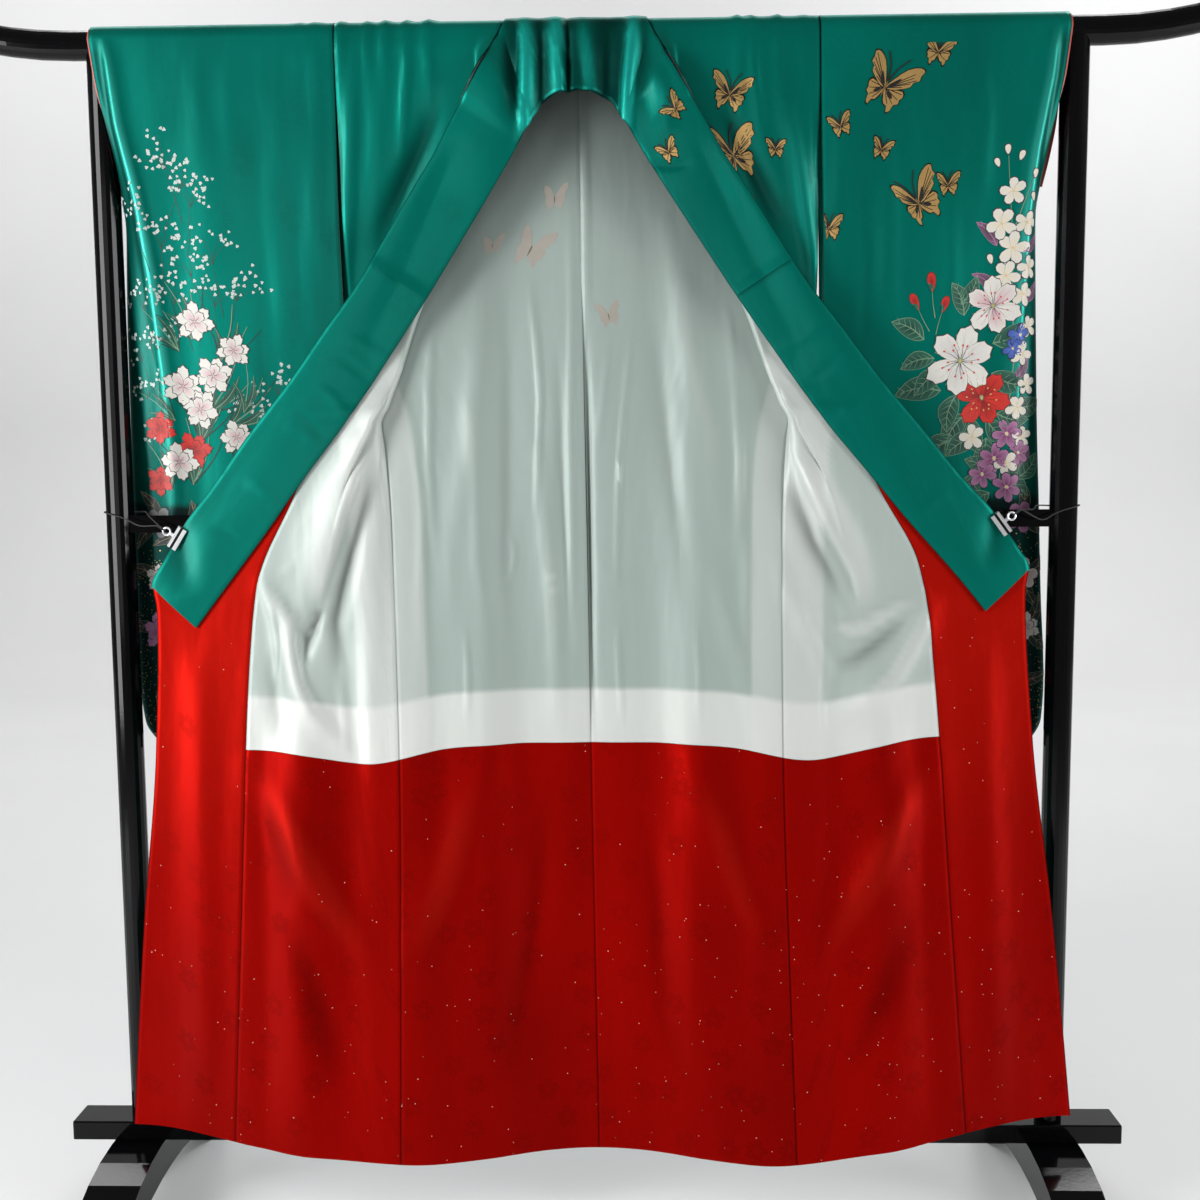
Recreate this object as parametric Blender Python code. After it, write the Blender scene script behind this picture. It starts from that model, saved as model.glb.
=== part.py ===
"""A furisode kimono hung open on a lacquered kimono rack, its inside towards the viewer.

Metres, +Z up, the viewer on -Y. The floor is z = 0 and the rack's posts stand in the plane y = 0.
Each half of the garment is worked out as (half, y, z), where half is the distance outwards from the
garment's centre line, and is then placed on the left (side -1) or on the right (side +1).
"""
import math

import bmesh
import bpy
import numpy as np
from mathutils import Vector

# Cloth and seams
OUTER_CLOTH = 0.0014
LINING_CLOTH = 0.0012
COLLAR_CLOTH = 0.0025
OVER_COLLAR_CLOTH = 0.0012
PLY_GAP = 0.0005
SEAM_GAP = 0.0006
LINING_INNER = OUTER_CLOTH / 2 + PLY_GAP
LINING_OUTER = LINING_INNER + LINING_CLOTH
COLLAR_STANDOFF = 0.0052
COLLAR_FREE_Y = -0.0300
COLLAR_BOW = 0.0030
OVER_COLLAR_OFFSET = COLLAR_CLOTH / 2 + PLY_GAP

# Rack
RAIL_Z = 1.660
RAIL_RADIUS = 0.0195
RAIL_HALF_LENGTH = 0.862
RAIL_STRAIGHT_HALF = 0.700
RAIL_END_RISE = 0.022
POST_X = 0.663
POST_RADIUS = 0.019
MID_RAIL_Z = 1.005
MID_RAIL_HEIGHT = 0.024
MID_RAIL_DEPTH = 0.020
MORTISE_DEPTH = 0.010
BOARD_LENGTH = 1.524
BOARD_DEPTH = 0.052
BOARD_THICKNESS = 0.028
BOARD_TOP_Z = 0.1323
# How far back from the rail's end a section lies, and its share of the rail's radius
RAIL_END_STEPS = (
    (0.000, 0.62),
    (0.002, 0.85),
    (0.012, 1.00),
    (0.042, 1.00),
    (0.077, 1.00),
    (0.117, 1.00),
    (0.162, 1.00),
)
FOOT_LENGTH = 0.490
FOOT_WIDTH = 0.074
FOOT_ARCH_LENGTH = 0.340
FOOT_ARCH_HEIGHT = 0.056
FOOT_TOE_HEIGHT = 0.012
FOOT_CROWN_FLAT = BOARD_DEPTH + 0.004
FOOT_SHOULDER = 2.2
FOOT_STEPS = 12
BOARD_BEVEL = 0.002
RACK_GAP = 0.0002

# Garment levels
WRAP_RADIUS = 0.0231
NECK_HALF = 0.092
NECK_ANGLE = 60.0
COLLAR_POINT_LEVEL = 1.450
LINING_SEAM_LEVEL = 0.695
HEM_LEVEL = 0.108
CENTRE_SHIFT_TOP = -0.010
CENTRE_SHIFT_HEM = 0.010
RIGHT_LIFT = 0.009
HEM_RISE = 0.047
LINING_SEAM_SAG = 0.023
LINING_SEAM_SAG_HALF = 0.31
LINING_SEAM_SAG_WIDTH = 0.085

# Clips and their elastic cords
CLIP_LEVEL = 0.993
CLIP_LENGTH = 0.032
CLIP_REACH = 0.0085
CLIP_NOSE = 0.0060
CLIP_NOSE_BEVEL = 0.0015
CLIP_THROAT = 0.0035
CLIP_PLATE = 0.0012
CLIP_GAP = 0.0006
CLIP_FRONT = -COLLAR_STANDOFF - COLLAR_CLOTH / 2 - 2 * CLIP_GAP
CLIP_BACK = OUTER_CLOTH / 2 + CLIP_GAP
CLIP_MIDDLE = (CLIP_FRONT + CLIP_BACK) / 2
STEM_WIDTH = 0.0045
STEM_DEPTH = 0.0024
RING_OUT = 0.0165
RING_RADIUS = 0.0052
RING_WIRE = 0.0014
CORD_RADIUS = 0.0010
CORD_STEP = 0.0060
CORD_LEVEL = 1.0215
KNOT_RADIUS = 0.0026
KNOT_ANGLE = 75.0

# The elastic cord's route, chosen by hand. Round the post: the distance outwards from the post's axis,
# the depth and the rise above the cord's level. At the ring: the distance outwards from its centre and
# the depth, in front on the way in and behind on the way back. Over the middle rail: as round the post.
CORD_ROUND_POST = (
    (0.0085, 0.0193, 0.0006),
    (0.0155, 0.0144, 0.0010),
    (0.0206, 0.0050, 0.0012),
    (0.0206, -0.0050, 0.0008),
    (0.0155, -0.0144, 0.0000),
    (0.0065, -0.0203, -0.0020),
    (-0.0060, -0.0223, -0.0050),
    (-0.0220, -0.0272, -0.0110),
    (-0.0400, -0.0335, -0.0180),
)
CORD_THROUGH_RING = (
    (0.0150, -0.0040),
    (0.0100, -0.0041),
    (0.0066, -0.0040),
    (0.0038, -0.0028),
    (0.0026, 0.0000),
    (0.0038, 0.0028),
    (0.0066, 0.0040),
    (0.0100, 0.0042),
    (0.0140, 0.0046),
)
CORD_OVER_MIDDLE_RAIL = (
    (-0.0480, -0.0220, -0.0040),
    (-0.0430, -0.0140, 0.0000),
    (-0.0350, 0.0000, 0.0008),
    (-0.0250, 0.0125, 0.0006),
    (-0.0120, 0.0195, 0.0000),
    (-0.0030, 0.0211, -0.0004),
    (0.0021, 0.0214, -0.0004),
)


def smooth(value):
    """0 below 0, 1 above 1, and an S-curve between."""
    value = np.clip(value, 0.0, 1.0)
    return value * value * (3.0 - 2.0 * value)


def above(value, blend):
    """0 up to a blend's start and 1 past its end."""
    start, span = blend
    return smooth((value - start) / span)


def below(value, blend):
    """0 down to a blend's start and 1 past its end, going down."""
    start, span = blend
    return smooth((start - value) / span)


class Table:
    """A short table with named columns. A value between two rows is read off a curve without overshoot."""

    def __init__(self, columns, *rows):
        self.columns = columns.split()
        self.rows = np.array(sorted(rows), dtype=float)
        self.stations = self.rows[:, 0]
        secants = np.diff(self.rows, axis=0) / np.diff(self.stations)[:, None]
        before, after = secants[:-1], secants[1:]
        total = np.where(before + after == 0.0, 1.0, before + after)
        inner = np.where(before * after > 0.0, 2.0 * before * after / total, 0.0)
        self.slopes = np.vstack([secants[:1], inner, secants[-1:]])

    def at(self, name, station):
        column = self.columns.index(name)
        station = min(max(station, self.stations[0]), self.stations[-1])
        low = int(np.clip(np.searchsorted(self.stations, station) - 1, 0, len(self.stations) - 2))
        span = self.stations[low + 1] - self.stations[low]
        t = (station - self.stations[low]) / span
        start, end = self.rows[low, column], self.rows[low + 1, column]
        slope_start = self.slopes[low, column] * span
        slope_end = self.slopes[low + 1, column] * span
        flat = (1 + 2 * t) * (1 - t) ** 2 * start + t * t * (3 - 2 * t) * end
        return flat + t * (1 - t) ** 2 * slope_start - t * t * (1 - t) * slope_end


# The back body from the rail down: half width at the side, depth at the centre seam and at the side
BACK = Table(
    "level side y_centre y_side",
    (1.660, 0.3260, 0.0231, 0.0231),
    (1.600, 0.3260, 0.0225, 0.0205),
    (1.500, 0.3240, 0.0170, 0.0115),
    (1.400, 0.3230, 0.0105, 0.0010),
    (1.300, 0.3200, 0.0030, -0.0108),
    (1.200, 0.3000, -0.0040, -0.0150),
    (1.150, 0.2850, -0.0070, -0.0190),
    (1.100, 0.2770, -0.0095, -0.0240),
    (1.000, 0.2700, -0.0125, -0.0340),
    (0.850, 0.2670, -0.0190, -0.0460),
    (0.690, 0.2660, -0.0260, -0.0580),
    (0.400, 0.2700, -0.0360, -0.0800),
    (0.108, 0.2760, -0.0450, -0.1000),
)

# The front body from the rail down: it starts at the side, runs inwards, bends back towards the viewer
# and turns out as a lapel. The angles are the cloth's heading: 180 is inwards, 0 is outwards.
FRONT = Table(
    "level y_start run bend lapel start end",
    (1.660, -0.0231, 0.1945, 0.0120, 0.0150, 180, 180),
    (1.640, -0.0233, 0.1850, 0.0120, 0.0170, 180, 150),
    (1.620, -0.0233, 0.1870, 0.0120, 0.0190, 180, 100),
    (1.590, -0.0230, 0.1840, 0.0120, 0.0190, 180, 65),
    (1.560, -0.0225, 0.1830, 0.0120, 0.0200, 180, 20),
    (1.520, -0.0220, 0.1720, 0.0120, 0.0300, 180, 0),
    (1.440, -0.0205, 0.1400, 0.0120, 0.0500, 180, 0),
    (1.380, -0.0192, 0.1220, 0.0120, 0.0700, 180, 0),
    (1.320, -0.0178, 0.1040, 0.0120, 0.0700, 180, 0),
    (1.270, -0.0180, 0.0800, 0.0120, 0.0700, 180, 0),
    (1.200, -0.0215, 0.0390, 0.0130, 0.0700, 180, 0),
    (1.170, -0.0240, 0.0180, 0.0150, 0.0700, 175, 0),
    (1.140, -0.0243, 0.0040, 0.0150, 0.0700, 105, -3),
    (1.110, -0.0262, 0.0080, 0.0230, 0.0700, 50, -10),
    (1.070, -0.0292, 0.0160, 0.0360, 0.0700, 28, -14),
    (1.000, -0.0350, 0.0320, 0.0450, 0.0700, 15, -14),
    (0.900, -0.0422, 0.0500, 0.0500, 0.0700, 4, -5),
    (0.800, -0.0502, 0.0560, 0.0550, 0.0700, 0, 0),
    (0.108, -0.1000, 0.0630, 0.0630, 0.0700, 0, 0),
)

# The front body's inner edge: the collar seam down to the collar point, then the okumi seam
EDGE = Table(
    "level half",
    (1.660, 0.1050),
    (1.620, 0.1280),
    (1.560, 0.1600),
    (1.500, 0.1920),
    (1.450, 0.2240),
    (1.320, 0.2820),
    (1.200, 0.3300),
    (1.042, 0.4030),
    (0.940, 0.4540),
    (0.870, 0.4670),
    (0.690, 0.4820),
    (0.400, 0.4970),
    (0.108, 0.5125),
)

# The outermost line of each front: the collar seam, then the okumi's free edge, with its depth
RIM = Table(
    "level half y",
    (1.660, 0.1050, -0.0400),
    (1.620, 0.1280, -0.0400),
    (1.560, 0.1600, -0.0400),
    (1.500, 0.1920, -0.0400),
    (1.440, 0.2310, -0.0400),
    (1.380, 0.2690, -0.0395),
    (1.320, 0.3090, -0.0390),
    (1.270, 0.3480, -0.0385),
    (1.197, 0.4030, -0.0375),
    (1.131, 0.4580, -0.0365),
    (1.060, 0.5140, -0.0355),
    (1.010, 0.5570, -0.0350),
    (0.963, 0.5880, -0.0350),
    (0.928, 0.6060, -0.0355),
    (0.895, 0.6020, -0.0360),
    (0.690, 0.6125, -0.0400),
    (0.430, 0.6390, -0.0470),
    (0.108, 0.6665, -0.0560),
)

# The collar on each front: the level of its seam edge and the place of its free edge
COLLAR = Table(
    "seam_level free_half free_z",
    (0.928, 0.5460, 0.8700),
    (0.963, 0.5160, 0.9080),
    (1.010, 0.4820, 0.9490),
    (1.065, 0.4370, 1.0030),
    (1.131, 0.3850, 1.0700),
    (1.200, 0.3300, 1.1380),
    (1.275, 0.2720, 1.2200),
    (1.354, 0.2120, 1.3070),
    (1.430, 0.1610, 1.3850),
    (1.500, 0.1140, 1.4580),
    (1.560, 0.0830, 1.5080),
    (1.590, 0.0730, 1.5250),
    (1.620, 0.0680, 1.5330),
    (1.640, 0.0650, 1.5370),
    (1.660, 0.0630, 1.5400),
)
OVER_COLLAR_LEVEL = 1.354

# The collar round the neck: seam angle round the rail (0 behind, 90 on top, 180 in front),
# half width there, and the free edge that hangs in front of the rail
NECK = Table(
    "angle seam_half free_half free_z",
    (62.0, 0.0000, 0.0000, 1.5820),
    (76.0, 0.0460, 0.0240, 1.5780),
    (92.0, 0.0910, 0.0480, 1.5650),
    (116.0, 0.0950, 0.0530, 1.5560),
    (140.0, 0.0980, 0.0580, 1.5490),
    (162.0, 0.1010, 0.0610, 1.5440),
)

# Each sleeve from the rail down: half widths of its inner edge, of the ridge where its front turns away
# and of its outer edge in front and behind, and the depths of these
SLEEVE = Table(
    "level inner ridge outer back_outer y_front y_edge y_back",
    (1.660, 0.3275, 0.6400, 0.6600, 0.6600, -0.0231, -0.0231, 0.0231),
    (1.600, 0.3275, 0.6300, 0.6520, 0.6580, -0.0235, -0.0234, 0.0242),
    (1.550, 0.3278, 0.6170, 0.6420, 0.6540, -0.0232, -0.0214, 0.0252),
    (1.500, 0.3285, 0.6080, 0.6320, 0.6450, -0.0224, -0.0160, 0.0260),
    (1.455, 0.3295, 0.6050, 0.6250, 0.6340, -0.0205, -0.0030, 0.0268),
    (1.425, 0.3300, 0.6045, 0.6245, 0.6270, -0.0180, 0.0190, 0.0276),
    (1.390, 0.3305, 0.6040, 0.6260, 0.6280, -0.0145, 0.0256, 0.0281),
    (1.250, 0.3310, 0.6000, 0.6310, 0.6325, -0.0010, 0.0275, 0.0300),
    (1.130, 0.3310, 0.5950, 0.6350, 0.6365, 0.0095, 0.0292, 0.0317),
    (1.040, 0.3310, 0.5950, 0.6390, 0.6405, 0.0158, 0.0310, 0.0335),
    (0.900, 0.3310, 0.6000, 0.6440, 0.6455, 0.0180, 0.0325, 0.0350),
    (0.770, 0.3310, 0.6050, 0.6500, 0.6515, 0.0210, 0.0335, 0.0360),
    (0.715, 0.3310, 0.6000, 0.6470, 0.6485, 0.0245, 0.0337, 0.0362),
    (0.688, 0.3310, 0.5900, 0.6340, 0.6355, 0.0300, 0.0337, 0.0362),
    (0.672, 0.3310, 0.5700, 0.6100, 0.6115, 0.0335, 0.0337, 0.0362),
)
CUFF_OPENING_LEVEL = 1.455
CUFF_LINING_SHOWS = 0.0025

# Soft folds as lines from a top to a low end; depth is towards the viewer
FOLD_COLUMNS = ("half_top", "z_top", "half_low", "z_low", "width", "depth")
BACK_FOLDS = (
    (0.020, 1.50, 0.035, 0.30, 0.028, 0.0030),
    (0.105, 1.45, 0.085, 0.20, 0.026, -0.0035),
    (0.150, 1.35, 0.140, 0.15, 0.024, 0.0045),
    (0.215, 1.15, 0.205, 0.15, 0.026, -0.0040),
)
FRONT_FOLDS = (
    (0.262, 1.19, 0.365, 0.90, 0.018, 0.0070),
    (0.330, 1.13, 0.425, 0.84, 0.026, -0.0090),
    (0.385, 1.10, 0.455, 0.80, 0.020, 0.0060),
    (0.335, 0.90, 0.345, 0.15, 0.030, -0.0060),
    (0.400, 0.80, 0.410, 0.12, 0.028, 0.0060),
    (0.455, 0.75, 0.465, 0.12, 0.022, -0.0045),
    (0.545, 0.85, 0.560, 0.15, 0.024, 0.0055),
)
SLEEVE_FOLDS = (
    (0.375, 1.62, 0.380, 0.80, 0.022, 0.0030),
    (0.430, 1.60, 0.445, 0.85, 0.025, -0.0030),
    (0.505, 1.60, 0.500, 0.90, 0.028, 0.0035),
    (0.560, 1.50, 0.555, 0.85, 0.022, -0.0025),
)

# Grid steps
RUN_STEPS = 2
BEND_STEPS = 3
LAPEL_STEPS = 5
LOW_LEVELS = (0.108, 0.26, 0.41, 0.55, 0.695, 0.82, 0.92, 1.00, 1.06, 1.10, 1.135, 1.17, 1.21, 1.27)
BACK_LEVELS = LOW_LEVELS + (1.36, 1.48, 1.60)
FRONT_LEVELS = (1.64, 1.62, 1.59, 1.56, 1.52, 1.45, 1.39, 1.33) + tuple(reversed(LOW_LEVELS))
WRAP_ANGLES = (0.0, 30.0, 60.0, 90.0, 120.0, 150.0, 180.0)
SLEEVE_LEVELS = (1.60, 1.55, 1.50, 1.455, 1.425, 1.39, 1.25, 1.13, 1.04, 0.90, 0.77, 0.715, 0.688, 0.672)
SLEEVE_FLAT_STEPS = 6
SLEEVE_TURN_STEPS = 3
COLLAR_SHARES = (0.0, 0.075, 0.15, 0.225, 0.30, 0.37, 0.58, 0.79, 1.0)
SIDE_SEAM_OPEN_LEVEL = 1.12
SIDE_SEAM_BLEND = 0.08
OKUMI_STEPS = 4
RAIL_SIDES = 24
POST_SIDES = 20
RING_TURNS = 16
RING_SIDES = 8
BODY_STEPS = (RUN_STEPS, BEND_STEPS, LAPEL_STEPS)

# Where one shape blends into another: the level or half width at which it starts, and over how much
RISE_HALF = (0.20, 0.47)
RISE_LEVEL = (0.85, 0.75)
SAG_BELOW = (1.10, 0.40)
SAG_ABOVE = (0.12, 0.45)
LIFT_HALF = (0.20, 0.35)
LIFT_LEVEL = (1.15, 0.25)
FOLD_START = (0.10, 0.30)
FOLD_END = (1.12, 0.30)
BACK_FOLD_FROM = (1.62, 0.20)
EVEN_COLUMNS_FROM = (1.62, 0.35)
BELOW_COLLAR = 0.06
LAPEL_STRAIGHT = (60.0, 40.0)
COLLAR_IN_LINE = (95.0, 50.0)
COLLAR_HANGS_FROM = (1.46, 0.08)
SLEEVE_FOLDS_FROM = (1.62, 0.10)
SLEEVE_FOLDS_TO = (0.672, 0.10)
SLEEVE_BACK_TURN = 0.020
SLEEVE_BACK_FOLDS = 0.4
MIN_OKUMI_WIDTH = 0.004


def centre_line(z):
    share = (RAIL_Z - z) / (RAIL_Z - HEM_LEVEL)
    return CENTRE_SHIFT_TOP + (CENTRE_SHIFT_HEM - CENTRE_SHIFT_TOP) * share


def hung_height(half, level):
    """The height at which cloth cut at one level hangs: the fronts rise outwards, the lining seam sags."""
    rise = HEM_RISE * above(half, RISE_HALF) * below(level, RISE_LEVEL)
    across = math.exp(-((half - LINING_SEAM_SAG_HALF) / LINING_SEAM_SAG_WIDTH) ** 2)
    sag = LINING_SEAM_SAG * across * below(level, SAG_BELOW) * above(level, SAG_ABOVE)
    return level + rise - sag


def place(half, y, z, side, lifts=True):
    """A point of one half of the garment in the world."""
    lift = 0.0
    if lifts:
        lift = side * RIGHT_LIFT * above(half, LIFT_HALF) * below(z, LIFT_LEVEL)
    return (centre_line(z) + side * half, y, z + lift)


def fold_depth(folds, half, z):
    """How far the folds bring a point towards the viewer."""
    total = 0.0
    for half_top, z_top, half_low, z_low, width, depth in folds:
        along = (z_top - z) / (z_top - z_low)
        line = half_top + (half_low - half_top) * min(max(along, 0.0), 1.0)
        fade = above(along, (-FOLD_START[0], FOLD_START[1])) * below(along, FOLD_END)
        total += depth * fade * math.exp(-((half - line) / width) ** 2)
    return total


def seam_joined(z):
    """1 where the side seam lies flat between back and front, 0 where the front is turned under."""
    return smooth((SIDE_SEAM_OPEN_LEVEL - z) / SIDE_SEAM_BLEND)


def below_collar(half, z):
    """0 under the collar, 1 a little way below its free edge."""
    order = np.argsort(COLLAR.rows[:, 1])
    free_z = np.interp(half, COLLAR.rows[order, 1], COLLAR.rows[order, 2])
    return smooth((free_z - z) / BELOW_COLLAR)


def body_fold(half, z, is_front):
    joined = seam_joined(z)
    back_share = joined if is_front else 1.0
    front_share = (1.0 if is_front else joined) * below_collar(half, z)
    return back_share * fold_depth(BACK_FOLDS, half, z) + front_share * fold_depth(FRONT_FOLDS, half, z)


def column_shares(level, steps):
    """Where the back's columns lie, from its side (0) to its centre (1), for the front's three stretches."""
    run_steps, bend_steps, lapel_steps = steps
    lengths = (FRONT.at("run", RAIL_Z), FRONT.at("bend", RAIL_Z), FRONT.at("lapel", RAIL_Z))
    whole = sum(lengths)
    shares = [0.0]
    for length, count in zip(lengths, steps):
        start = shares[-1]
        shares += [start + length / whole * (i + 1) / count for i in range(count)]
    even = np.linspace(0.0, 1.0, run_steps + bend_steps + lapel_steps + 1)
    blend = below(level, EVEN_COLUMNS_FROM)
    return np.array(shares) * (1 - blend) + even * blend


def back_row(level, steps):
    """The back body at one level, from its side to the centre seam."""
    side = BACK.at("side", level)
    y_centre = BACK.at("y_centre", level)
    y_side = BACK.at("y_side", level)
    row = []
    for share in column_shares(level, steps):
        half = side * (1 - share) + SEAM_GAP / 2 * share
        bulge = math.sin(min(half / side, 1.0) * math.pi / 2) ** 2
        y = y_centre + (y_side - y_centre) * bulge
        y -= body_fold(half, level, False) * below(level, BACK_FOLD_FROM)
        row.append((half, y, hung_height(half, level)))
    return row


def wrap_row(angle, steps):
    """The body over the rail. The angle is 0 behind the rail, 90 on top and 180 in front."""
    neck = NECK_HALF * (angle - NECK_ANGLE) / (90.0 - NECK_ANGLE)
    if angle > 90.0:
        neck = NECK_HALF + (EDGE.at("half", RAIL_Z) - NECK_HALF) * (angle - 90.0) / 90.0
    inner = max(neck, SEAM_GAP / 2)
    side = BACK.at("side", RAIL_Z)
    y = WRAP_RADIUS * math.cos(math.radians(angle))
    z = RAIL_Z + WRAP_RADIUS * math.sin(math.radians(angle))
    return [(side * (1 - share) + inner * share, y, z) for share in column_shares(RAIL_Z, steps)]


def turn_step(heading, turn, length):
    """The move in (half, y) along an arc of one length, from one heading through a turn, in radians."""
    if abs(turn) < 1e-6:
        return length * math.cos(heading), -length * math.sin(heading)
    end = heading + turn
    scale = length / turn
    return scale * (math.sin(end) - math.sin(heading)), -scale * (math.cos(heading) - math.cos(end))


def front_start(level):
    """Where the front's run and bend lead: the half, depth and heading where its lapel starts."""
    heading = math.radians(FRONT.at("start", level))
    end = math.radians(FRONT.at("end", level))
    half = BACK.at("side", level) + SEAM_GAP
    y = FRONT.at("y_start", level)
    run = FRONT.at("run", level)
    half += run * math.cos(heading)
    y -= run * math.sin(heading)
    step_half, step_y = turn_step(heading, end - heading, FRONT.at("bend", level))
    return half + step_half, y + step_y, end


def lapel_depth(half, level):
    """The depth of the front's outermost layer, from the bend to the rim, without folds."""
    start_half, start_y, _ = front_start(level)
    rim_half = RIM.at("half", level)
    rim_y = RIM.at("y", level)
    share = smooth((half - start_half) / max(rim_half - start_half, 0.01))
    return start_y + (rim_y - start_y) * share


def front_row(level, steps):
    """The front body at one level, from its side round the bend to its inner edge."""
    run_steps, bend_steps, lapel_steps = steps
    heading = math.radians(FRONT.at("start", level))
    end = math.radians(FRONT.at("end", level))
    run = FRONT.at("run", level)
    bend = FRONT.at("bend", level)
    half = BACK.at("side", level) + SEAM_GAP
    y = FRONT.at("y_start", level)
    path = [(half, y)]
    for _ in range(run_steps):
        half += run / run_steps * math.cos(heading)
        y -= run / run_steps * math.sin(heading)
        path.append((half, y))
    turn = (end - heading) / bend_steps
    for i in range(bend_steps):
        step_half, step_y = turn_step(heading + turn * i, turn, bend / bend_steps)
        half += step_half
        y += step_y
        path.append((half, y))
    straightened = below(math.degrees(end), LAPEL_STRAIGHT)
    reach = (EDGE.at("half", level) - half) / max(math.cos(end), 0.6)
    lapel = straightened * reach + (1 - straightened) * FRONT.at("lapel", level)
    start_y = y
    for i in range(lapel_steps):
        half += lapel / lapel_steps * math.cos(end)
        y -= lapel / lapel_steps * math.sin(end)
        settled = lapel_depth(half, level)
        path.append((half, y + straightened * (settled - start_y - (y - start_y) * straightened)))
    opened = seam_joined(level)
    row = []
    for i, (half, y) in enumerate(path):
        weight = straightened if i > run_steps + bend_steps else opened
        y -= weight * body_fold(half, level, True)
        row.append((half, y, hung_height(half, level)))
    return row


def body_grid(steps, back_levels, wrap_angles, front_levels):
    rows = [back_row(level, steps) for level in back_levels]
    rows += [wrap_row(angle, steps) for angle in wrap_angles]
    rows += [front_row(level, steps) for level in front_levels]
    return np.array(rows)


def okumi_grid(levels, count):
    """The okumi from the front's inner edge to the rim, top to hem."""
    rows = []
    for level in levels:
        inner = EDGE.at("half", level) + SEAM_GAP
        outer = max(RIM.at("half", level), inner + MIN_OKUMI_WIDTH)
        row = []
        for half in np.linspace(inner, outer, count + 1):
            y = lapel_depth(half, level) - body_fold(half, level, True)
            row.append((half, y, hung_height(half, level)))
        rows.append(row)
    return np.array(rows)


def collar_seam_point(level):
    """Where the collar's seam edge starts on a front: beside the cloth's edge at the neck, in front of
    its lining further down."""
    end = math.radians(FRONT.at("end", level))
    if level > COLLAR_POINT_LEVEL:
        half, y, _ = front_row(level, BODY_STEPS)[-1]
    else:
        end = 0.0
        half = RIM.at("half", level)
        y = lapel_depth(half, level)
    in_line = above(math.degrees(end), COLLAR_IN_LINE)
    stacked = COLLAR_STANDOFF * (1.0 - in_line)
    beside = 3.0 * SEAM_GAP * in_line
    half += -math.sin(end) * stacked + math.cos(end) * beside
    y += -math.cos(end) * stacked - math.sin(end) * beside
    return half, y


def collar_front_row(seam_level, shares):
    """One crosswise row of the collar on a front, from its seam edge to its free edge."""
    seam_half, seam_y = collar_seam_point(seam_level)
    free_half = COLLAR.at("free_half", seam_level)
    free_z = COLLAR.at("free_z", seam_level)
    free_y = COLLAR_FREE_Y - COLLAR_STANDOFF
    near_neck = above(seam_level, COLLAR_HANGS_FROM)
    row = []
    for share in shares:
        half = seam_half + (free_half - seam_half) * share
        z = seam_level + (free_z - seam_level) * share
        start_half, _, _ = front_start(z)
        on_lapel = min(lapel_depth(max(half, start_half), z), COLLAR_FREE_Y) - COLLAR_STANDOFF
        hanging = seam_y + (free_y - seam_y) * share
        y = on_lapel * (1 - near_neck) + hanging * near_neck
        row.append((half, y - COLLAR_BOW * math.sin(math.pi * share), z))
    return row


def collar_neck_row(angle, shares):
    """One row of the collar round the neck: from its seam over the rail to its free edge in front."""
    seam_half = NECK.at("seam_half", angle)
    free_half = NECK.at("free_half", angle)
    free_z = NECK.at("free_z", angle)
    arc = math.radians(180.0 - angle) * WRAP_RADIUS
    drop = RAIL_Z - free_z
    lean = (-WRAP_RADIUS - COLLAR_FREE_Y + COLLAR_STANDOFF) / drop
    row = []
    for share in shares:
        along = share * (arc + drop)
        half = seam_half + (free_half - seam_half) * share
        if along < arc:
            turned = math.radians(angle) + along / WRAP_RADIUS
            y = WRAP_RADIUS * math.cos(turned)
            z = RAIL_Z + WRAP_RADIUS * math.sin(turned)
        else:
            y = -WRAP_RADIUS - lean * (along - arc)
            z = RAIL_Z - (along - arc)
        row.append((half, y, z))
    return row


def collar_grid(front_levels, neck_angles, shares):
    """The whole collar in the world, from the left front's end round the neck to the right front's."""
    half_rows = [collar_front_row(level, shares) for level in front_levels]
    half_rows += [collar_neck_row(angle, shares) for angle in neck_angles]
    left = [[place(*point, -1) for point in row] for row in half_rows]
    right = [[place(*point, 1) for point in row] for row in half_rows]
    return np.array(left + right[-2::-1])


def sleeve_row(level, on_front, flat_steps, turn_steps):
    """A sleeve layer at one level, from its inner edge to its outer edge."""
    inner = SLEEVE.at("inner", level)
    if on_front:
        corner, outer = SLEEVE.at("ridge", level), SLEEVE.at("outer", level)
        y_flat, y_edge = SLEEVE.at("y_front", level), SLEEVE.at("y_edge", level)
        forward = 1.0
    else:
        outer = SLEEVE.at("back_outer", level)
        corner = outer - SLEEVE_BACK_TURN
        y_flat = y_edge = SLEEVE.at("y_back", level)
        forward = SLEEVE_BACK_FOLDS
    settled = below(level, SLEEVE_FOLDS_FROM) * above(level, SLEEVE_FOLDS_TO)
    row = []
    for half in np.linspace(inner, corner, flat_steps + 1):
        y = y_flat - forward * settled * fold_depth(SLEEVE_FOLDS, half, level)
        row.append((half, y, level))
    for share in np.linspace(0.0, 1.0, turn_steps + 1)[1:]:
        half = corner + (outer - corner) * math.sin(share * math.pi / 2)
        y = y_flat + (y_edge - y_flat) * (1 - math.cos(share * math.pi / 2))
        row.append((half, y, level))
    return row


def sleeve_grid(levels, wrap_angles, flat_steps, turn_steps):
    top = sleeve_row(RAIL_Z, True, flat_steps, turn_steps)
    rows = [sleeve_row(level, False, flat_steps, turn_steps) for level in reversed(levels)]
    for angle in wrap_angles:
        y = WRAP_RADIUS * math.cos(math.radians(angle))
        z = RAIL_Z + WRAP_RADIUS * math.sin(math.radians(angle))
        rows.append([(half, y, z) for half, _, _ in top])
    rows += [sleeve_row(level, True, flat_steps, turn_steps) for level in levels]
    return np.array(rows)


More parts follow.
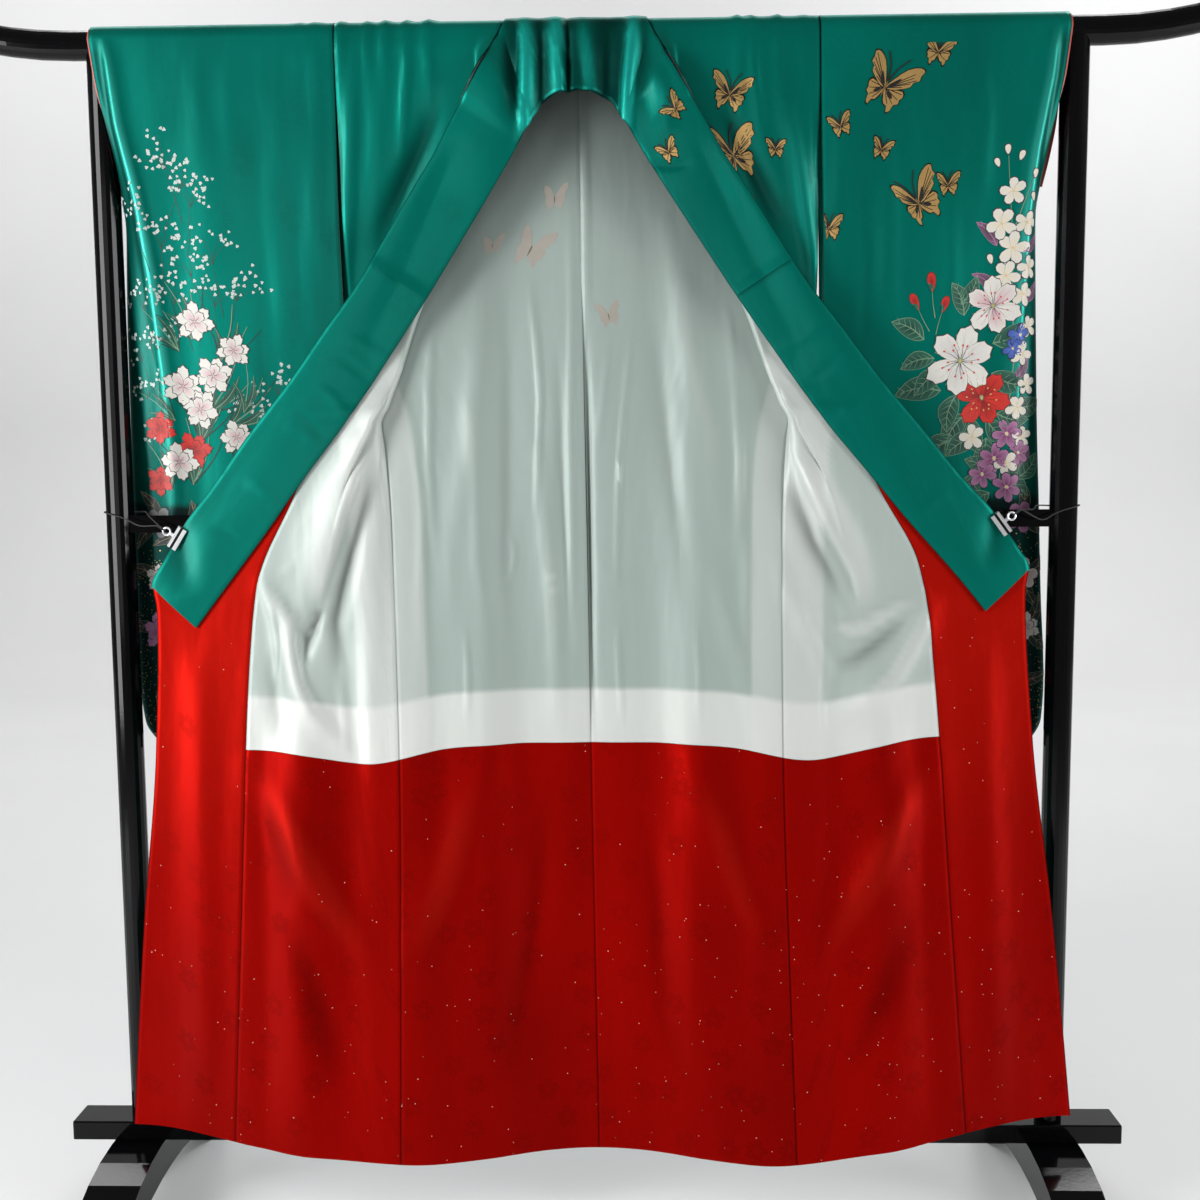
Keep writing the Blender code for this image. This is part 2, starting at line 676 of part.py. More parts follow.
def grid_normals(grid):
    """Unit normals of a grid of points, from the steps to each point's neighbours."""
    along = np.gradient(grid, axis=0)
    across = np.gradient(grid, axis=1)
    normals = np.cross(along, across)
    return normals / np.linalg.norm(normals, axis=2, keepdims=True)


def trim_rows(grid, first, last):
    """Draw the first and the last row of a grid back by a distance, along its own faces."""
    grid = grid.copy()
    for amount, edge, inside in ((first, 0, 1), (last, -1, -2)):
        step = grid[inside] - grid[edge]
        length = np.linalg.norm(step, axis=1, keepdims=True)
        grid[edge] = grid[edge] + step / length * amount
    return grid


def facing_viewer(normals):
    """The same normals, turned where needed so that the first one points towards the viewer."""
    return -normals if normals[0, 0, 1] > 0 else normals


def in_world(grid, side, lifts=True):
    return np.array([[place(*point, side, lifts) for point in row] for row in grid])


def make_material(name, colour, roughness, metallic=0.0):
    material = bpy.data.materials.new(name)
    material.use_nodes = True
    shader = material.node_tree.nodes["Principled BSDF"]
    shader.inputs["Base Color"].default_value = (*colour, 1.0)
    shader.inputs["Roughness"].default_value = roughness
    shader.inputs["Metallic"].default_value = metallic
    material.diffuse_color = (*colour, 1.0)
    return material


def add_object(name, mesh, material):
    obj = bpy.data.objects.new(name, mesh)
    bpy.context.scene.collection.objects.link(obj)
    mesh.materials.append(material)
    return obj


def add_wall(name, grid, normals, low, high, material):
    """A closed wall of cloth between two offsets from a grid of points."""
    rows, columns, _ = grid.shape
    bm = bmesh.new()
    skins = []
    for offset in (low, high):
        points = grid + normals * offset
        skins.append([[bm.verts.new(points[r, c]) for c in range(columns)] for r in range(rows)])
    lower, upper = skins
    for r in range(rows - 1):
        for c in range(columns - 1):
            bm.faces.new((upper[r][c], upper[r][c + 1], upper[r + 1][c + 1], upper[r + 1][c]))
            bm.faces.new((lower[r][c], lower[r + 1][c], lower[r + 1][c + 1], lower[r][c + 1]))
    rim = [(0, c) for c in range(columns)]
    rim += [(r, columns - 1) for r in range(1, rows)]
    rim += [(rows - 1, c) for c in range(columns - 2, -1, -1)]
    rim += [(r, 0) for r in range(rows - 2, 0, -1)]
    for (r0, c0), (r1, c1) in zip(rim, rim[1:] + rim[:1]):
        bm.faces.new((lower[r0][c0], lower[r1][c1], upper[r1][c1], upper[r0][c0]))
    bmesh.ops.recalc_face_normals(bm, faces=bm.faces)
    mesh = bpy.data.meshes.new(name)
    bm.to_mesh(mesh)
    bm.free()
    return add_object(name, mesh, material)


def build_body(side, suffix, silk, white, red):
    """One body panel with its upper and lower linings, which lie on its own points."""
    grid = body_grid(BODY_STEPS, BACK_LEVELS, WRAP_ANGLES, FRONT_LEVELS)
    world = in_world(grid, side)
    normals = facing_viewer(grid_normals(world))
    add_wall("body_" + suffix, world, normals, -OUTER_CLOTH / 2, OUTER_CLOTH / 2, silk)
    back_seam = BACK_LEVELS.index(LINING_SEAM_LEVEL)
    front_seam = len(BACK_LEVELS) + len(WRAP_ANGLES) + FRONT_LEVELS.index(LINING_SEAM_LEVEL)
    pieces = (
        ("body_lining_", back_seam, front_seam, SEAM_GAP / 2, SEAM_GAP / 2, white),
        ("hakkake_back_", 0, back_seam, 0.0, SEAM_GAP / 2, red),
        ("hakkake_front_", front_seam, len(world) - 1, SEAM_GAP / 2, 0.0, red),
    )
    for name, first, last, trim_first, trim_last, material in pieces:
        part = trim_rows(world[first:last + 1], trim_first, trim_last)
        add_wall(name + suffix, part, normals[first:last + 1], LINING_INNER, LINING_OUTER, material)


def build_okumi(side, suffix, silk, red):
    levels = [COLLAR_POINT_LEVEL - 0.01] + [level for level in FRONT_LEVELS if level < COLLAR_POINT_LEVEL]
    world = in_world(okumi_grid(levels, OKUMI_STEPS), side)
    normals = facing_viewer(grid_normals(world))
    add_wall("okumi_" + suffix, world, normals, -OUTER_CLOTH / 2, OUTER_CLOTH / 2, silk)
    add_wall("okumi_lining_" + suffix, world, normals, LINING_INNER, LINING_OUTER, red)


def build_collar(silk):
    levels = list(COLLAR.stations)
    angles = list(reversed(NECK.stations))
    grid = collar_grid(levels, angles, COLLAR_SHARES)
    normals = facing_viewer(grid_normals(grid))
    add_wall("collar", grid, normals, -COLLAR_CLOTH / 2, COLLAR_CLOTH / 2, silk)
    first = levels.index(OVER_COLLAR_LEVEL)
    last = len(grid) - 1 - first
    over, over_normals = grid[first:last + 1], normals[first:last + 1]
    low = OVER_COLLAR_OFFSET
    add_wall("over_collar", over, over_normals, low, low + OVER_COLLAR_CLOTH, silk)


def build_sleeve(side, suffix, silk, pink):
    grid = sleeve_grid(SLEEVE_LEVELS, WRAP_ANGLES, SLEEVE_FLAT_STEPS, SLEEVE_TURN_STEPS)
    world = in_world(grid, side, False)
    normals = facing_viewer(grid_normals(world))
    add_wall("sleeve_" + suffix, world, normals, -OUTER_CLOTH / 2, OUTER_CLOTH / 2, silk)
    opening = SLEEVE_LEVELS.index(CUFF_OPENING_LEVEL)
    first = len(SLEEVE_LEVELS) - opening
    last = len(world) - 1 - first
    hem = world[first:last + 1, -3:]
    beyond = hem[:, -1] - hem[:, -2]
    beyond *= CUFF_LINING_SHOWS / np.linalg.norm(beyond, axis=1, keepdims=True)
    strip = np.concatenate([hem, (hem[:, -1] + beyond)[:, None]], axis=1)
    strip_normals = normals[first:last + 1, [-3, -2, -1, -1]]
    add_wall("sleeve_lining_edge_" + suffix, strip, strip_normals, LINING_INNER, LINING_OUTER, pink)


def add_box(name, size, centre, material, bevel=0.0):
    bm = bmesh.new()
    bmesh.ops.create_cube(bm, size=1.0)
    bmesh.ops.scale(bm, vec=size, verts=bm.verts)
    if bevel:
        bmesh.ops.bevel(bm, geom=list(bm.edges), offset=bevel, segments=2, profile=0.5, affect="EDGES")
    mesh = bpy.data.meshes.new(name)
    bm.to_mesh(mesh)
    bm.free()
    obj = add_object(name, mesh, material)
    obj.location = centre
    return obj


def add_round_bar(name, rings, material, sides):
    """A closed bar through round sections, each a centre, a radius and the section's two axes."""
    bm = bmesh.new()
    loops = []
    for centre, radius, axis_a, axis_b in rings:
        loop = []
        for i in range(sides):
            angle = 2 * math.pi * i / sides
            loop.append(bm.verts.new(centre + (axis_a * math.cos(angle) + axis_b * math.sin(angle)) * radius))
        loops.append(loop)
    for first, second in zip(loops, loops[1:]):
        for i in range(sides):
            j = (i + 1) % sides
            bm.faces.new((first[i], first[j], second[j], second[i]))
    bm.faces.new(loops[0])
    bm.faces.new(loops[-1])
    bmesh.ops.recalc_face_normals(bm, faces=bm.faces)
    mesh = bpy.data.meshes.new(name)
    bm.to_mesh(mesh)
    bm.free()
    return add_object(name, mesh, material)


def rail_centre(x):
    past = max(abs(x) - RAIL_STRAIGHT_HALF, 0.0) / (RAIL_HALF_LENGTH - RAIL_STRAIGHT_HALF)
    return Vector((x, 0.0, RAIL_Z + RAIL_END_RISE * past ** 2))


def build_rail(material):
    """A round rail whose ends rise a little. Its end faces have rounded edges."""
    rings = []
    for back_from_end, share in RAIL_END_STEPS:
        centre = rail_centre(RAIL_HALF_LENGTH - back_from_end)
        rings.append((centre, RAIL_RADIUS * share, Vector((0, 1, 0)), Vector((0, 0, 1))))
    mirrored = [(Vector((-c.x, c.y, c.z)), radius, a, b) for c, radius, a, b in rings]
    return add_round_bar("rail", mirrored + rings[::-1], material, RAIL_SIDES)


def cut(target, cutter):
    modifier = target.modifiers.new("cut_" + cutter.name, "BOOLEAN")
    modifier.operation = "DIFFERENCE"
    modifier.solver = "EXACT"
    modifier.object = cutter
    cutter.hide_render = True
    cutter.display_type = "WIRE"


def build_posts(material):
    """Two round posts, each with a saddle for the rail and a mortise for the middle rail."""
    across, along, up = Vector((1, 0, 0)), Vector((0, 1, 0)), Vector((0, 0, 1))
    half = RAIL_STRAIGHT_HALF
    saddle_rings = [(Vector((x, 0, RAIL_Z)), RAIL_RADIUS + RACK_GAP, along, up) for x in (-half, half)]
    saddle = add_round_bar("saddle_cutter", saddle_rings, material, RAIL_SIDES)
    mortise = add_box(
        "mortise_cutter",
        (2 * (POST_X - POST_RADIUS + MORTISE_DEPTH + RACK_GAP), MID_RAIL_DEPTH + 2 * RACK_GAP,
         MID_RAIL_HEIGHT + 2 * RACK_GAP),
        (0, 0, MID_RAIL_Z), material)
    for side, suffix in ((-1, "L"), (1, "R")):
        x = side * POST_X
        rings = [(Vector((x, 0, z)), POST_RADIUS, across, along) for z in (BOARD_TOP_Z + RACK_GAP, RAIL_Z)]
        post = add_round_bar("post_" + suffix, rings, material, POST_SIDES)
        cut(post, saddle)
        cut(post, mortise)


def build_middle_rail(material):
    length = 2 * (POST_X - POST_RADIUS + MORTISE_DEPTH)
    size = (length, MID_RAIL_DEPTH, MID_RAIL_HEIGHT)
    return add_box("mid_rail", size, (0, 0, MID_RAIL_Z), material)


def build_board(material):
    size = (BOARD_LENGTH, BOARD_DEPTH, BOARD_THICKNESS)
    return add_box("base_board", size, (0, 0, BOARD_TOP_Z - BOARD_THICKNESS / 2), material, BOARD_BEVEL)


def build_foot(name, x, material):
    """An arched foot that runs from front to back, its crown under the board."""
    crown = BOARD_TOP_Z - BOARD_THICKNESS - RACK_GAP
    flat_half = FOOT_CROWN_FLAT / 2
    outline = []
    for i in range(FOOT_STEPS + 1):
        y = FOOT_LENGTH * (i / FOOT_STEPS - 0.5)
        past = max(abs(y) - flat_half, 0.0) / (FOOT_LENGTH / 2 - flat_half)
        outline.append((y, FOOT_TOE_HEIGHT + (crown - FOOT_TOE_HEIGHT) * (1 - past ** FOOT_SHOULDER)))
    outline.append((FOOT_LENGTH / 2, 0.0))
    for i in range(FOOT_STEPS + 1):
        angle = math.pi * i / FOOT_STEPS
        outline.append((FOOT_ARCH_LENGTH / 2 * math.cos(angle), FOOT_ARCH_HEIGHT * math.sin(angle)))
    outline.append((-FOOT_LENGTH / 2, 0.0))
    points = [(x - FOOT_WIDTH / 2, y, z) for y, z in outline]
    return extrude_profile(name, points, (FOOT_WIDTH, 0, 0), material)


def clip_frame(side):
    """The clip's place on the collar seam: centre, the seam's direction and the way out of the cloth."""
    ends = []
    for level in (CLIP_LEVEL + CLIP_LENGTH / 2, CLIP_LEVEL - CLIP_LENGTH / 2):
        ends.append(Vector(place(RIM.at("half", level), RIM.at("y", level), level, side)))
    upper, lower = ends
    along = lower - upper
    along.y = 0.0
    along.normalize()
    out = Vector((side * -along.z, 0.0, side * along.x))
    return (upper + lower) / 2, along, out


def ring_centre(side):
    centre, _, out = clip_frame(side)
    return centre + out * RING_OUT + Vector((0, CLIP_MIDDLE, 0))


def extrude_profile(name, points, step, material):
    """A closed prism from a flat outline and the way it is drawn out."""
    bm = bmesh.new()
    face = bm.faces.new([bm.verts.new(point) for point in points])
    extruded = bmesh.ops.extrude_face_region(bm, geom=[face])
    moved = [item for item in extruded["geom"] if isinstance(item, bmesh.types.BMVert)]
    bmesh.ops.translate(bm, vec=step, verts=moved)
    bmesh.ops.recalc_face_normals(bm, faces=bm.faces)
    mesh = bpy.data.meshes.new(name)
    bm.to_mesh(mesh)
    bm.free()
    return add_object(name, mesh, material)


def join(target, piece):
    modifier = target.modifiers.new("join_" + piece.name, "BOOLEAN")
    modifier.operation = "UNION"
    modifier.solver = "EXACT"
    modifier.object = piece
    piece.hide_render = True
    piece.display_type = "WIRE"


def build_clip(side, suffix, chrome):
    """A spring clip over the collar edge, with a stem and a wire ring at its outer end."""
    centre, along, out = clip_frame(side)
    depth = Vector((0, 1, 0))
    profile = [
        (-CLIP_REACH, CLIP_FRONT - CLIP_PLATE),
        (CLIP_NOSE - CLIP_NOSE_BEVEL, CLIP_FRONT - CLIP_PLATE),
        (CLIP_NOSE, CLIP_MIDDLE - CLIP_NOSE_BEVEL),
        (CLIP_NOSE, CLIP_MIDDLE + CLIP_NOSE_BEVEL),
        (CLIP_NOSE - CLIP_NOSE_BEVEL, CLIP_BACK + CLIP_PLATE),
        (-CLIP_REACH, CLIP_BACK + CLIP_PLATE),
        (-CLIP_REACH, CLIP_BACK),
        (CLIP_THROAT, CLIP_BACK),
        (CLIP_THROAT, CLIP_FRONT),
        (-CLIP_REACH, CLIP_FRONT),
    ]
    start = centre - along * CLIP_LENGTH / 2
    points = [start + out * a + depth * d for a, d in profile]
    clip = extrude_profile("clip_" + suffix, points, along * CLIP_LENGTH, chrome)
    stem_start = centre + out * (CLIP_THROAT + CLIP_PLATE) + depth * CLIP_MIDDLE
    corners = [(-1, -1), (1, -1), (1, 1), (-1, 1)]
    stem_points = [stem_start + along * a * STEM_WIDTH / 2 + depth * d * STEM_DEPTH / 2 for a, d in corners]
    stem_length = RING_OUT - RING_RADIUS - CLIP_THROAT - CLIP_PLATE
    join(clip, extrude_profile("stem_" + suffix, stem_points, out * stem_length, chrome))
    join(clip, build_ring("ring_" + suffix, ring_centre(side), out, along, chrome))


def build_ring(name, centre, out, along, material):
    bm = bmesh.new()
    depth = Vector((0, 1, 0))
    loops = []
    for i in range(RING_TURNS):
        angle = 2 * math.pi * i / RING_TURNS
        radial = out * math.cos(angle) + along * math.sin(angle)
        loop = []
        for j in range(RING_SIDES):
            tilt = 2 * math.pi * j / RING_SIDES
            offset = (radial * math.cos(tilt) + depth * math.sin(tilt)) * RING_WIRE
            loop.append(bm.verts.new(centre + radial * RING_RADIUS + offset))
        loops.append(loop)
    for i in range(RING_TURNS):
        following = loops[(i + 1) % RING_TURNS]
        for j in range(RING_SIDES):
            k = (j + 1) % RING_SIDES
            bm.faces.new((loops[i][j], loops[i][k], following[k], following[j]))
    bmesh.ops.recalc_face_normals(bm, faces=bm.faces)
    mesh = bpy.data.meshes.new(name)
    bm.to_mesh(mesh)
    bm.free()
    return add_object(name, mesh, material)


def cord_route(side):
    """From a knot behind the post, round its front to the clip's ring, through the ring and back over
    the middle rail to the knot."""
    _, _, out = clip_frame(side)
    ring = ring_centre(side)
    points = [Vector((side * (POST_X + a), y, CORD_LEVEL + rise)) for a, y, rise in CORD_ROUND_POST]
    points += [ring + out * a + Vector((0, d, 0)) for a, d in CORD_THROUGH_RING]
    points += [Vector((side * (POST_X + a), y, CORD_LEVEL + rise)) for a, y, rise in CORD_OVER_MIDDLE_RAIL]
    return points


def smooth_curve(points, step):
    """Points about one step apart on a smooth curve through the given ones."""
    ends = [2 * points[0] - points[1]] + points + [2 * points[-1] - points[-2]]
    curve = []
    for before, start, end, after in zip(ends, ends[1:], ends[2:], ends[3:]):
        count = max(1, round((end - start).length / step))
        for i in range(count):
            t = i / count
            bend = 2 * before - 5 * start + 4 * end - after
            twist = 3 * start - before - 3 * end + after
            curve.append((2 * start + (end - before) * t + bend * t ** 2 + twist * t ** 3) / 2)
    return curve + [points[-1]]


def build_cord(side, suffix, material):
    name = "elastic_cord_" + suffix
    curve = bpy.data.curves.new(name, "CURVE")
    curve.dimensions = "3D"
    curve.bevel_depth = CORD_RADIUS
    curve.bevel_resolution = 2
    curve.use_fill_caps = True
    points = smooth_curve(cord_route(side), CORD_STEP)
    spline = curve.splines.new("POLY")
    spline.points.add(len(points) - 1)
    for target, point in zip(spline.points, points):
        target.co = (*point, 1.0)
    obj = bpy.data.objects.new(name, curve)
    bpy.context.scene.collection.objects.link(obj)
    curve.materials.append(material)
    return obj


def build_knot(side, suffix, material):
    """The knot behind the post in which both ends of the cord end."""
    angle = math.radians(KNOT_ANGLE)
    reach = POST_RADIUS + CLIP_GAP / 2 + KNOT_RADIUS
    bm = bmesh.new()
    bmesh.ops.create_icosphere(bm, subdivisions=2, radius=KNOT_RADIUS)
    mesh = bpy.data.meshes.new("knot_" + suffix)
    bm.to_mesh(mesh)
    bm.free()
    knot = add_object("knot_" + suffix, mesh, material)
    knot.location = (side * (POST_X + reach * math.cos(angle)), reach * math.sin(angle), CORD_LEVEL)
    return knot


def main():
    for obj in list(bpy.data.objects):
        bpy.data.objects.remove(obj, do_unlink=True)
    silk = make_material("green_silk", (0.000, 0.138, 0.090), 0.38)
    white = make_material("white_lining_silk", (0.700, 0.720, 0.700), 0.45)
    red = make_material("red_lining_silk", (0.440, 0.006, 0.004), 0.48)
    pink = make_material("pink_edge_silk", (0.600, 0.100, 0.080), 0.50)
    black = make_material("black_lacquer", (0.006, 0.006, 0.007), 0.12)
    chrome = make_material("chrome", (0.700, 0.710, 0.720), 0.10, 1.0)
    elastic = make_material("black_elastic", (0.012, 0.012, 0.013), 0.60)
    build_rail(black)
    build_posts(black)
    build_middle_rail(black)
    build_board(black)
    build_collar(silk)
    for side, suffix in ((-1, "L"), (1, "R")):
        build_foot("foot_" + suffix, side * POST_X, black)
        build_sleeve(side, suffix, silk, pink)
        build_body(side, suffix, silk, white, red)
        build_okumi(side, suffix, silk, red)
        build_clip(side, suffix, chrome)
        build_cord(side, suffix, elastic)
        build_knot(side, suffix, elastic)


main()
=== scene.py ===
# %% [markdown]
# # A furisode kimono on a lacquered rack
# The kimono hangs open with its inside towards us: green satin outside, a thin white lining above, a red
# lining below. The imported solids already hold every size. This lesson dresses them: it repeats the
# drape on a fine grid, adds the creases and the dyed flowers, and gives every surface its finish.

# %% Load the frame
import copy
import math

import bmesh
import bpy
import numpy as np
from mathutils import Matrix, Vector


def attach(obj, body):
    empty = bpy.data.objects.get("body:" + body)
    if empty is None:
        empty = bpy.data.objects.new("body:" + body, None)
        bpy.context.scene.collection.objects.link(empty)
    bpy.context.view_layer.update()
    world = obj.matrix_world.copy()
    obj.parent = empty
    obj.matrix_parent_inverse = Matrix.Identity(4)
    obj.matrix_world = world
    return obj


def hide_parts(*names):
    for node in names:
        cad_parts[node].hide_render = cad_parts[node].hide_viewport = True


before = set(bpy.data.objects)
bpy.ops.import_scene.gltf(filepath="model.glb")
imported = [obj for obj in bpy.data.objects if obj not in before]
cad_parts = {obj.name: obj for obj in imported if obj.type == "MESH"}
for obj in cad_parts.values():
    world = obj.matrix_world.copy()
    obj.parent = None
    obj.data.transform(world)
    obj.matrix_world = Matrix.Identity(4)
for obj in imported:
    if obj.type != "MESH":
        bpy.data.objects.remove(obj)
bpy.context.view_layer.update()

# %% [markdown]
# ## The camera
# A camera is placed before anything else, so that each piece can be judged in the picture it is made
# for. It stands a little under two metres from the rack, slightly above its middle, and looks down by
# five and a half degrees.

# %% Camera
CAMERA_PLACE = Vector((0.0594, -1.8300, 1.0686))
CAMERA_YAW = 0.0236
CAMERA_PITCH = 0.0956
CAMERA_ROLL = 0.0077
CAMERA_LENS = 39.0
SENSOR_WIDTH = 36.0

camera_data = bpy.data.cameras.new("camera")
camera_data.lens = CAMERA_LENS
camera_data.sensor_width = SENSOR_WIDTH
camera = bpy.data.objects.new("camera", camera_data)
bpy.context.scene.collection.objects.link(camera)
turn = Matrix.Rotation(CAMERA_YAW, 4, "Z") @ Matrix.Rotation(math.pi / 2 - CAMERA_PITCH, 4, "X")
camera.matrix_world = Matrix.Translation(CAMERA_PLACE) @ turn @ Matrix.Rotation(-CAMERA_ROLL, 4, "Z")
bpy.context.scene.camera = camera
print("camera at", tuple(round(v, 3) for v in camera.matrix_world.translation))

# %% [markdown]
# ## Two helpers for drawing with numbers
# A cloth edge is described by a few stations, so a short table with named columns is the natural tool.
# Between two rows it reads a curve that never overshoots. `above` and `below` fade one shape into
# another over a stated stretch.

# %% Curves and tables
def smooth(value):
    value = np.clip(value, 0.0, 1.0)
    return value * value * (3.0 - 2.0 * value)


def above(value, blend):
    start, span = blend
    return smooth((value - start) / span)


def below(value, blend):
    start, span = blend
    return smooth((start - value) / span)


class Table:
    def __init__(self, columns, *rows):
        self.columns = columns.split()
        self.rows = np.array(sorted(rows), dtype=float)
        self.stations = self.rows[:, 0]
        secants = np.diff(self.rows, axis=0) / np.diff(self.stations)[:, None]
        before, after = secants[:-1], secants[1:]
        total = np.where(before + after == 0.0, 1.0, before + after)
        inner = np.where(before * after > 0.0, 2.0 * before * after / total, 0.0)
        self.slopes = np.vstack([secants[:1], inner, secants[-1:]])

    def at(self, name, station):
        column = self.columns.index(name)
        station = min(max(station, self.stations[0]), self.stations[-1])
        low = int(np.clip(np.searchsorted(self.stations, station) - 1, 0, len(self.stations) - 2))
        span = self.stations[low + 1] - self.stations[low]
        t = (station - self.stations[low]) / span
        start, end = self.rows[low, column], self.rows[low + 1, column]
        slope_start = self.slopes[low, column] * span
        slope_end = self.slopes[low + 1, column] * span
        flat = (1 + 2 * t) * (1 - t) ** 2 * start + t * t * (3 - 2 * t) * end
        return flat + t * (1 - t) ** 2 * slope_start - t * t * (1 - t) * slope_end


# %% [markdown]
# ## The hung shape
# The rack carries the cloth on one round rail. Each half of the garment is worked out as (half, y, z),
# where half is the distance out from the centre line. These are the sizes that the solids were made
# from, so the fine cloth lands on them. Only the seams are closer here, and the left sleeve's edge
# reaches a little further out.

# %% Sizes of the drape
OUTER_CLOTH = 0.0014
LINING_CLOTH = 0.0012
COLLAR_CLOTH = 0.0025
OVER_COLLAR_CLOTH = 0.0012
PLY_GAP = 0.0005
SEAM_GAP = 0.0001
LINING_INNER = OUTER_CLOTH / 2 + PLY_GAP
LINING_OUTER = LINING_INNER + LINING_CLOTH
COLLAR_STANDOFF = 0.0052
COLLAR_FREE_Y = -0.0300
COLLAR_BOW = 0.0030
OVER_COLLAR_OFFSET = COLLAR_CLOTH / 2 + PLY_GAP
RAIL_Z = 1.660
WRAP_RADIUS = 0.0231
NECK_HALF = 0.092
NECK_ANGLE = 60.0
COLLAR_POINT_LEVEL = 1.450
LINING_SEAM_LEVEL = 0.695
HEM_LEVEL = 0.108
CENTRE_SHIFT_TOP = -0.010
CENTRE_SHIFT_HEM = 0.010
RIGHT_LIFT = 0.009
HEM_RISE = 0.047
LINING_SEAM_SAG = 0.023
LINING_SEAM_SAG_HALF = 0.31
LINING_SEAM_SAG_WIDTH = 0.085
print("from the hem to the rail:", round(RAIL_Z - HEM_LEVEL, 3), "m")

# %% The sections, from the rail down
BACK = Table(
    "level side y_centre y_side",
    (1.660, 0.3260, 0.0231, 0.0231),
    (1.600, 0.3260, 0.0225, 0.0205),
    (1.500, 0.3240, 0.0170, 0.0115),
    (1.400, 0.3230, 0.0105, 0.0010),
    (1.300, 0.3200, 0.0030, -0.0108),
    (1.200, 0.3000, -0.0040, -0.0150),
    (1.150, 0.2850, -0.0070, -0.0190),
    (1.100, 0.2770, -0.0095, -0.0240),
    (1.000, 0.2700, -0.0125, -0.0340),
    (0.850, 0.2670, -0.0190, -0.0460),
    (0.690, 0.2660, -0.0260, -0.0580),
    (0.400, 0.2700, -0.0360, -0.0800),
    (0.108, 0.2760, -0.0450, -0.1000),
)
FRONT = Table(
    "level y_start run bend lapel start end",
    (1.660, -0.0231, 0.1945, 0.0120, 0.0150, 180, 180),
    (1.640, -0.0233, 0.1850, 0.0120, 0.0170, 180, 150),
    (1.620, -0.0233, 0.1870, 0.0120, 0.0190, 180, 100),
    (1.590, -0.0230, 0.1840, 0.0120, 0.0190, 180, 65),
    (1.560, -0.0225, 0.1830, 0.0120, 0.0200, 180, 20),
    (1.520, -0.0220, 0.1720, 0.0120, 0.0300, 180, 0),
    (1.440, -0.0205, 0.1400, 0.0120, 0.0500, 180, 0),
    (1.380, -0.0192, 0.1220, 0.0120, 0.0700, 180, 0),
    (1.320, -0.0178, 0.1040, 0.0120, 0.0700, 180, 0),
    (1.270, -0.0180, 0.0800, 0.0120, 0.0700, 180, 0),
    (1.200, -0.0215, 0.0390, 0.0130, 0.0700, 180, 0),
    (1.170, -0.0240, 0.0180, 0.0150, 0.0700, 175, 0),
    (1.140, -0.0243, 0.0040, 0.0150, 0.0700, 105, -3),
    (1.110, -0.0262, 0.0080, 0.0230, 0.0700, 50, -10),
    (1.070, -0.0292, 0.0160, 0.0360, 0.0700, 28, -14),
    (1.000, -0.0350, 0.0320, 0.0450, 0.0700, 15, -14),
    (0.900, -0.0422, 0.0500, 0.0500, 0.0700, 4, -5),
    (0.800, -0.0502, 0.0560, 0.0550, 0.0700, 0, 0),
    (0.108, -0.1000, 0.0630, 0.0630, 0.0700, 0, 0),
)
EDGE = Table(
    "level half",
    (1.660, 0.1050),
    (1.620, 0.1280),
    (1.560, 0.1600),
    (1.500, 0.1920),
    (1.450, 0.2240),
    (1.320, 0.2820),
    (1.200, 0.3300),
    (1.042, 0.4030),
    (0.940, 0.4540),
    (0.870, 0.4670),
    (0.690, 0.4820),
    (0.400, 0.4970),
    (0.108, 0.5125),
)
RIM = Table(
    "level half y",
    (1.660, 0.1050, -0.0400),
    (1.620, 0.1280, -0.0400),
    (1.560, 0.1600, -0.0400),
    (1.500, 0.1920, -0.0400),
    (1.440, 0.2310, -0.0400),
    (1.380, 0.2690, -0.0395),
    (1.320, 0.3090, -0.0390),
    (1.270, 0.3480, -0.0385),
    (1.197, 0.4030, -0.0375),
    (1.131, 0.4580, -0.0365),
    (1.060, 0.5140, -0.0355),
    (1.010, 0.5570, -0.0350),
    (0.963, 0.5880, -0.0350),
    (0.928, 0.6060, -0.0355),
    (0.895, 0.6020, -0.0360),
    (0.690, 0.6125, -0.0400),
    (0.430, 0.6390, -0.0470),
    (0.108, 0.6665, -0.0560),
)
COLLAR = Table(
    "seam_level free_half free_z",
    (0.928, 0.5460, 0.8700),
    (0.963, 0.5160, 0.9080),
    (1.010, 0.4820, 0.9490),
    (1.065, 0.4370, 1.0030),
    (1.131, 0.3850, 1.0700),
    (1.200, 0.3300, 1.1380),
    (1.275, 0.2720, 1.2200),
    (1.354, 0.2120, 1.3070),
    (1.430, 0.1610, 1.3850),
    (1.500, 0.1140, 1.4580),
    (1.560, 0.0830, 1.5080),
    (1.590, 0.0730, 1.5250),
    (1.620, 0.0680, 1.5330),
    (1.640, 0.0650, 1.5370),
    (1.660, 0.0630, 1.5400),
)
OVER_COLLAR_LEVEL = 1.354
NECK = Table(
    "angle seam_half free_half free_z",
    (62.0, 0.0000, 0.0000, 1.5820),
    (76.0, 0.0460, 0.0240, 1.5780),
    (92.0, 0.0910, 0.0480, 1.5650),
    (116.0, 0.0950, 0.0530, 1.5560),
    (140.0, 0.0980, 0.0580, 1.5490),
    (162.0, 0.1010, 0.0610, 1.5440),
)
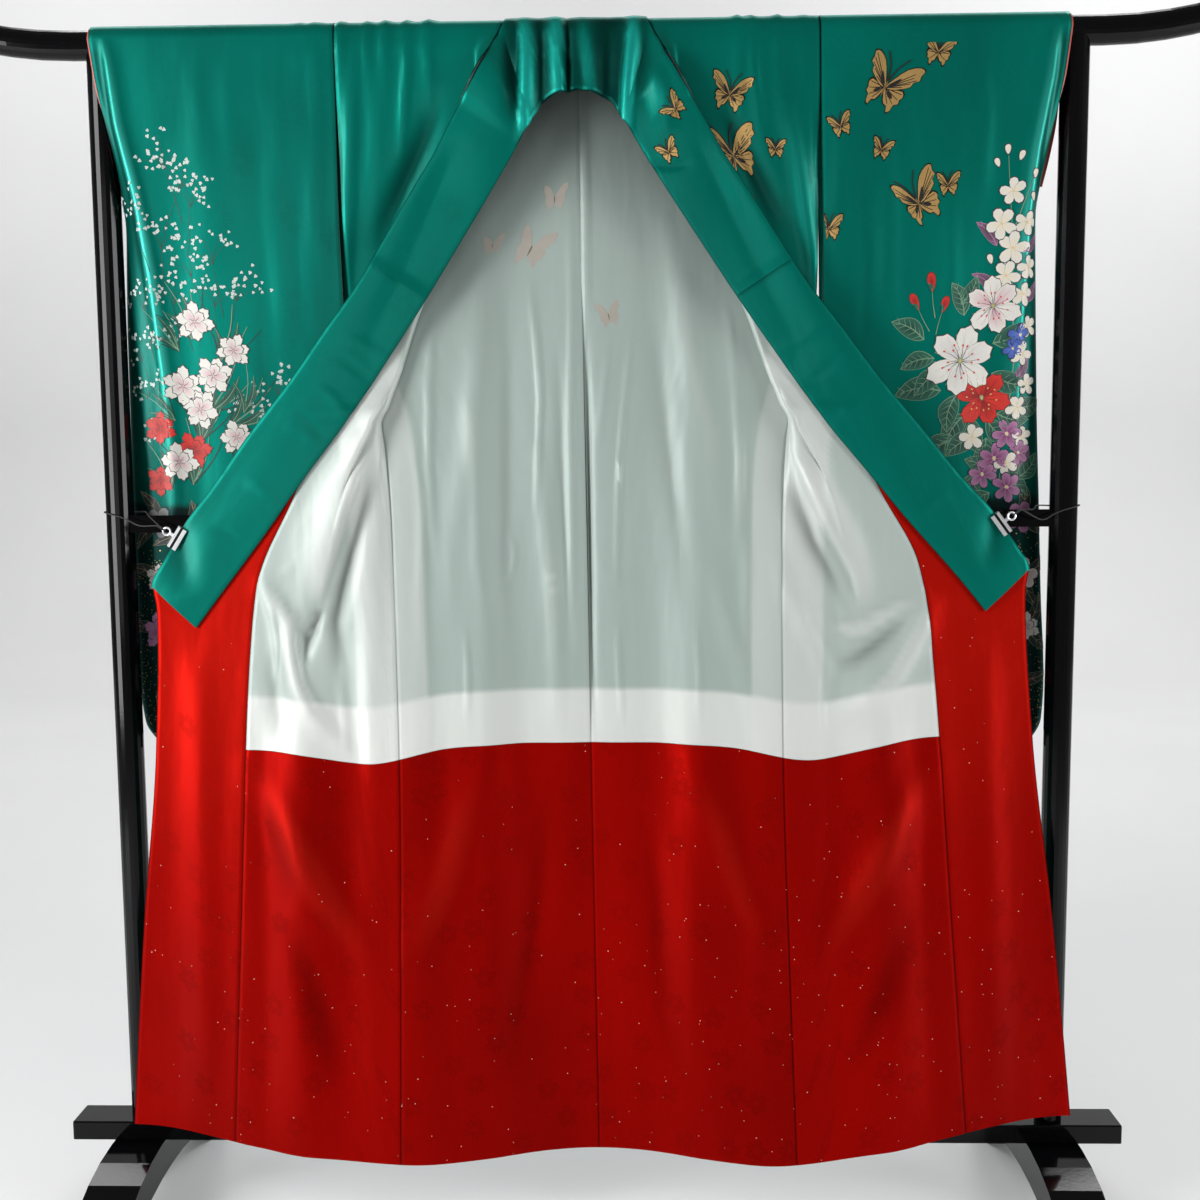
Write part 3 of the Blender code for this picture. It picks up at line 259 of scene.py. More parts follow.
SLEEVE = Table(
    "level inner ridge outer back_outer y_front y_edge y_back",
    (1.660, 0.3275, 0.6400, 0.6600, 0.6600, -0.0231, -0.0231, 0.0231),
    (1.600, 0.3275, 0.6300, 0.6520, 0.6580, -0.0235, -0.0234, 0.0242),
    (1.550, 0.3278, 0.6170, 0.6420, 0.6540, -0.0232, -0.0214, 0.0252),
    (1.500, 0.3285, 0.6080, 0.6320, 0.6450, -0.0224, -0.0160, 0.0260),
    (1.455, 0.3295, 0.6050, 0.6250, 0.6340, -0.0205, -0.0030, 0.0268),
    (1.425, 0.3300, 0.6045, 0.6245, 0.6270, -0.0180, 0.0190, 0.0276),
    (1.390, 0.3305, 0.6040, 0.6260, 0.6280, -0.0145, 0.0256, 0.0281),
    (1.250, 0.3310, 0.6000, 0.6310, 0.6325, -0.0010, 0.0275, 0.0300),
    (1.130, 0.3310, 0.5950, 0.6350, 0.6365, 0.0095, 0.0292, 0.0317),
    (1.040, 0.3310, 0.5950, 0.6390, 0.6405, 0.0158, 0.0310, 0.0335),
    (0.900, 0.3310, 0.6000, 0.6440, 0.6455, 0.0180, 0.0325, 0.0350),
    (0.770, 0.3310, 0.6050, 0.6500, 0.6515, 0.0210, 0.0335, 0.0360),
    (0.715, 0.3310, 0.6000, 0.6470, 0.6485, 0.0245, 0.0337, 0.0362),
    (0.688, 0.3310, 0.5900, 0.6340, 0.6355, 0.0300, 0.0337, 0.0362),
    (0.672, 0.3310, 0.5700, 0.6100, 0.6115, 0.0335, 0.0337, 0.0362),
)
CUFF_OPENING_LEVEL = 1.455
CUFF_LINING_SHOWS = 0.0025
LEFT_SLEEVE_REACH = Table(
    "level more",
    (1.660, 0.0),
    (1.500, 0.0020),
    (1.420, 0.0110),
    (1.250, 0.0150),
    (0.900, 0.0120),
    (0.715, 0.0060),
    (0.672, 0.0),
)
print("tables:", len(BACK.rows) + len(FRONT.rows) + len(RIM.rows) + len(SLEEVE.rows), "rows")

# %% [markdown]
# ## Folds
# The large folds are straight soft ridges and troughs. The solids have them too, a few of them deeper.
# Silk also keeps many small creases, which bend, so a second kind follows a short path of points. Both
# add a bell-shaped push towards the viewer, which is simple, smooth, and easy to place.

# %% Straight folds
# Each fold is (half and height of its top, half and height of its foot, width, depth), in metres.
BACK_FOLDS = (
    (0.020, 1.50, 0.035, 0.30, 0.028, 0.0030),
    (0.105, 1.45, 0.085, 0.20, 0.026, -0.0035),
    (0.150, 1.35, 0.140, 0.15, 0.024, 0.0045),
    (0.215, 1.15, 0.205, 0.15, 0.026, -0.0040),
)
FRONT_FOLDS = (
    (0.335, 0.90, 0.345, 0.15, 0.030, -0.0060),
    (0.400, 0.80, 0.410, 0.12, 0.028, 0.0060),
    (0.455, 0.75, 0.465, 0.12, 0.022, -0.0045),
    (0.545, 0.85, 0.560, 0.15, 0.024, 0.0055),
)
SLEEVE_FOLDS = (
    (0.375, 1.62, 0.380, 0.80, 0.022, 0.0016),
    (0.430, 1.60, 0.445, 0.85, 0.025, -0.0016),
    (0.505, 1.60, 0.500, 0.90, 0.028, 0.0018),
    (0.560, 1.50, 0.555, 0.85, 0.022, -0.0020),
)
FOLD_START = (-0.10, 0.30)
FOLD_END = (1.12, 0.30)
print("straight folds:", len(BACK_FOLDS) + len(FRONT_FOLDS) + len(SLEEVE_FOLDS))


def fold_depth(folds, half, z):
    """How far the straight folds bring points towards the viewer."""
    total = np.zeros(np.broadcast(half, z).shape)
    for half_top, z_top, half_low, z_low, width, depth in folds:
        along = (z_top - z) / (z_top - z_low)
        line = half_top + (half_low - half_top) * np.clip(along, 0.0, 1.0)
        fade = above(along, FOLD_START) * below(along, FOLD_END)
        total = total + depth * fade * np.exp(-((half - line) / width) ** 2)
    return total


# %% Creases that bend
END_FADE = 0.7


def crease_depth(creases, half, z):
    """The push of creases, given in millimetres, along paths of (half, z). Both ends fade out.

    A width of two numbers makes one flank steeper. The second is to the left of someone who walks the path.
    """
    total = np.zeros(np.broadcast(half, z).shape)
    for width, depth, points in creases:
        right_width, left_width = np.broadcast_to(width, 2) / 1000
        path = np.array(points) / 1000
        lengths = np.linalg.norm(np.diff(path, axis=0), axis=1)
        starts = np.concatenate([[0.0], np.cumsum(lengths)])
        nearest = np.full(total.shape, np.inf)
        place_along = np.zeros(total.shape)
        on_left = np.zeros(total.shape, dtype=bool)
        for (a, b), length, start in zip(zip(path, path[1:]), lengths, starts):
            step = (b - a) / length
            along = np.clip((half - a[0]) * step[0] + (z - a[1]) * step[1], 0.0, length)
            gap = np.hypot(half - a[0] - step[0] * along, z - a[1] - step[1] * along)
            closer = gap < nearest
            nearest = np.where(closer, gap, nearest)
            on_left = np.where(closer, step[0] * (z - a[1]) > step[1] * (half - a[0]), on_left)
            place_along = np.where(closer, (start + along) / starts[-1], place_along)
        fade = np.sin(np.pi * np.clip(place_along, 0.0, 1.0)) ** END_FADE
        reach = np.where(on_left, left_width, right_width)
        total = total + depth / 1000 * fade * np.exp(-(nearest / reach) ** 2)
    return total


# %% Where one shape blends into another
# A pair is where a change starts and over how much it lasts.
RISE_HALF = (0.20, 0.47)
RISE_LEVEL = (0.85, 0.75)
SAG_BELOW = (1.10, 0.40)
SAG_ABOVE = (0.12, 0.45)
LIFT_HALF = (0.20, 0.35)
LIFT_LEVEL = (1.15, 0.25)
SIDE_SEAM_OPEN = (1.12, 0.08)
BACK_FOLD_FROM = (1.62, 0.20)
EVEN_COLUMNS_FROM = (1.62, 0.35)
BELOW_COLLAR = 0.06
LAPEL_STRAIGHT = (60.0, 40.0)
COLLAR_IN_LINE = (95.0, 50.0)
COLLAR_HANGS_FROM = (1.46, 0.08)
SLEEVE_FOLDS_FROM = (1.62, 0.10)
SLEEVE_FOLDS_TO = (0.672, 0.10)
SLEEVE_BACK_TURN = 0.020
SLEEVE_BACK_FOLDS = 0.4
SLEEVE_CROWDING = 1.4
RIDGE_DRAWN_IN = 0.6
MIN_OKUMI_WIDTH = 0.004


def centre_line(z):
    share = (RAIL_Z - z) / (RAIL_Z - HEM_LEVEL)
    return CENTRE_SHIFT_TOP + (CENTRE_SHIFT_HEM - CENTRE_SHIFT_TOP) * share


def hung_height(half, level):
    """The height at which cloth cut at one level hangs: the fronts rise outwards, the lining seam sags."""
    rise = HEM_RISE * above(half, RISE_HALF) * below(level, RISE_LEVEL)
    across = np.exp(-((half - LINING_SEAM_SAG_HALF) / LINING_SEAM_SAG_WIDTH) ** 2)
    sag = LINING_SEAM_SAG * across * below(level, SAG_BELOW) * above(level, SAG_ABOVE)
    return level + rise - sag


def place(grid, side, lifts=True):
    """Points (half, y, z) of one half of the garment, in the world."""
    half, y, z = grid[..., 0], grid[..., 1], grid[..., 2]
    lift = side * RIGHT_LIFT * above(half, LIFT_HALF) * below(z, LIFT_LEVEL) if lifts else 0.0
    return np.stack([centre_line(z) + side * half, y, z + lift], axis=-1)


# %% [markdown]
# ## Creases seen in the hung silk
# These paths are given in the garment's own (half, z) sizes. The left and the right half hang
# alike but not the same, so each has a list of its own: -1 is the left half and 1 the right.

# %% Crease paths
# Each crease is (width, depth towards the viewer, path of (half, z)), in millimetres.
BACK_CREASES = {
    -1: (
        (4, 3.2, ((73, 1336), (64, 1255), (60, 1178), (65, 1089), (69, 1010))),
        (12, 4.2, ((60, 1120), (58, 1000), (50, 900), (46, 780), (50, 700))),
        (7, -3.4, ((34, 1250), (34, 1100), (30, 960), (28, 820))),
        (2.8, 2.2, ((62, 935), (50, 925), (40, 935), (28, 928))),
        (2.6, 1.8, ((56, 918), (46, 908), (34, 914))),
        (3, 1.8, ((112, 990), (100, 965), (104, 940), (118, 920))),
        (6, 3, ((205, 1300), (214, 1200), (216, 1080), (210, 960))),
        (4, 2.2, ((172, 860), (168, 800), (170, 730))),
        (5, 3, ((14, 1440), (14, 1300), (18, 1173), (20, 1000), (24, 860))),
        (18, 3.4, ((120, 1400), (140, 1240), (160, 1120), (188, 960), (196, 840))),
        (9, 2.2, ((160, 1180), (150, 1060), (152, 960), (140, 860))),
        (15, -3, ((105, 1280), (110, 1120), (118, 960), (110, 830))),
        (8, 2.2, ((236, 1120), (226, 1020), (232, 900), (226, 800))),
        (26, 7, ((150, 680), (189, 563), (214, 488), (244, 410), (262, 370))),
        (20, -4, ((60, 640), (80, 480), (110, 330), (130, 200))),
    ),
    1: (
        (3.6, 3.4, ((67, 1257), (57, 1173), (48, 1094), (44, 1006), (40, 912))),
        (6, -6, ((6, 1330), (5, 1160), (4, 980), (4, 830), (6, 700))),
        (2.6, 2, ((10, 930), (22, 938), (34, 926), (50, 932))),
        (2.6, 1.8, ((14, 908), (26, 918), (42, 912))),
        (3.6, 2.4, ((41, 860), (42, 790), (46, 720))),
        (14, 3.4, ((176, 960), (190, 880), (212, 790), (230, 720))),
        (6, 3, ((200, 1300), (210, 1200), (214, 1080), (208, 960))),
        (4, 2, ((150, 860), (154, 790), (150, 720))),
        (3.8, 1.6, ((36, 1250), (28, 1187), (19, 1110))),
        (4.8, 2.6, ((9, 1610), (9, 1480), (7, 1300), (8, 1180))),
        (18, 4.6, ((112, 1440), (134, 1323), (148, 1235), (170, 1132), (196, 970))),
        (14, -3.4, ((95, 1300), (110, 1150), (128, 1000), (140, 860))),
        (8, 2.4, ((224, 1180), (214, 1060), (222, 930), (214, 800))),
        (26, 6, ((140, 690), (176, 580), (210, 470), (250, 380))),
        (20, -4, ((70, 620), (90, 470), (100, 300), (140, 180))),
    ),
}
FRONT_CREASES = {
    -1: (
        ((6.5, 42), 12.5, ((255, 1185), (281, 1142), (306, 1087), (329, 1032), (349, 977), (366, 921),
                           (374, 888))),
        ((15, 8), -8.5, ((290, 1080), (318, 990), (340, 920), (352, 870), (346, 800))),
        (11, -8, ((366, 905), (376, 872), (390, 850), (398, 815))),
        ((8.5, 17), 9.5, ((456, 944), (430, 904), (413, 876), (410, 832), (404, 792), (387, 753),
                          (359, 719), (330, 684))),
        (4, 3.4, ((408, 896), (400, 872), (386, 861), (370, 866), (362, 880))),
        (3, 1.8, ((400, 900), (390, 880), (376, 878))),
        (4.5, 2.6, ((452, 938), (438, 890), (432, 840), (436, 790))),
        (4, 1.8, ((450, 942), (425, 940), (400, 950))),
        (18, 4, ((290, 1020), (300, 900), (306, 760), (300, 640))),
        (14, -3.5, ((440, 840), (436, 760), (424, 700))),
        (6, 2.6, ((347, 790), (341, 735), (340, 690))),
        (26, 8, ((475, 700), (430, 600), (380, 500), (330, 420), (300, 370))),
        (22, -5.5, ((420, 460), (390, 350), (360, 220))),
    ),
    1: (
        ((6.5, 36), 10.5, ((245, 1190), (268, 1145), (289, 1097), (309, 1048), (332, 999), (355, 955),
                           (370, 922), (376, 898), (366, 874), (344, 872))),
        ((16, 8), -6.5, ((285, 1060), (312, 975), (340, 915), (350, 890))),
        ((8, 14), 6.5, ((474, 896), (433, 884), (401, 867), (368, 850), (341, 856), (314, 876))),
        ((13, 18), 9, ((482, 900), (461, 857), (441, 818), (420, 784), (393, 761), (366, 744), (330, 736))),
        (14, -6, ((446, 872), (404, 836), (366, 808), (334, 800))),
        (3, 1.8, ((366, 906), (362, 890), (350, 884), (338, 890))),
        (4, 2, ((468, 898), (446, 904), (420, 912))),
        (12, 4.4, ((262, 970), (272, 915), (292, 870), (314, 825), (334, 760))),
        (5, 2.2, ((326, 800), (322, 745), (322, 700))),
        (26, 7.5, ((480, 690), (430, 590), (375, 490), (325, 410), (300, 370))),
        (22, -5.5, ((430, 460), (400, 350), (360, 230))),
    ),
}
RUN_CREASES = {
    -1: (
        (10, 5.8, ((300, 1640), (306, 1582), (311, 1519), (317, 1440), (322, 1372), (326, 1290))),
        (16, -8, ((185, 1580), (204, 1530), (228, 1484), (258, 1427), (280, 1370))),
        (5, 3.4, ((222, 1655), (230, 1610), (236, 1566), (240, 1500))),
        (12, 3, ((268, 1640), (272, 1540), (284, 1440))),
    ),
    1: (
        (11, 6.2, ((276, 1600), (285, 1539), (298, 1480), (306, 1416), (315, 1361), (320, 1290))),
        (5.5, -4, ((320, 1580), (322, 1500), (324, 1430), (325, 1360))),
        (16, -7.5, ((190, 1570), (214, 1515), (246, 1450), (276, 1390))),
        (6, 3, ((236, 1650), (240, 1590), (250, 1520))),
    ),
}
SLEEVE_CREASES = {
    -1: (
        ((12, 6), 7.2, ((648, 1760), (634, 1620), (627, 1549), (608, 1454), (597, 1350), (588, 1210),
                        (588, 960))),
        (10, 2.2, ((350, 1640), (354, 1520), (360, 1420), (352, 1300))),
        (16, 1.8, ((408, 1600), (420, 1450), (416, 1320), (430, 1200))),
        (12, 1.2, ((468, 1640), (474, 1560), (466, 1470))),
        (14, -1.4, ((380, 1500), (392, 1380), (386, 1240))),
        (12, 1.1, ((520, 1640), (516, 1560), (522, 1480))),
        (10, 1.6, ((455, 1320), (462, 1230), (450, 1120))),
    ),
    1: (
        ((12, 6), 6.6, ((650, 1760), (634, 1600), (616, 1500), (606, 1400), (600, 1250), (596, 1000))),
        (12, 2.6, ((352, 1630), (356, 1530), (350, 1420), (358, 1330))),
        (14, 3, ((402, 1560), (420, 1440), (424, 1320), (436, 1220))),
        (11, 2.2, ((452, 1640), (460, 1560), (470, 1480))),
        (14, -2.6, ((380, 1480), (392, 1360), (388, 1240))),
        (12, 2.4, ((540, 1630), (548, 1540), (542, 1430))),
        (10, 1.8, ((500, 1440), (506, 1340), (498, 1240))),
    ),
}
# Small gathers where the cloth lies over the rail: (half, width, height), in millimetres.
RAIL_GATHERS = {
    -1: ((318, 4.5, 2.8), (282, 4, 2.6), (258, 5.5, 3.2), (230, 4, 2.6), (200, 7, 3.2), (352, 6, 2.2),
         (377, 5, 1.6)),
    1: ((271, 5.5, 2.6), (237, 4.5, 2.2), (217, 5.5, 2.8), (306, 6, 1.2)),
}
print("creases:", sum(len(c) for table in (BACK_CREASES, FRONT_CREASES, RUN_CREASES, SLEEVE_CREASES)
                      for c in table.values()))


# %% Where the folds count
def below_collar(half, z):
    """0 under the collar, 1 a little way below its free edge."""
    order = np.argsort(COLLAR.rows[:, 1])
    free_z = np.interp(half, COLLAR.rows[order, 1], COLLAR.rows[order, 2])
    return smooth((free_z - z) / BELOW_COLLAR)


def seam_joined(z):
    return below(z, SIDE_SEAM_OPEN)


def body_fold(half, z, is_front):
    joined = seam_joined(z)
    back_share = joined if is_front else 1.0
    front_share = (1.0 if is_front else joined) * below_collar(half, z)
    return back_share * fold_depth(BACK_FOLDS, half, z) + front_share * fold_depth(FRONT_FOLDS, half, z)


def gather_height(side, half):
    total = np.zeros(half.shape)
    for centre, width, height in np.array(RAIL_GATHERS[side]) / 1000:
        total = total + height * np.exp(-((half - centre) / width) ** 2)
    return total


# %% [markdown]
# ## Rows of cloth
# A panel is a stack of rows. A back row runs from the side seam to the centre. A front row starts at the
# side, runs inwards, bends back towards the viewer and turns out as the lapel. Arcs are walked by their
# heading, which keeps the true length of the cloth.

# %% Back, wrap and front rows
def column_shares(level, steps):
    lengths = (FRONT.at("run", RAIL_Z), FRONT.at("bend", RAIL_Z), FRONT.at("lapel", RAIL_Z))
    whole = sum(lengths)
    shares = [0.0]
    for length, count in zip(lengths, steps):
        start = shares[-1]
        shares += [start + length / whole * (i + 1) / count for i in range(count)]
    even = np.linspace(0.0, 1.0, sum(steps) + 1)
    blend = below(level, EVEN_COLUMNS_FROM)
    return np.array(shares) * (1 - blend) + even * blend


def back_row(level, steps):
    side = BACK.at("side", level)
    share = column_shares(level, steps)
    half = side * (1 - share) + SEAM_GAP / 2 * share
    bulge = np.sin(np.minimum(half / side, 1.0) * math.pi / 2) ** 2
    y = BACK.at("y_centre", level) + (BACK.at("y_side", level) - BACK.at("y_centre", level)) * bulge
    y = y - body_fold(half, level, False) * below(level, BACK_FOLD_FROM)
    return np.stack([half, y, hung_height(half, level)], axis=-1)


def wrap_row(angle, steps):
    neck = NECK_HALF * (angle - NECK_ANGLE) / (90.0 - NECK_ANGLE)
    if angle > 90.0:
        neck = NECK_HALF + (EDGE.at("half", RAIL_Z) - NECK_HALF) * (angle - 90.0) / 90.0
    inner = max(neck, SEAM_GAP / 2)
    share = column_shares(RAIL_Z, steps)
    half = BACK.at("side", RAIL_Z) * (1 - share) + inner * share
    y = np.full(half.shape, WRAP_RADIUS * math.cos(math.radians(angle)))
    z = np.full(half.shape, RAIL_Z + WRAP_RADIUS * math.sin(math.radians(angle)))
    return np.stack([half, y, z], axis=-1)


def walk(heading, turn, length, count):
    """Steps in (half, y) along an arc, from one heading through a turn, added up."""
    headings = heading + turn * (np.arange(count) + 0.5) / count
    shrink = 1.0 if abs(turn) < 1e-6 else math.sin(turn / count / 2) / (turn / count / 2)
    step = length / count * shrink
    return np.cumsum(step * np.cos(headings)), np.cumsum(-step * np.sin(headings))


def front_start(level):
    heading = math.radians(FRONT.at("start", level))
    end = math.radians(FRONT.at("end", level))
    run = FRONT.at("run", level)
    half = BACK.at("side", level) + SEAM_GAP + run * math.cos(heading)
    y = FRONT.at("y_start", level) - run * math.sin(heading)
    step_half, step_y = walk(heading, end - heading, FRONT.at("bend", level), 1)
    return half + step_half[0], y + step_y[0], end


def lapel_depth(half, level):
    start_half, start_y, _ = front_start(level)
    rim_half = RIM.at("half", level)
    share = smooth((half - start_half) / max(rim_half - start_half, 0.01))
    return start_y + (RIM.at("y", level) - start_y) * share


def front_row(level, steps):
    run_steps, bend_steps, lapel_steps = steps
    heading = math.radians(FRONT.at("start", level))
    end = math.radians(FRONT.at("end", level))
    half = np.array([BACK.at("side", level) + SEAM_GAP])
    y = np.array([FRONT.at("y_start", level)])
    stretches = ((heading, 0.0, "run", run_steps), (heading, end - heading, "bend", bend_steps))
    for start, turn, length, count in stretches:
        step_half, step_y = walk(start, turn, FRONT.at(length, level), count)
        half = np.concatenate([half, half[-1] + step_half])
        y = np.concatenate([y, y[-1] + step_y])
    straightened = below(math.degrees(end), LAPEL_STRAIGHT)
    reach = (EDGE.at("half", level) - half[-1]) / max(math.cos(end), 0.6)
    lapel = straightened * reach + (1 - straightened) * FRONT.at("lapel", level)
    out = lapel / lapel_steps * (np.arange(lapel_steps) + 1)
    lapel_half = half[-1] + out * math.cos(end)
    lapel_y = y[-1] - out * math.sin(end)
    settled = lapel_depth(lapel_half, level)
    lapel_y = lapel_y + straightened * (settled - y[-1] - (lapel_y - y[-1]) * straightened)
    half = np.concatenate([half, lapel_half])
    y = np.concatenate([y, lapel_y])
    weight = np.full(half.shape, seam_joined(level))
    weight[run_steps + bend_steps + 1:] = straightened
    y = y - weight * body_fold(half, level, True)
    return np.stack([half, y, hung_height(half, level)], axis=-1)


# %% Okumi, collar and sleeve rows
def okumi_row(level, count):
    inner = EDGE.at("half", level) + SEAM_GAP
    outer = max(RIM.at("half", level), inner + MIN_OKUMI_WIDTH)
    half = np.linspace(inner, outer, count + 1)
    y = lapel_depth(half, level) - body_fold(half, level, True)
    return np.stack([half, y, hung_height(half, level)], axis=-1)


CAD_STEPS = (2, 3, 5)


def collar_seam_point(level):
    end = math.radians(FRONT.at("end", level))
    if level > COLLAR_POINT_LEVEL:
        half, y, _ = front_row(level, CAD_STEPS)[-1]
    else:
        end = 0.0
        half = RIM.at("half", level)
        y = lapel_depth(half, level)
    in_line = above(math.degrees(end), COLLAR_IN_LINE)
    stacked = COLLAR_STANDOFF * (1.0 - in_line)
    beside = 3.0 * SEAM_GAP * in_line
    half = half - math.sin(end) * stacked + math.cos(end) * beside
    return half, y - math.cos(end) * stacked - math.sin(end) * beside


def collar_front_row(seam_level, shares):
    seam_half, seam_y = collar_seam_point(seam_level)
    free_half = COLLAR.at("free_half", seam_level)
    free_z = COLLAR.at("free_z", seam_level)
    near_neck = above(seam_level, COLLAR_HANGS_FROM)
    row = []
    for share in shares:
        half = seam_half + (free_half - seam_half) * share
        z = seam_level + (free_z - seam_level) * share
        start_half, _, _ = front_start(z)
        on_lapel = min(lapel_depth(max(half, start_half), z), COLLAR_FREE_Y) - COLLAR_STANDOFF
        hanging = seam_y + (COLLAR_FREE_Y - COLLAR_STANDOFF - seam_y) * share
        y = on_lapel * (1 - near_neck) + hanging * near_neck
        row.append((half, y - COLLAR_BOW * math.sin(math.pi * share), z))
    return np.array(row)


def collar_neck_row(angle, shares):
    seam_half = NECK.at("seam_half", angle)
    free_half = NECK.at("free_half", angle)
    arc = math.radians(180.0 - angle) * WRAP_RADIUS
    drop = RAIL_Z - NECK.at("free_z", angle)
    lean = (-WRAP_RADIUS - COLLAR_FREE_Y + COLLAR_STANDOFF) / drop
    along = np.array(shares) * (arc + drop)
    half = seam_half + (free_half - seam_half) * np.array(shares)
    turned = math.radians(angle) + np.minimum(along, arc) / WRAP_RADIUS
    past = np.maximum(along - arc, 0.0)
    y = np.where(along < arc, WRAP_RADIUS * np.cos(turned), -WRAP_RADIUS - lean * past)
    z = np.where(along < arc, RAIL_Z + WRAP_RADIUS * np.sin(turned), RAIL_Z - past)
    return np.stack([half, y, z], axis=-1)


def sleeve_row(level, side, on_front, flat_steps, turn_steps):
    more = LEFT_SLEEVE_REACH.at("more", level) if side < 0 else 0.0
    inner = SLEEVE.at("inner", level)
    if on_front:
        corner = SLEEVE.at("ridge", level) - RIDGE_DRAWN_IN * more
        outer = SLEEVE.at("outer", level) + more
        y_flat, y_edge = SLEEVE.at("y_front", level), SLEEVE.at("y_edge", level)
        forward = 1.0
    else:
        outer = SLEEVE.at("back_outer", level) + more
        corner = outer - SLEEVE_BACK_TURN
        y_flat = y_edge = SLEEVE.at("y_back", level)
        forward = SLEEVE_BACK_FOLDS
    settled = below(level, SLEEVE_FOLDS_FROM) * above(level, SLEEVE_FOLDS_TO)
    crowded = 1.0 - (1.0 - np.linspace(0.0, 1.0, flat_steps + 1)) ** SLEEVE_CROWDING
    flat = inner + (corner - inner) * crowded
    flat_y = y_flat - forward * settled * fold_depth(SLEEVE_FOLDS, flat, level)
    share = np.linspace(0.0, 1.0, turn_steps + 1)[1:]
    turned = corner + (outer - corner) * np.sin(share * math.pi / 2)
    turned_y = y_flat + (y_edge - y_flat) * (1 - np.cos(share * math.pi / 2))
    half = np.concatenate([flat, turned])
    return np.stack([half, np.concatenate([flat_y, turned_y]), np.full(half.shape, level)], axis=-1)


print("one front row has", len(front_row(1.0, CAD_STEPS)), "points on the solid")

# %% [markdown]
# ## Walls of cloth
# A panel's grid of points becomes a closed wall between two offsets, as the solid is, but on a much
# finer grid. The wall keeps a UV map in metres, one direction along the warp and one along the weft,
# because a weave has to follow the cloth and not the room.

# %% Panels
def grid_normals(grid):
    normals = np.cross(np.gradient(grid, axis=0), np.gradient(grid, axis=1))
    normals /= np.linalg.norm(normals, axis=2, keepdims=True)
    return -normals if normals[0, 0, 1] > 0 else normals


def trim_rows(grid, first, last):
    grid = grid.copy()
    for amount, edge, inside in ((first, 0, 1), (last, -1, -2)):
        step = grid[inside] - grid[edge]
        grid[edge] = grid[edge] + step / np.linalg.norm(step, axis=1, keepdims=True) * amount
    return grid


def arc_length(grid, axis):
    steps = np.linalg.norm(np.diff(grid, axis=axis), axis=2)
    pad = [(1, 0), (0, 0)] if axis == 0 else [(0, 0), (1, 0)]
    return np.pad(np.cumsum(steps, axis=axis), pad)


class Panel:
    """A grid of points on the cloth with its normals towards the viewer and its (half, level) names."""

    def __init__(self, local, side, world=None, normals=None):
        self.local = local
        self.side = side
        self.world = place(local, side) if world is None else world
        self.normals = grid_normals(self.world) if normals is None else normals
        self.weft = arc_length(self.world, 1)
        self.warp = arc_length(self.world, 0)
        self.push = np.zeros(self.weft.shape)
        self.shade = np.zeros(self.weft.shape)

    def rows(self, chosen):
        piece = copy.copy(self)
        for name in ("local", "world", "normals", "weft", "warp", "push", "shade"):
            setattr(piece, name, getattr(self, name)[chosen])
        return piece

    def part(self, first, last):
        return self.rows(slice(first, last + 1))


# %% Walls and what is painted on them
UV_APART = 3.7
SHARP_EDGE = math.radians(50)
# Painted fold light: the push into a hollow that gives full painted shade, and the push on a crest where
# painted sheen starts.
HOLLOW_SHADE_DEPTH = 0.0090
CREST_SHEEN_FROM = (0.0025, 0.0050)


def new_object(name, data):
    obj = bpy.data.objects.new(name, data)
    bpy.context.scene.collection.objects.link(obj)
    return obj


def grid_faces(rows, columns):
    """The numbers of a grid's points, and its square faces."""
    index = np.arange(rows * columns).reshape(rows, columns)
    faces = np.stack([index[:-1, :-1], index[:-1, 1:], index[1:, 1:], index[1:, :-1]], -1).reshape(-1, 4)
    return index, faces


def number_on(mesh, name, values):
    """A number for each point of a mesh, kept as an attribute."""
    mesh.attributes.new(name, "FLOAT", "POINT").data.foreach_set("value", np.ravel(values).astype(np.float32))


def paint(wall, name, values):
    """A number for each point of a panel, on both faces of its wall."""
    number_on(wall.data, name, (values, values))


def add_wall(name, panel, low, high, material, world=None):
    """A closed wall between two offsets from a panel, with its UV map in metres."""
    points = panel.world if world is None else world
    index, corners = grid_faces(*points.shape[:2])
    count = index.size
    vertices = np.concatenate([(points + panel.normals * low).reshape(-1, 3),
                               (points + panel.normals * high).reshape(-1, 3)])
    rim = np.concatenate([index[0, :-1], index[:-1, -1], index[-1, :0:-1], index[:0:-1, 0]])
    following = np.roll(rim, -1)
    sides = np.stack([rim, following, following + count, rim + count], axis=-1)
    faces = np.concatenate([corners + count, corners[:, ::-1], sides])
    mesh = bpy.data.meshes.new(name)
    mesh.from_pydata(vertices, [], faces.tolist())
    uv = np.stack([panel.weft.ravel() + UV_APART * panel.side, panel.warp.ravel()], axis=-1)
    uv = np.concatenate([uv, uv])
    layer = mesh.uv_layers.new(name="cloth")
    loops = np.empty(len(mesh.loops), dtype=np.int32)
    mesh.loops.foreach_get("vertex_index", loops)
    layer.uv.foreach_set("vector", uv[loops].astype(np.float32).ravel())
    bm = bmesh.new()
    bm.from_mesh(mesh)
    bmesh.ops.recalc_face_normals(bm, faces=bm.faces)
    bm.to_mesh(mesh)
    bm.free()
    mesh.shade_smooth()
    mesh.set_sharp_from_angle(angle=SHARP_EDGE)
    mesh.materials.append(material)
    obj = new_object(name, mesh)
    paint(obj, "from_seam", np.minimum(panel.weft - panel.weft[:, :1], panel.weft[:, -1:] - panel.weft))
    # The hollow attribute is painted shade in fold hollows and wherever panel.shade asks for it; the crest
    # attribute is a painted highlight on fold crests.
    paint(obj, "hollow", smooth((panel.shade - panel.push) / HOLLOW_SHADE_DEPTH))
    paint(obj, "crest_sheen", above(panel.push, CREST_SHEEN_FROM))
    return obj


# %% Every finished piece rides on one body
SIDES = ((-1, "L"), (1, "R"))


def dress(obj, slot, *nodes):
    """A finished piece rides on the one body and stands for its solids, which are hidden. Its slot is not
    used.
    """
    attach(obj, "root")
    if nodes:
        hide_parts(*nodes)
    return obj


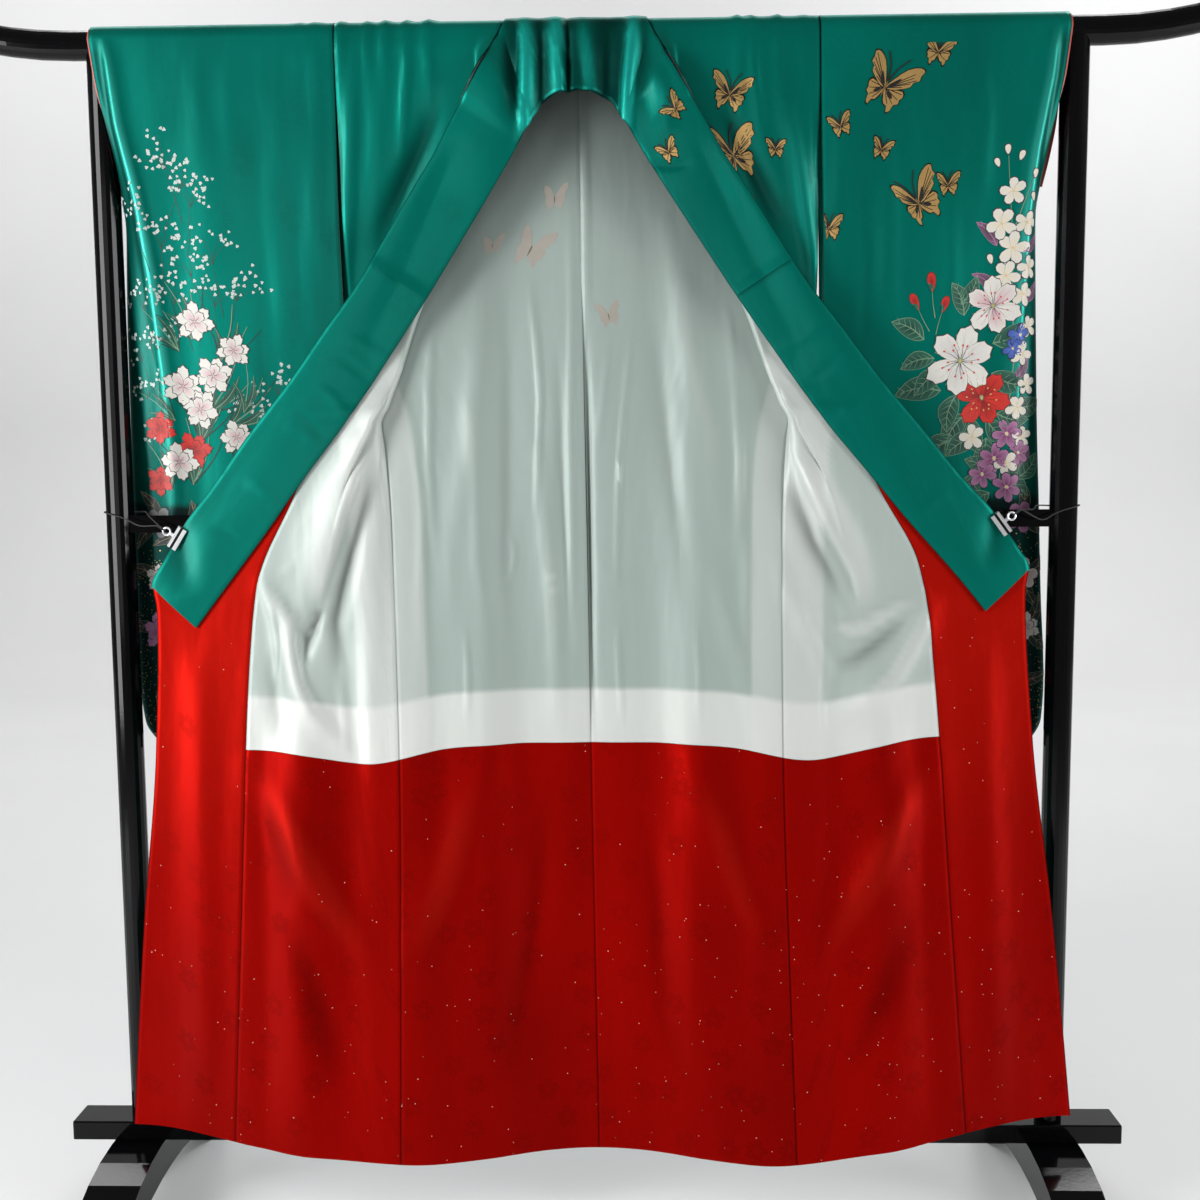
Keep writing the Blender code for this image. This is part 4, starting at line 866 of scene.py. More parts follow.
# %% [markdown]
# ## Shader maths as plain Python
# Node trees are hard to read when they are built link by link. Here a small class wraps a socket, so
# that `1 - mask` or `a * b` adds the Math nodes by itself. Colours go through Mix and Vector Math,
# because a Math node would turn them grey.

# %% Sockets that add up
class Value:
    def __init__(self, tree, socket):
        self.tree = tree
        self.socket = socket

    def _math(self, operation, *others, swap=False):
        node = self.tree.node("ShaderNodeMath", {"operation": operation})
        values = [self, *others]
        if swap:
            values.reverse()
        for target, value in zip(node.inputs, values):
            self.tree.feed(target, value)
        return self.tree.out(node)

    def __add__(self, other):
        return self._math("ADD", other)

    def __sub__(self, other):
        return self._math("SUBTRACT", other)

    def __rsub__(self, other):
        return self._math("SUBTRACT", other, swap=True)

    def __mul__(self, other):
        return self._math("MULTIPLY", other)

    __radd__ = __add__
    __rmul__ = __mul__

    def smoothstep(self, low, high):
        node = self.tree.node("ShaderNodeMapRange", {"interpolation_type": "SMOOTHSTEP"})
        for target, value in zip(node.inputs, (self, low, high, 0.0, 1.0)):
            self.tree.feed(target, value)
        return self.tree.out(node)

    def sine(self):
        return self._math("SINE")

    def cosine(self):
        return self._math("COSINE")

    def arctan2(self, other):
        return self._math("ARCTAN2", other)

    def absolute(self):
        return self._math("ABSOLUTE")


class Tree:
    """A material's node tree with one Principled shader at its end."""

    def __init__(self, name, roughness, **constants):
        self.material = bpy.data.materials.new(name)
        self.material.use_nodes = True
        self.nodes = self.material.node_tree.nodes
        self.links = self.material.node_tree.links
        self.shader = self.nodes["Principled BSDF"]
        self.shader.inputs["Roughness"].default_value = roughness
        for socket, value in constants.items():
            self.shader.inputs[socket.replace("_", " ")].default_value = value

    def feed(self, target, value):
        if isinstance(value, Value):
            self.links.new(value.socket, target)
        elif value is not None:
            target.default_value = value

    def node(self, kind, settings=None, **inputs):
        node = self.nodes.new(kind)
        for name, value in (settings or {}).items():
            setattr(node, name, value)
        for name, value in inputs.items():
            self.feed(node.inputs[name.replace("_", " ")], value)
        return node

    def out(self, node, name=0):
        return Value(self, node.outputs[name])

    def uv(self):
        return self.out(self.node("ShaderNodeUVMap", {"uv_map": "cloth"}), "UV")

    def place(self, scale=(1.0, 1.0, 1.0)):
        return self.mapped(self.out(self.node("ShaderNodeTexCoord"), "Object"), scale)

    def mapped(self, vector, scale):
        return self.out(self.node("ShaderNodeMapping", Vector=vector, Scale=scale))

    def axes(self, vector):
        node = self.node("ShaderNodeSeparateXYZ", Vector=vector)
        return [self.out(node, i) for i in range(3)]

    def attribute(self, name, output="Fac"):
        return self.out(self.node("ShaderNodeAttribute", {"attribute_name": name}), output)

    def noise(self, vector, scale, detail=3.0, roughness=0.5, distortion=0.0):
        node = self.node("ShaderNodeTexNoise", Vector=vector, Scale=scale, Detail=detail,
                         Roughness=roughness, Distortion=distortion)
        return self.out(node, "Fac")

    def mix(self, share, first, second, blend="MIX"):
        node = self.node("ShaderNodeMix", {"data_type": "RGBA", "blend_type": blend})
        for index, value in ((0, share), (6, first), (7, second)):
            if isinstance(value, tuple):
                value = (*value, 1.0)
            self.feed(node.inputs[index], value)
        return self.out(node, 2)

    def bump(self, height, strength, distance, normal=None):
        node = self.node("ShaderNodeBump", Strength=strength, Distance=distance, Height=height, Normal=normal)
        return self.out(node)

    def finish(self, colour, roughness, normal=None, metallic=None):
        """What changes over the surface goes to the shader. The rest was set when the tree was made."""
        wanted = {"Base Color": colour, "Roughness": roughness, "Normal": normal, "Metallic": metallic}
        for name, value in wanted.items():
            self.feed(self.shader.inputs[name], value)
        return self.material


print("the shader helpers know", len([name for name in dir(Value) if not name.startswith("__")]), "moves")

# %% [markdown]
# ## The elastic cords
# Two thin black elastics hold the fronts open. Each starts at a knot behind a post, runs round the post's
# front to the clip's ring, goes through it, and comes back over the middle rail to the knot. They are
# pulled straight, so their route is a short list of points that a smooth curve joins.

# %% Where the clips sit
POST_X = 0.663
CLIP_LEVEL = 0.993
CLIP_LENGTH = 0.032
CLIP_GAP = 0.0006
CLIP_FRONT = -COLLAR_STANDOFF - COLLAR_CLOTH / 2 - 2 * CLIP_GAP
CLIP_BACK = OUTER_CLOTH / 2 + CLIP_GAP
CLIP_MIDDLE = (CLIP_FRONT + CLIP_BACK) / 2
RING_OUT = 0.0165


def clip_frame(side):
    """The clip's place on the collar seam: centre, the seam's direction and the way out of the cloth."""
    ends = []
    for level in (CLIP_LEVEL + CLIP_LENGTH / 2, CLIP_LEVEL - CLIP_LENGTH / 2):
        point = np.array([RIM.at("half", level), RIM.at("y", level), level])
        ends.append(Vector(place(point, side)))
    upper, lower = ends
    along = lower - upper
    along.y = 0.0
    along.normalize()
    out = Vector((side * -along.z, 0.0, side * along.x))
    return (upper + lower) / 2, along, out


def ring_centre(side):
    centre, _, out = clip_frame(side)
    return centre + out * RING_OUT + Vector((0, CLIP_MIDDLE, 0))


print("clips at height", [round(clip_frame(side)[0].z, 3) for side, _ in SIDES])


# %% The cords' route, in metres from the post's axis or from the ring's centre
CORD_RADIUS = 0.0010
CORD_STEP = 0.0060
CORD_LEVEL = 1.0215
CORD_ROUND_POST = (
    (0.0085, 0.0193, 0.0006),
    (0.0155, 0.0144, 0.0010),
    (0.0206, 0.0050, 0.0012),
    (0.0206, -0.0050, 0.0008),
    (0.0155, -0.0144, 0.0000),
    (0.0065, -0.0203, -0.0020),
    (-0.0060, -0.0223, -0.0050),
    (-0.0220, -0.0272, -0.0110),
    (-0.0400, -0.0335, -0.0180),
)
CORD_THROUGH_RING = (
    (0.0150, -0.0040),
    (0.0100, -0.0041),
    (0.0066, -0.0040),
    (0.0038, -0.0028),
    (0.0026, 0.0000),
    (0.0038, 0.0028),
    (0.0066, 0.0040),
    (0.0100, 0.0042),
    (0.0140, 0.0046),
)
CORD_OVER_MIDDLE_RAIL = (
    (-0.0480, -0.0220, -0.0040),
    (-0.0430, -0.0140, 0.0000),
    (-0.0350, 0.0000, 0.0008),
    (-0.0250, 0.0125, 0.0006),
    (-0.0120, 0.0195, 0.0000),
    (-0.0030, 0.0211, -0.0004),
    (0.0021, 0.0214, -0.0004),
)


def from_post(side, offsets):
    return [Vector((side * (POST_X + a), y, CORD_LEVEL + rise)) for a, y, rise in offsets]


def cord_route(side):
    _, _, out = clip_frame(side)
    ring = ring_centre(side)
    through_ring = [ring + out * a + Vector((0, y, 0)) for a, y in CORD_THROUGH_RING]
    return from_post(side, CORD_ROUND_POST) + through_ring + from_post(side, CORD_OVER_MIDDLE_RAIL)


def between(before, start, end, after, t):
    """A point of the smooth curve from start (t is 0) to end (t is 1), given their neighbours."""
    bend = 2 * before - 5 * start + 4 * end - after
    twist = 3 * start - before - 3 * end + after
    return (2 * start + (end - before) * t + bend * t ** 2 + twist * t ** 3) / 2


def smooth_curve(points, step):
    """Points about one step apart on a smooth curve through the given ones."""
    ends = [2 * points[0] - points[1]] + points + [2 * points[-1] - points[-2]]
    curve = []
    for four in zip(ends, ends[1:], ends[2:], ends[3:]):
        count = max(1, round((four[2] - four[1]).length / step))
        curve += [between(*four, i / count) for i in range(count)]
    return curve + [points[-1]]


# %% Elastic cords
def refinish(node, material):
    """Another finish for a solid that stays."""
    solid = bpy.data.objects[node]
    solid.data.materials.clear()
    solid.data.materials.append(material)
    return solid


def elastic_material():
    tree = Tree("braided black elastic", 0.6)
    rib = tree.out(tree.node("ShaderNodeTexWave", {"bands_direction": "DIAGONAL"}, Vector=tree.place(),
                             Scale=700.0, Distortion=0.6, Detail=1.0), "Fac")
    fuzz = tree.noise(tree.place(), 1200.0)
    colour = tree.mix(rib * 0.6 + fuzz * 0.4, (0.006, 0.006, 0.007), (0.030, 0.029, 0.031))
    return tree.finish(colour, rib * 0.15 + 0.5, tree.bump(rib, 0.6, 0.0002))


elastic = elastic_material()
for side, suffix in SIDES:
    curve = bpy.data.curves.new("elastic_" + suffix, "CURVE")
    curve.dimensions = "3D"
    curve.bevel_depth = CORD_RADIUS
    curve.bevel_resolution = 2
    curve.use_fill_caps = True
    route = smooth_curve(cord_route(side), CORD_STEP)
    spline = curve.splines.new("POLY")
    spline.points.add(len(route) - 1)
    for target, point in zip(spline.points, route):
        target.co = (*point, 1.0)
    curve.materials.append(elastic)
    cord = dress(new_object("elastic_" + suffix, curve), "black_elastic", "elastic_cord_" + suffix)
    knot = refinish("knot_" + suffix, elastic)
    measured = sum((b - a).length for a, b in zip(route, route[1:]))
    print("elastic", suffix, "length", round(measured, 4))

# %% [markdown]
# ## Satin, lining and lacquer
# Silk satin has long floating threads: it is smooth along them, so light lies on it in broad soft bands.
# Fine noise stretched along the warp gives it that grain. The flowers woven into the cloth are the same
# colour as the ground and only show by being a little duller, so they go into roughness first.

# %% Flowers woven in the same colour
def woven_flowers(tree, uv, size):
    """A mask of small five-petalled flowers, each in its own cell and turned at random."""
    scaled = tree.mapped(uv, (1.0 / size, 1.0 / size, 1.0))
    cell = tree.node("ShaderNodeTexVoronoi", {"voronoi_dimensions": "2D"}, Vector=scaled, Scale=1.0,
                     Randomness=0.85)
    local = tree.node("ShaderNodeVectorMath", {"operation": "SUBTRACT"})
    tree.feed(local.inputs[0], scaled)
    tree.feed(local.inputs[1], tree.out(cell, "Position"))
    x, y, _ = tree.axes(tree.out(local))
    chance = tree.axes(tree.out(cell, "Color"))
    angle = y.arctan2(x) + chance[0] * 6.28
    distance = tree.out(cell, "Distance")
    edge = (angle * 2.5).cosine().absolute() * 0.13 + 0.17
    petals = (edge - distance).smoothstep(0.0, 0.03)
    hollow = (distance - 0.06).smoothstep(0.0, 0.02)
    vein = ((angle * 2.5).sine().absolute() - 0.12).smoothstep(0.0, 0.2)
    return petals * (hollow * 0.7 + 0.3) * (vein * 0.6 + 0.4) * (chance[1] - 0.25).smoothstep(0.0, 0.1)


SEAM_LINE = 0.0022
PUCKER_REACH = 0.035


def painted_fold_light(tree, colour, dark, light, darken=0.75, lighten=0.45):
    """Painted shade in the hollows of folds and a painted highlight along their crests."""
    colour = tree.mix(tree.attribute("hollow") * darken, colour, dark)
    return tree.mix(tree.attribute("crest_sheen") * lighten, colour, light)


def seam_line(tree):
    """1 on the fine dark line where two widths of cloth meet, 0 a few millimetres away."""
    return 1.0 - tree.attribute("from_seam").smoothstep(0.0, SEAM_LINE)


def silk_relief(tree, uv, grain, sway):
    """Grain along the warp, the slow unevenness of hung silk, and small puckers beside the seams."""
    threads = tree.noise(tree.mapped(uv, (1400.0, 160.0, 1.0)), 1.0, detail=2.0)
    slow = tree.noise(tree.mapped(uv, (26.0, 7.0, 1.0)), 1.0, detail=2.0, roughness=0.45)
    from_seam = tree.attribute("from_seam")
    near = 1.0 - from_seam.smoothstep(0.0, PUCKER_REACH)
    pucker = tree.noise(tree.mapped(uv, (18.0, 55.0, 1.0)), 1.0, detail=1.0) * near * near
    hollow = from_seam.smoothstep(0.0, 2.5 * SEAM_LINE)
    soft = tree.bump(slow + pucker * 0.35, sway, 0.0035)
    return tree.bump(threads, grain, 0.00025, tree.bump(hollow, 0.6, 0.0012, soft))


# %% Green satin, with its dark ground on the lower sleeves
GREEN_DEEP = (0.0001, 0.105, 0.078)
GREEN_CLEAR = (0.0002, 0.190, 0.142)
SUMI_BLACK = (0.006, 0.006, 0.007)
TURNED_AWAY_SHADE = (0.0, 0.030, 0.024)


# sheen is the colour of the highlight painted on fold crests; darken and lighten set how strongly fold shade
# and sheen are painted.
def green_satin(name, flower_size=0.085, dark_ground=False, darken=0.75, lighten=0.45,
                sheen=(0.010, 0.330, 0.270)):
    tree = Tree(name, 0.40, Metallic=0.42, Specular_IOR_Level=0.4, Specular_Tint=(0.06, 1.0, 0.88, 1.0),
                Sheen_Weight=0.03, Sheen_Roughness=0.3, Sheen_Tint=(0.02, 1.0, 0.85, 1.0),
                Coat_Weight=0.10, Coat_Roughness=0.25)
    uv = tree.uv()
    cloud = tree.noise(tree.mapped(uv, (5.0, 2.0, 1.0)), 1.0)
    flowers = woven_flowers(tree, uv, flower_size)
    # The slow cloud, stretched along the warp, makes broad bands of clearer and deeper green: partly uneven
    # dye, partly painted sheen. The woven flowers are a little deeper.
    colour = tree.mix((cloud - 0.5) * 1.9 + flowers * 0.12 + 0.40, GREEN_CLEAR, GREEN_DEEP)
    if dark_ground:
        ragged = tree.noise(tree.mapped(uv, (16.0, 12.0, 1.0)), 1.0, detail=5.0)
        dark = (tree.attribute("dark_ground") + ragged * 0.5 - 0.25).smoothstep(0.42, 0.60)
        colour = tree.mix(dark, colour, SUMI_BLACK)
        # Painted shade on the strip of the sleeve's front that turns back past its ridge.
        colour = tree.mix(tree.attribute("turned") * 0.65, colour, TURNED_AWAY_SHADE)
    colour = painted_fold_light(tree, colour, (0.0, 0.020, 0.015), sheen, darken, lighten)
    colour = tree.mix(seam_line(tree) * 0.7, colour, (0.0, 0.012, 0.010))
    roughness = flowers * 0.06 + cloud * 0.06 + 0.36
    return tree.finish(colour, roughness, silk_relief(tree, uv, 0.25, 0.35))


# %% White lining, red lining and the pink edge
VEILED_WHITE = (0.350, 0.425, 0.395)
CLEAR_WHITE = (0.690, 0.710, 0.680)


def white_lining():
    tree = Tree("white lining silk", 0.46, Metallic=0.15, Specular_IOR_Level=0.4)
    uv = tree.uv()
    cloud = tree.noise(tree.mapped(uv, (6.0, 1.6, 1.0)), 1.0)
    veil = (tree.attribute("veil") + cloud * 0.20 - 0.10).smoothstep(-0.05, 1.05)
    colour = painted_fold_light(tree, tree.mix(veil, CLEAR_WHITE, VEILED_WHITE), (0.085, 0.100, 0.090), CLEAR_WHITE)
    colour = tree.mix(tree.attribute("shade"), colour, (0.060, 0.078, 0.070))
    colour = tree.mix(seam_line(tree) * 0.45, colour, (0.10, 0.12, 0.11))
    return tree.finish(colour, cloud * 0.10 + 0.40, silk_relief(tree, uv, 0.22, 0.65))


def red_lining():
    tree = Tree("red lining silk", 0.45, Metallic=0.45, Specular_IOR_Level=0.35,
                Specular_Tint=(1.0, 0.06, 0.03, 1.0), Sheen_Weight=0.03, Sheen_Tint=(1.0, 0.06, 0.03, 1.0))
    uv = tree.uv()
    cloud = tree.noise(tree.mapped(uv, (5.0, 2.0, 1.0)), 1.0)
    flowers = woven_flowers(tree, uv, 0.060)
    # A slow cloud makes the red darker and lighter at random, and the woven flowers a little darker.
    mottle = (cloud - 0.5) * 1.5 + flowers * 0.24 + 0.30
    colour = tree.mix(mottle, (0.330, 0.0016, 0.0008), (0.180, 0.0008, 0.0004))
    colour = tree.mix(tree.attribute("lit"), colour, (0.620, 0.0120, 0.0050))
    colour = painted_fold_light(tree, colour, (0.055, 0.0003, 0.0002), (0.450, 0.012, 0.006), 0.6, 0.35)
    colour = tree.mix(seam_line(tree) * 0.75, colour, (0.030, 0.0002, 0.0002))
    roughness = flowers * 0.10 + cloud * 0.06 + 0.38
    return tree.finish(colour, roughness, silk_relief(tree, uv, 0.22, 0.45))


def pink_edge():
    tree = Tree("pink edge silk", 0.45, Sheen_Weight=0.2)
    uv = tree.uv()
    cloud = tree.noise(tree.mapped(uv, (40.0, 12.0, 1.0)), 1.0)
    colour = tree.mix(cloud, (0.62, 0.13, 0.10), (0.50, 0.06, 0.05))
    return tree.finish(colour, cloud * 0.1 + 0.4, silk_relief(tree, uv, 0.3, 0.2))


# %% Lacquer and chrome
def lacquer():
    tree = Tree("black lacquer", 0.10, Specular_IOR_Level=0.22)
    place_on = tree.place()
    cloud = tree.noise(place_on, 6.0, detail=4.0)
    dust = (tree.noise(place_on, 900.0, detail=1.0) - 0.72).smoothstep(0.0, 0.08)
    colour = tree.mix(dust, (0.0016, 0.0016, 0.0020), (0.020, 0.020, 0.022))
    peel = tree.noise(place_on, 160.0, detail=1.0)
    return tree.finish(colour, cloud * 0.10 + dust * 0.2 + 0.06, tree.bump(peel, 0.05, 0.0004))


CLIP_GROOVE_OUT = -0.0012
CLIP_GROOVE_HALF = 0.0022


def chrome(name, side):
    """Bright plating, with a painted shadow line along the gap between the clip's two bars."""
    tree = Tree(name, 0.20, Metallic=0.72)
    centre, _, out = clip_frame(side)
    x, _, z = tree.axes(tree.place())
    across = x * out.x + z * out.z - (centre.dot(out) + CLIP_GROOVE_OUT)
    # Painted shade along the gap between the clip's two bars.
    groove_shade = 1.0 - across.absolute().smoothstep(CLIP_GROOVE_HALF * 0.7, CLIP_GROOVE_HALF)
    rubbed = tree.noise(tree.place((300.0, 300.0, 2500.0)), 1.0)
    haze = tree.noise(tree.place(), 220.0, detail=3.0)
    plating = tree.mix(haze, (0.93, 0.94, 0.95), (0.80, 0.81, 0.83))
    colour = tree.mix(groove_shade, plating, (0.012, 0.012, 0.013))
    return tree.finish(colour, rubbed * 0.16 + 0.22, tree.bump(rubbed, 0.08, 0.00005))


# The sheen colours given here are painted highlights on the fold crests.
satin = green_satin("green satin")
collar_satin = green_satin("green collar satin", 0.070, darken=0.92, lighten=0.70,
                           sheen=(0.014, 0.440, 0.370))
sleeve_satin = green_satin("green satin with a dark ground", dark_ground=True, lighten=0.75,
                           sheen=(0.055, 0.540, 0.450))
lining, scarlet, pink, black = white_lining(), red_lining(), pink_edge(), lacquer()
print("finishes:", len(bpy.data.materials))

# %% [markdown]
# ## The body panels
# Each half of the body is one length of silk: up the back, over the rail and down the front. Its lining
# is white down to the knee and red below, and lies on the same points, so no fold can push one layer
# through the other. Where green shows through the thin white lining, the lining is painted darker.

# %% Levels of the fine rows
def levels(low, high, step):
    return np.linspace(low, high, round((high - low) / step) + 1)


def row_at(rows, level):
    return int(np.argmin(np.abs(rows - level)))


BODY_STEPS = (34, 14, 34)
ROW_STEP = 0.0090
LOWER_LEVELS = levels(HEM_LEVEL, LINING_SEAM_LEVEL, ROW_STEP)
BACK_LEVELS = np.concatenate([LOWER_LEVELS, levels(LINING_SEAM_LEVEL, 1.600, ROW_STEP)[1:]])
FRONT_LEVELS = np.concatenate([levels(LINING_SEAM_LEVEL, 1.640, ROW_STEP)[::-1], LOWER_LEVELS[-2::-1]])
WRAP_ANGLES = np.linspace(0.0, 180.0, 17)
BACK_SEAM_ROW = row_at(BACK_LEVELS, LINING_SEAM_LEVEL)
BODY_FRONT_ROW = len(BACK_LEVELS) + len(WRAP_ANGLES)
FRONT_SEAM_ROW = BODY_FRONT_ROW + row_at(FRONT_LEVELS, LINING_SEAM_LEVEL)
RUN_FADE_COLUMNS = 8.0
RUN_CREASES_FROM = (1.655, 0.03)
GATHERS_FADE = 0.075
print("rows of one body panel:", BODY_FRONT_ROW + len(FRONT_LEVELS))


def gathers_at(level):
    return np.exp(-((RAIL_Z - level) / GATHERS_FADE) ** 2)


# %% One half of the body
def body_panel(side):
    """Rows up the back, over the rail and down the front, with the creases of each pushed in."""
    columns = sum(BODY_STEPS) + 1
    run_columns = np.arange(BODY_STEPS[0] + 1)
    none = np.zeros(columns)
    rows, shares, outward, gathers = [], [], [], []
    for level in BACK_LEVELS:
        rows.append(back_row(level, BODY_STEPS))
        settled = float(below(level, BACK_FOLD_FROM))
        in_front = settled * seam_joined(level) * below_collar(rows[-1][:, 0], level)
        shares.append((np.full(columns, settled), in_front, none))
        outward.append((-1.0, 0.0))
        gathers.append(-gathers_at(level))
    for angle in WRAP_ANGLES:
        rows.append(wrap_row(angle, BODY_STEPS))
        shares.append((none, none, none))
        outward.append((math.cos(math.radians(angle)), math.sin(math.radians(angle))))
        gathers.append(1.0)
    for level in FRONT_LEVELS:
        rows.append(front_row(level, BODY_STEPS))
        joined = float(seam_joined(level))
        weight = np.full(columns, joined)
        weight[BODY_STEPS[0] + BODY_STEPS[1] + 1:] = float(below(FRONT.at("end", level), LAPEL_STRAIGHT))
        run = none.copy()
        run[:len(run_columns)] = smooth((BODY_STEPS[0] - run_columns) / RUN_FADE_COLUMNS)
        run = run * (1.0 - joined) * float(below(level, RUN_CREASES_FROM))
        shares.append((weight * joined, weight * below_collar(rows[-1][:, 0], level), run))
        outward.append((-1.0, 0.0))
        gathers.append(gathers_at(level))
    local = np.array(rows)
    half, z = local[..., 0], local[..., 2]
    tables = (BACK_CREASES, FRONT_CREASES, RUN_CREASES)
    push = sum(share * crease_depth(table[side], half, z)
               for share, table in zip(np.array(shares).transpose(1, 0, 2), tables))
    lift = np.array(gathers)[:, None] * gather_height(side, half)
    out_y, out_z = np.array(outward).T[..., None]
    local[..., 1] += out_y * lift - push
    local[..., 2] += out_z * lift
    panel = Panel(local, side)
    panel.push = push
    return panel


# %% How strongly green shows through the white lining
STRIP_ON_BACK = 0.046
STRIP_ON_FRONT = 0.060
STRIP_EDGE = 0.007
STRIP_BELOW = (1.40, 0.20)
STRIP_HIDES = 0.42
BAND_ABOVE_SEAM = 0.080
BAND_EDGE = 0.005
BAND_HIDES = 0.80
FRONT_VEIL = 0.75


def veil_of(part, is_front):
    """1 where the thin lining lies straight on the green, 0 where seam allowances back it."""
    half, z = part.local[..., 0], part.local[..., 2]
    strip = np.where(is_front, STRIP_ON_FRONT, STRIP_ON_BACK)
    in_strip = smooth((strip - np.abs(half - half[:, :1])) / STRIP_EDGE) * below(z, STRIP_BELOW)
    sag = hung_height(half, np.full(half.shape, LINING_SEAM_LEVEL)) - LINING_SEAM_LEVEL
    in_band = smooth((LINING_SEAM_LEVEL + BAND_ABOVE_SEAM + sag - z) / BAND_EDGE)
    veil = (1.0 - STRIP_HIDES * in_strip) * (1.0 - BAND_HIDES * in_band)
    return np.where(is_front, veil * FRONT_VEIL, veil)


# %% Shade on the lining under the neck, and on its front edge where the collar hides it
NECK_SHADE_FROM = (1.36, 0.22)
NECK_SHADE_DEPTH = 0.62
SHOULDER_SHADE_FROM = (1.10, 0.35)
SHOULDER_SHADE_HALF = (0.02, 0.16)
SHOULDER_SHADE_DEPTH = 0.25
HIDDEN_EDGE = 0.012
HIDDEN_EDGE_BLUR = 0.006
HIDDEN_FROM = (1.45, 0.04)


def neck_shade(part, is_front):
    half, z = part.local[..., 0], part.local[..., 2]
    shoulder = SHOULDER_SHADE_DEPTH * above(half, SHOULDER_SHADE_HALF) * above(z, SHOULDER_SHADE_FROM)
    under_neck = NECK_SHADE_DEPTH * above(z, NECK_SHADE_FROM) + shoulder
    to_edge = part.weft - part.weft[:, -1:]
    hidden = smooth((to_edge + HIDDEN_EDGE) / HIDDEN_EDGE_BLUR) * above(z, HIDDEN_FROM)
    return np.where(is_front, hidden, under_neck)


# %% Build both halves
FOLDED_LEVEL = 0.90
FOLDED_SPAN = 0.24
LINING_TRIM = 0.0003
body_panels = {}
for side, suffix in SIDES:
    panel = body_panel(side)
    body_panels[side] = panel
    total = len(panel.local)
    hooked = np.flatnonzero(np.abs(panel.local[:, 0, 2] - FOLDED_LEVEL) < FOLDED_SPAN)
    thinned = np.unique(np.concatenate([np.arange(0, total, 2), hooked, [total - 1]]))
    outer = panel.rows(thinned)
    body = add_wall("body_silk_" + suffix, outer, -OUTER_CLOTH / 2, OUTER_CLOTH / 2, satin)
    dress(body, "green_silk", "body_" + suffix)
    pieces = (
        ("white_lining_", "body_lining_", BACK_SEAM_ROW, FRONT_SEAM_ROW, lining, "white_lining_silk"),
        ("red_lining_back_", "hakkake_back_", 0, BACK_SEAM_ROW, scarlet, "red_lining_silk"),
        ("red_lining_front_", "hakkake_front_", FRONT_SEAM_ROW, total - 1, scarlet, "red_lining_silk"),
    )
    for name, node, first, last, material, slot in pieces:
        part = panel.part(first, last)
        trims = (LINING_TRIM if first else 0.0, LINING_TRIM if last < total - 1 else 0.0)
        trimmed = trim_rows(part.world, *trims)
        wall = add_wall(name + suffix, part, LINING_INNER, LINING_OUTER, material, trimmed)
        if node == "body_lining_":
            is_front = np.arange(first, last + 1)[:, None] >= BODY_FRONT_ROW
            paint(wall, "veil", veil_of(part, is_front))
            paint(wall, "shade", neck_shade(part, is_front))
        dress(wall, slot, node + suffix)
    print("body", suffix, "points", panel.local.shape[:2], "length", round(float(panel.warp[-1, 0]), 3))

# %% [markdown]
# ## The okumi
# A narrow extra length is sewn to each front so that the fronts can overlap. It widens from the collar
# point to the hem. It is lined in red along its whole length here, as it shows beside the collar.

# %% Okumi panels
OKUMI_COLUMNS = 25
OKUMI_LIT = 0.40
OKUMI_LIT_FROM = (0.45, 0.40)
okumi_panels = {}
okumi_levels = np.concatenate([levels(LINING_SEAM_LEVEL, COLLAR_POINT_LEVEL - 0.01, ROW_STEP)[::-1],
                               LOWER_LEVELS[-2::-1]])
for side, suffix in SIDES:
    local = np.array([okumi_row(level, OKUMI_COLUMNS) for level in okumi_levels])
    half, z = local[..., 0], local[..., 2]
    local[..., 1] -= below_collar(half, okumi_levels[:, None]) * crease_depth(FRONT_CREASES[side], half, z)
    panel = Panel(local, side)
    okumi_panels[side] = panel
    outer = add_wall("okumi_silk_" + suffix, panel, -OUTER_CLOTH / 2, OUTER_CLOTH / 2, satin)
    inner = add_wall("okumi_red_lining_" + suffix, panel, LINING_INNER, LINING_OUTER, scarlet)
    paint(inner, "lit", OKUMI_LIT * above(panel.local[..., 2], OKUMI_LIT_FROM))
    dress(outer, "green_silk", "okumi_" + suffix)
    dress(inner, "red_lining_silk", "okumi_lining_" + suffix)
    print("okumi", suffix, "length", round(float(panel.warp[-1, 0]), 3))

# %% [markdown]
# ## The collar and the over-collar
# The collar is a long double band from one front round the neck to the other, and the over-collar is a
# second layer on its middle, with its two ends a little loose. Both stand a little off the lapel. Their
# rows run across the band. Wide soft hollows lie beside the clips, and the neck is painted in shade.

# %% Collar panels
COLLAR_COLUMNS = np.linspace(0.0, 1.0, 19)
COLLAR_ROW_STEP = 0.0046
NECK_ROW_DEGREES = 2.0
NECK_SHADE = 0.0066
NECK_SHADE_HALF = (0.115, 0.03)
NECK_SHADE_LEVEL = (1.50, 0.10)
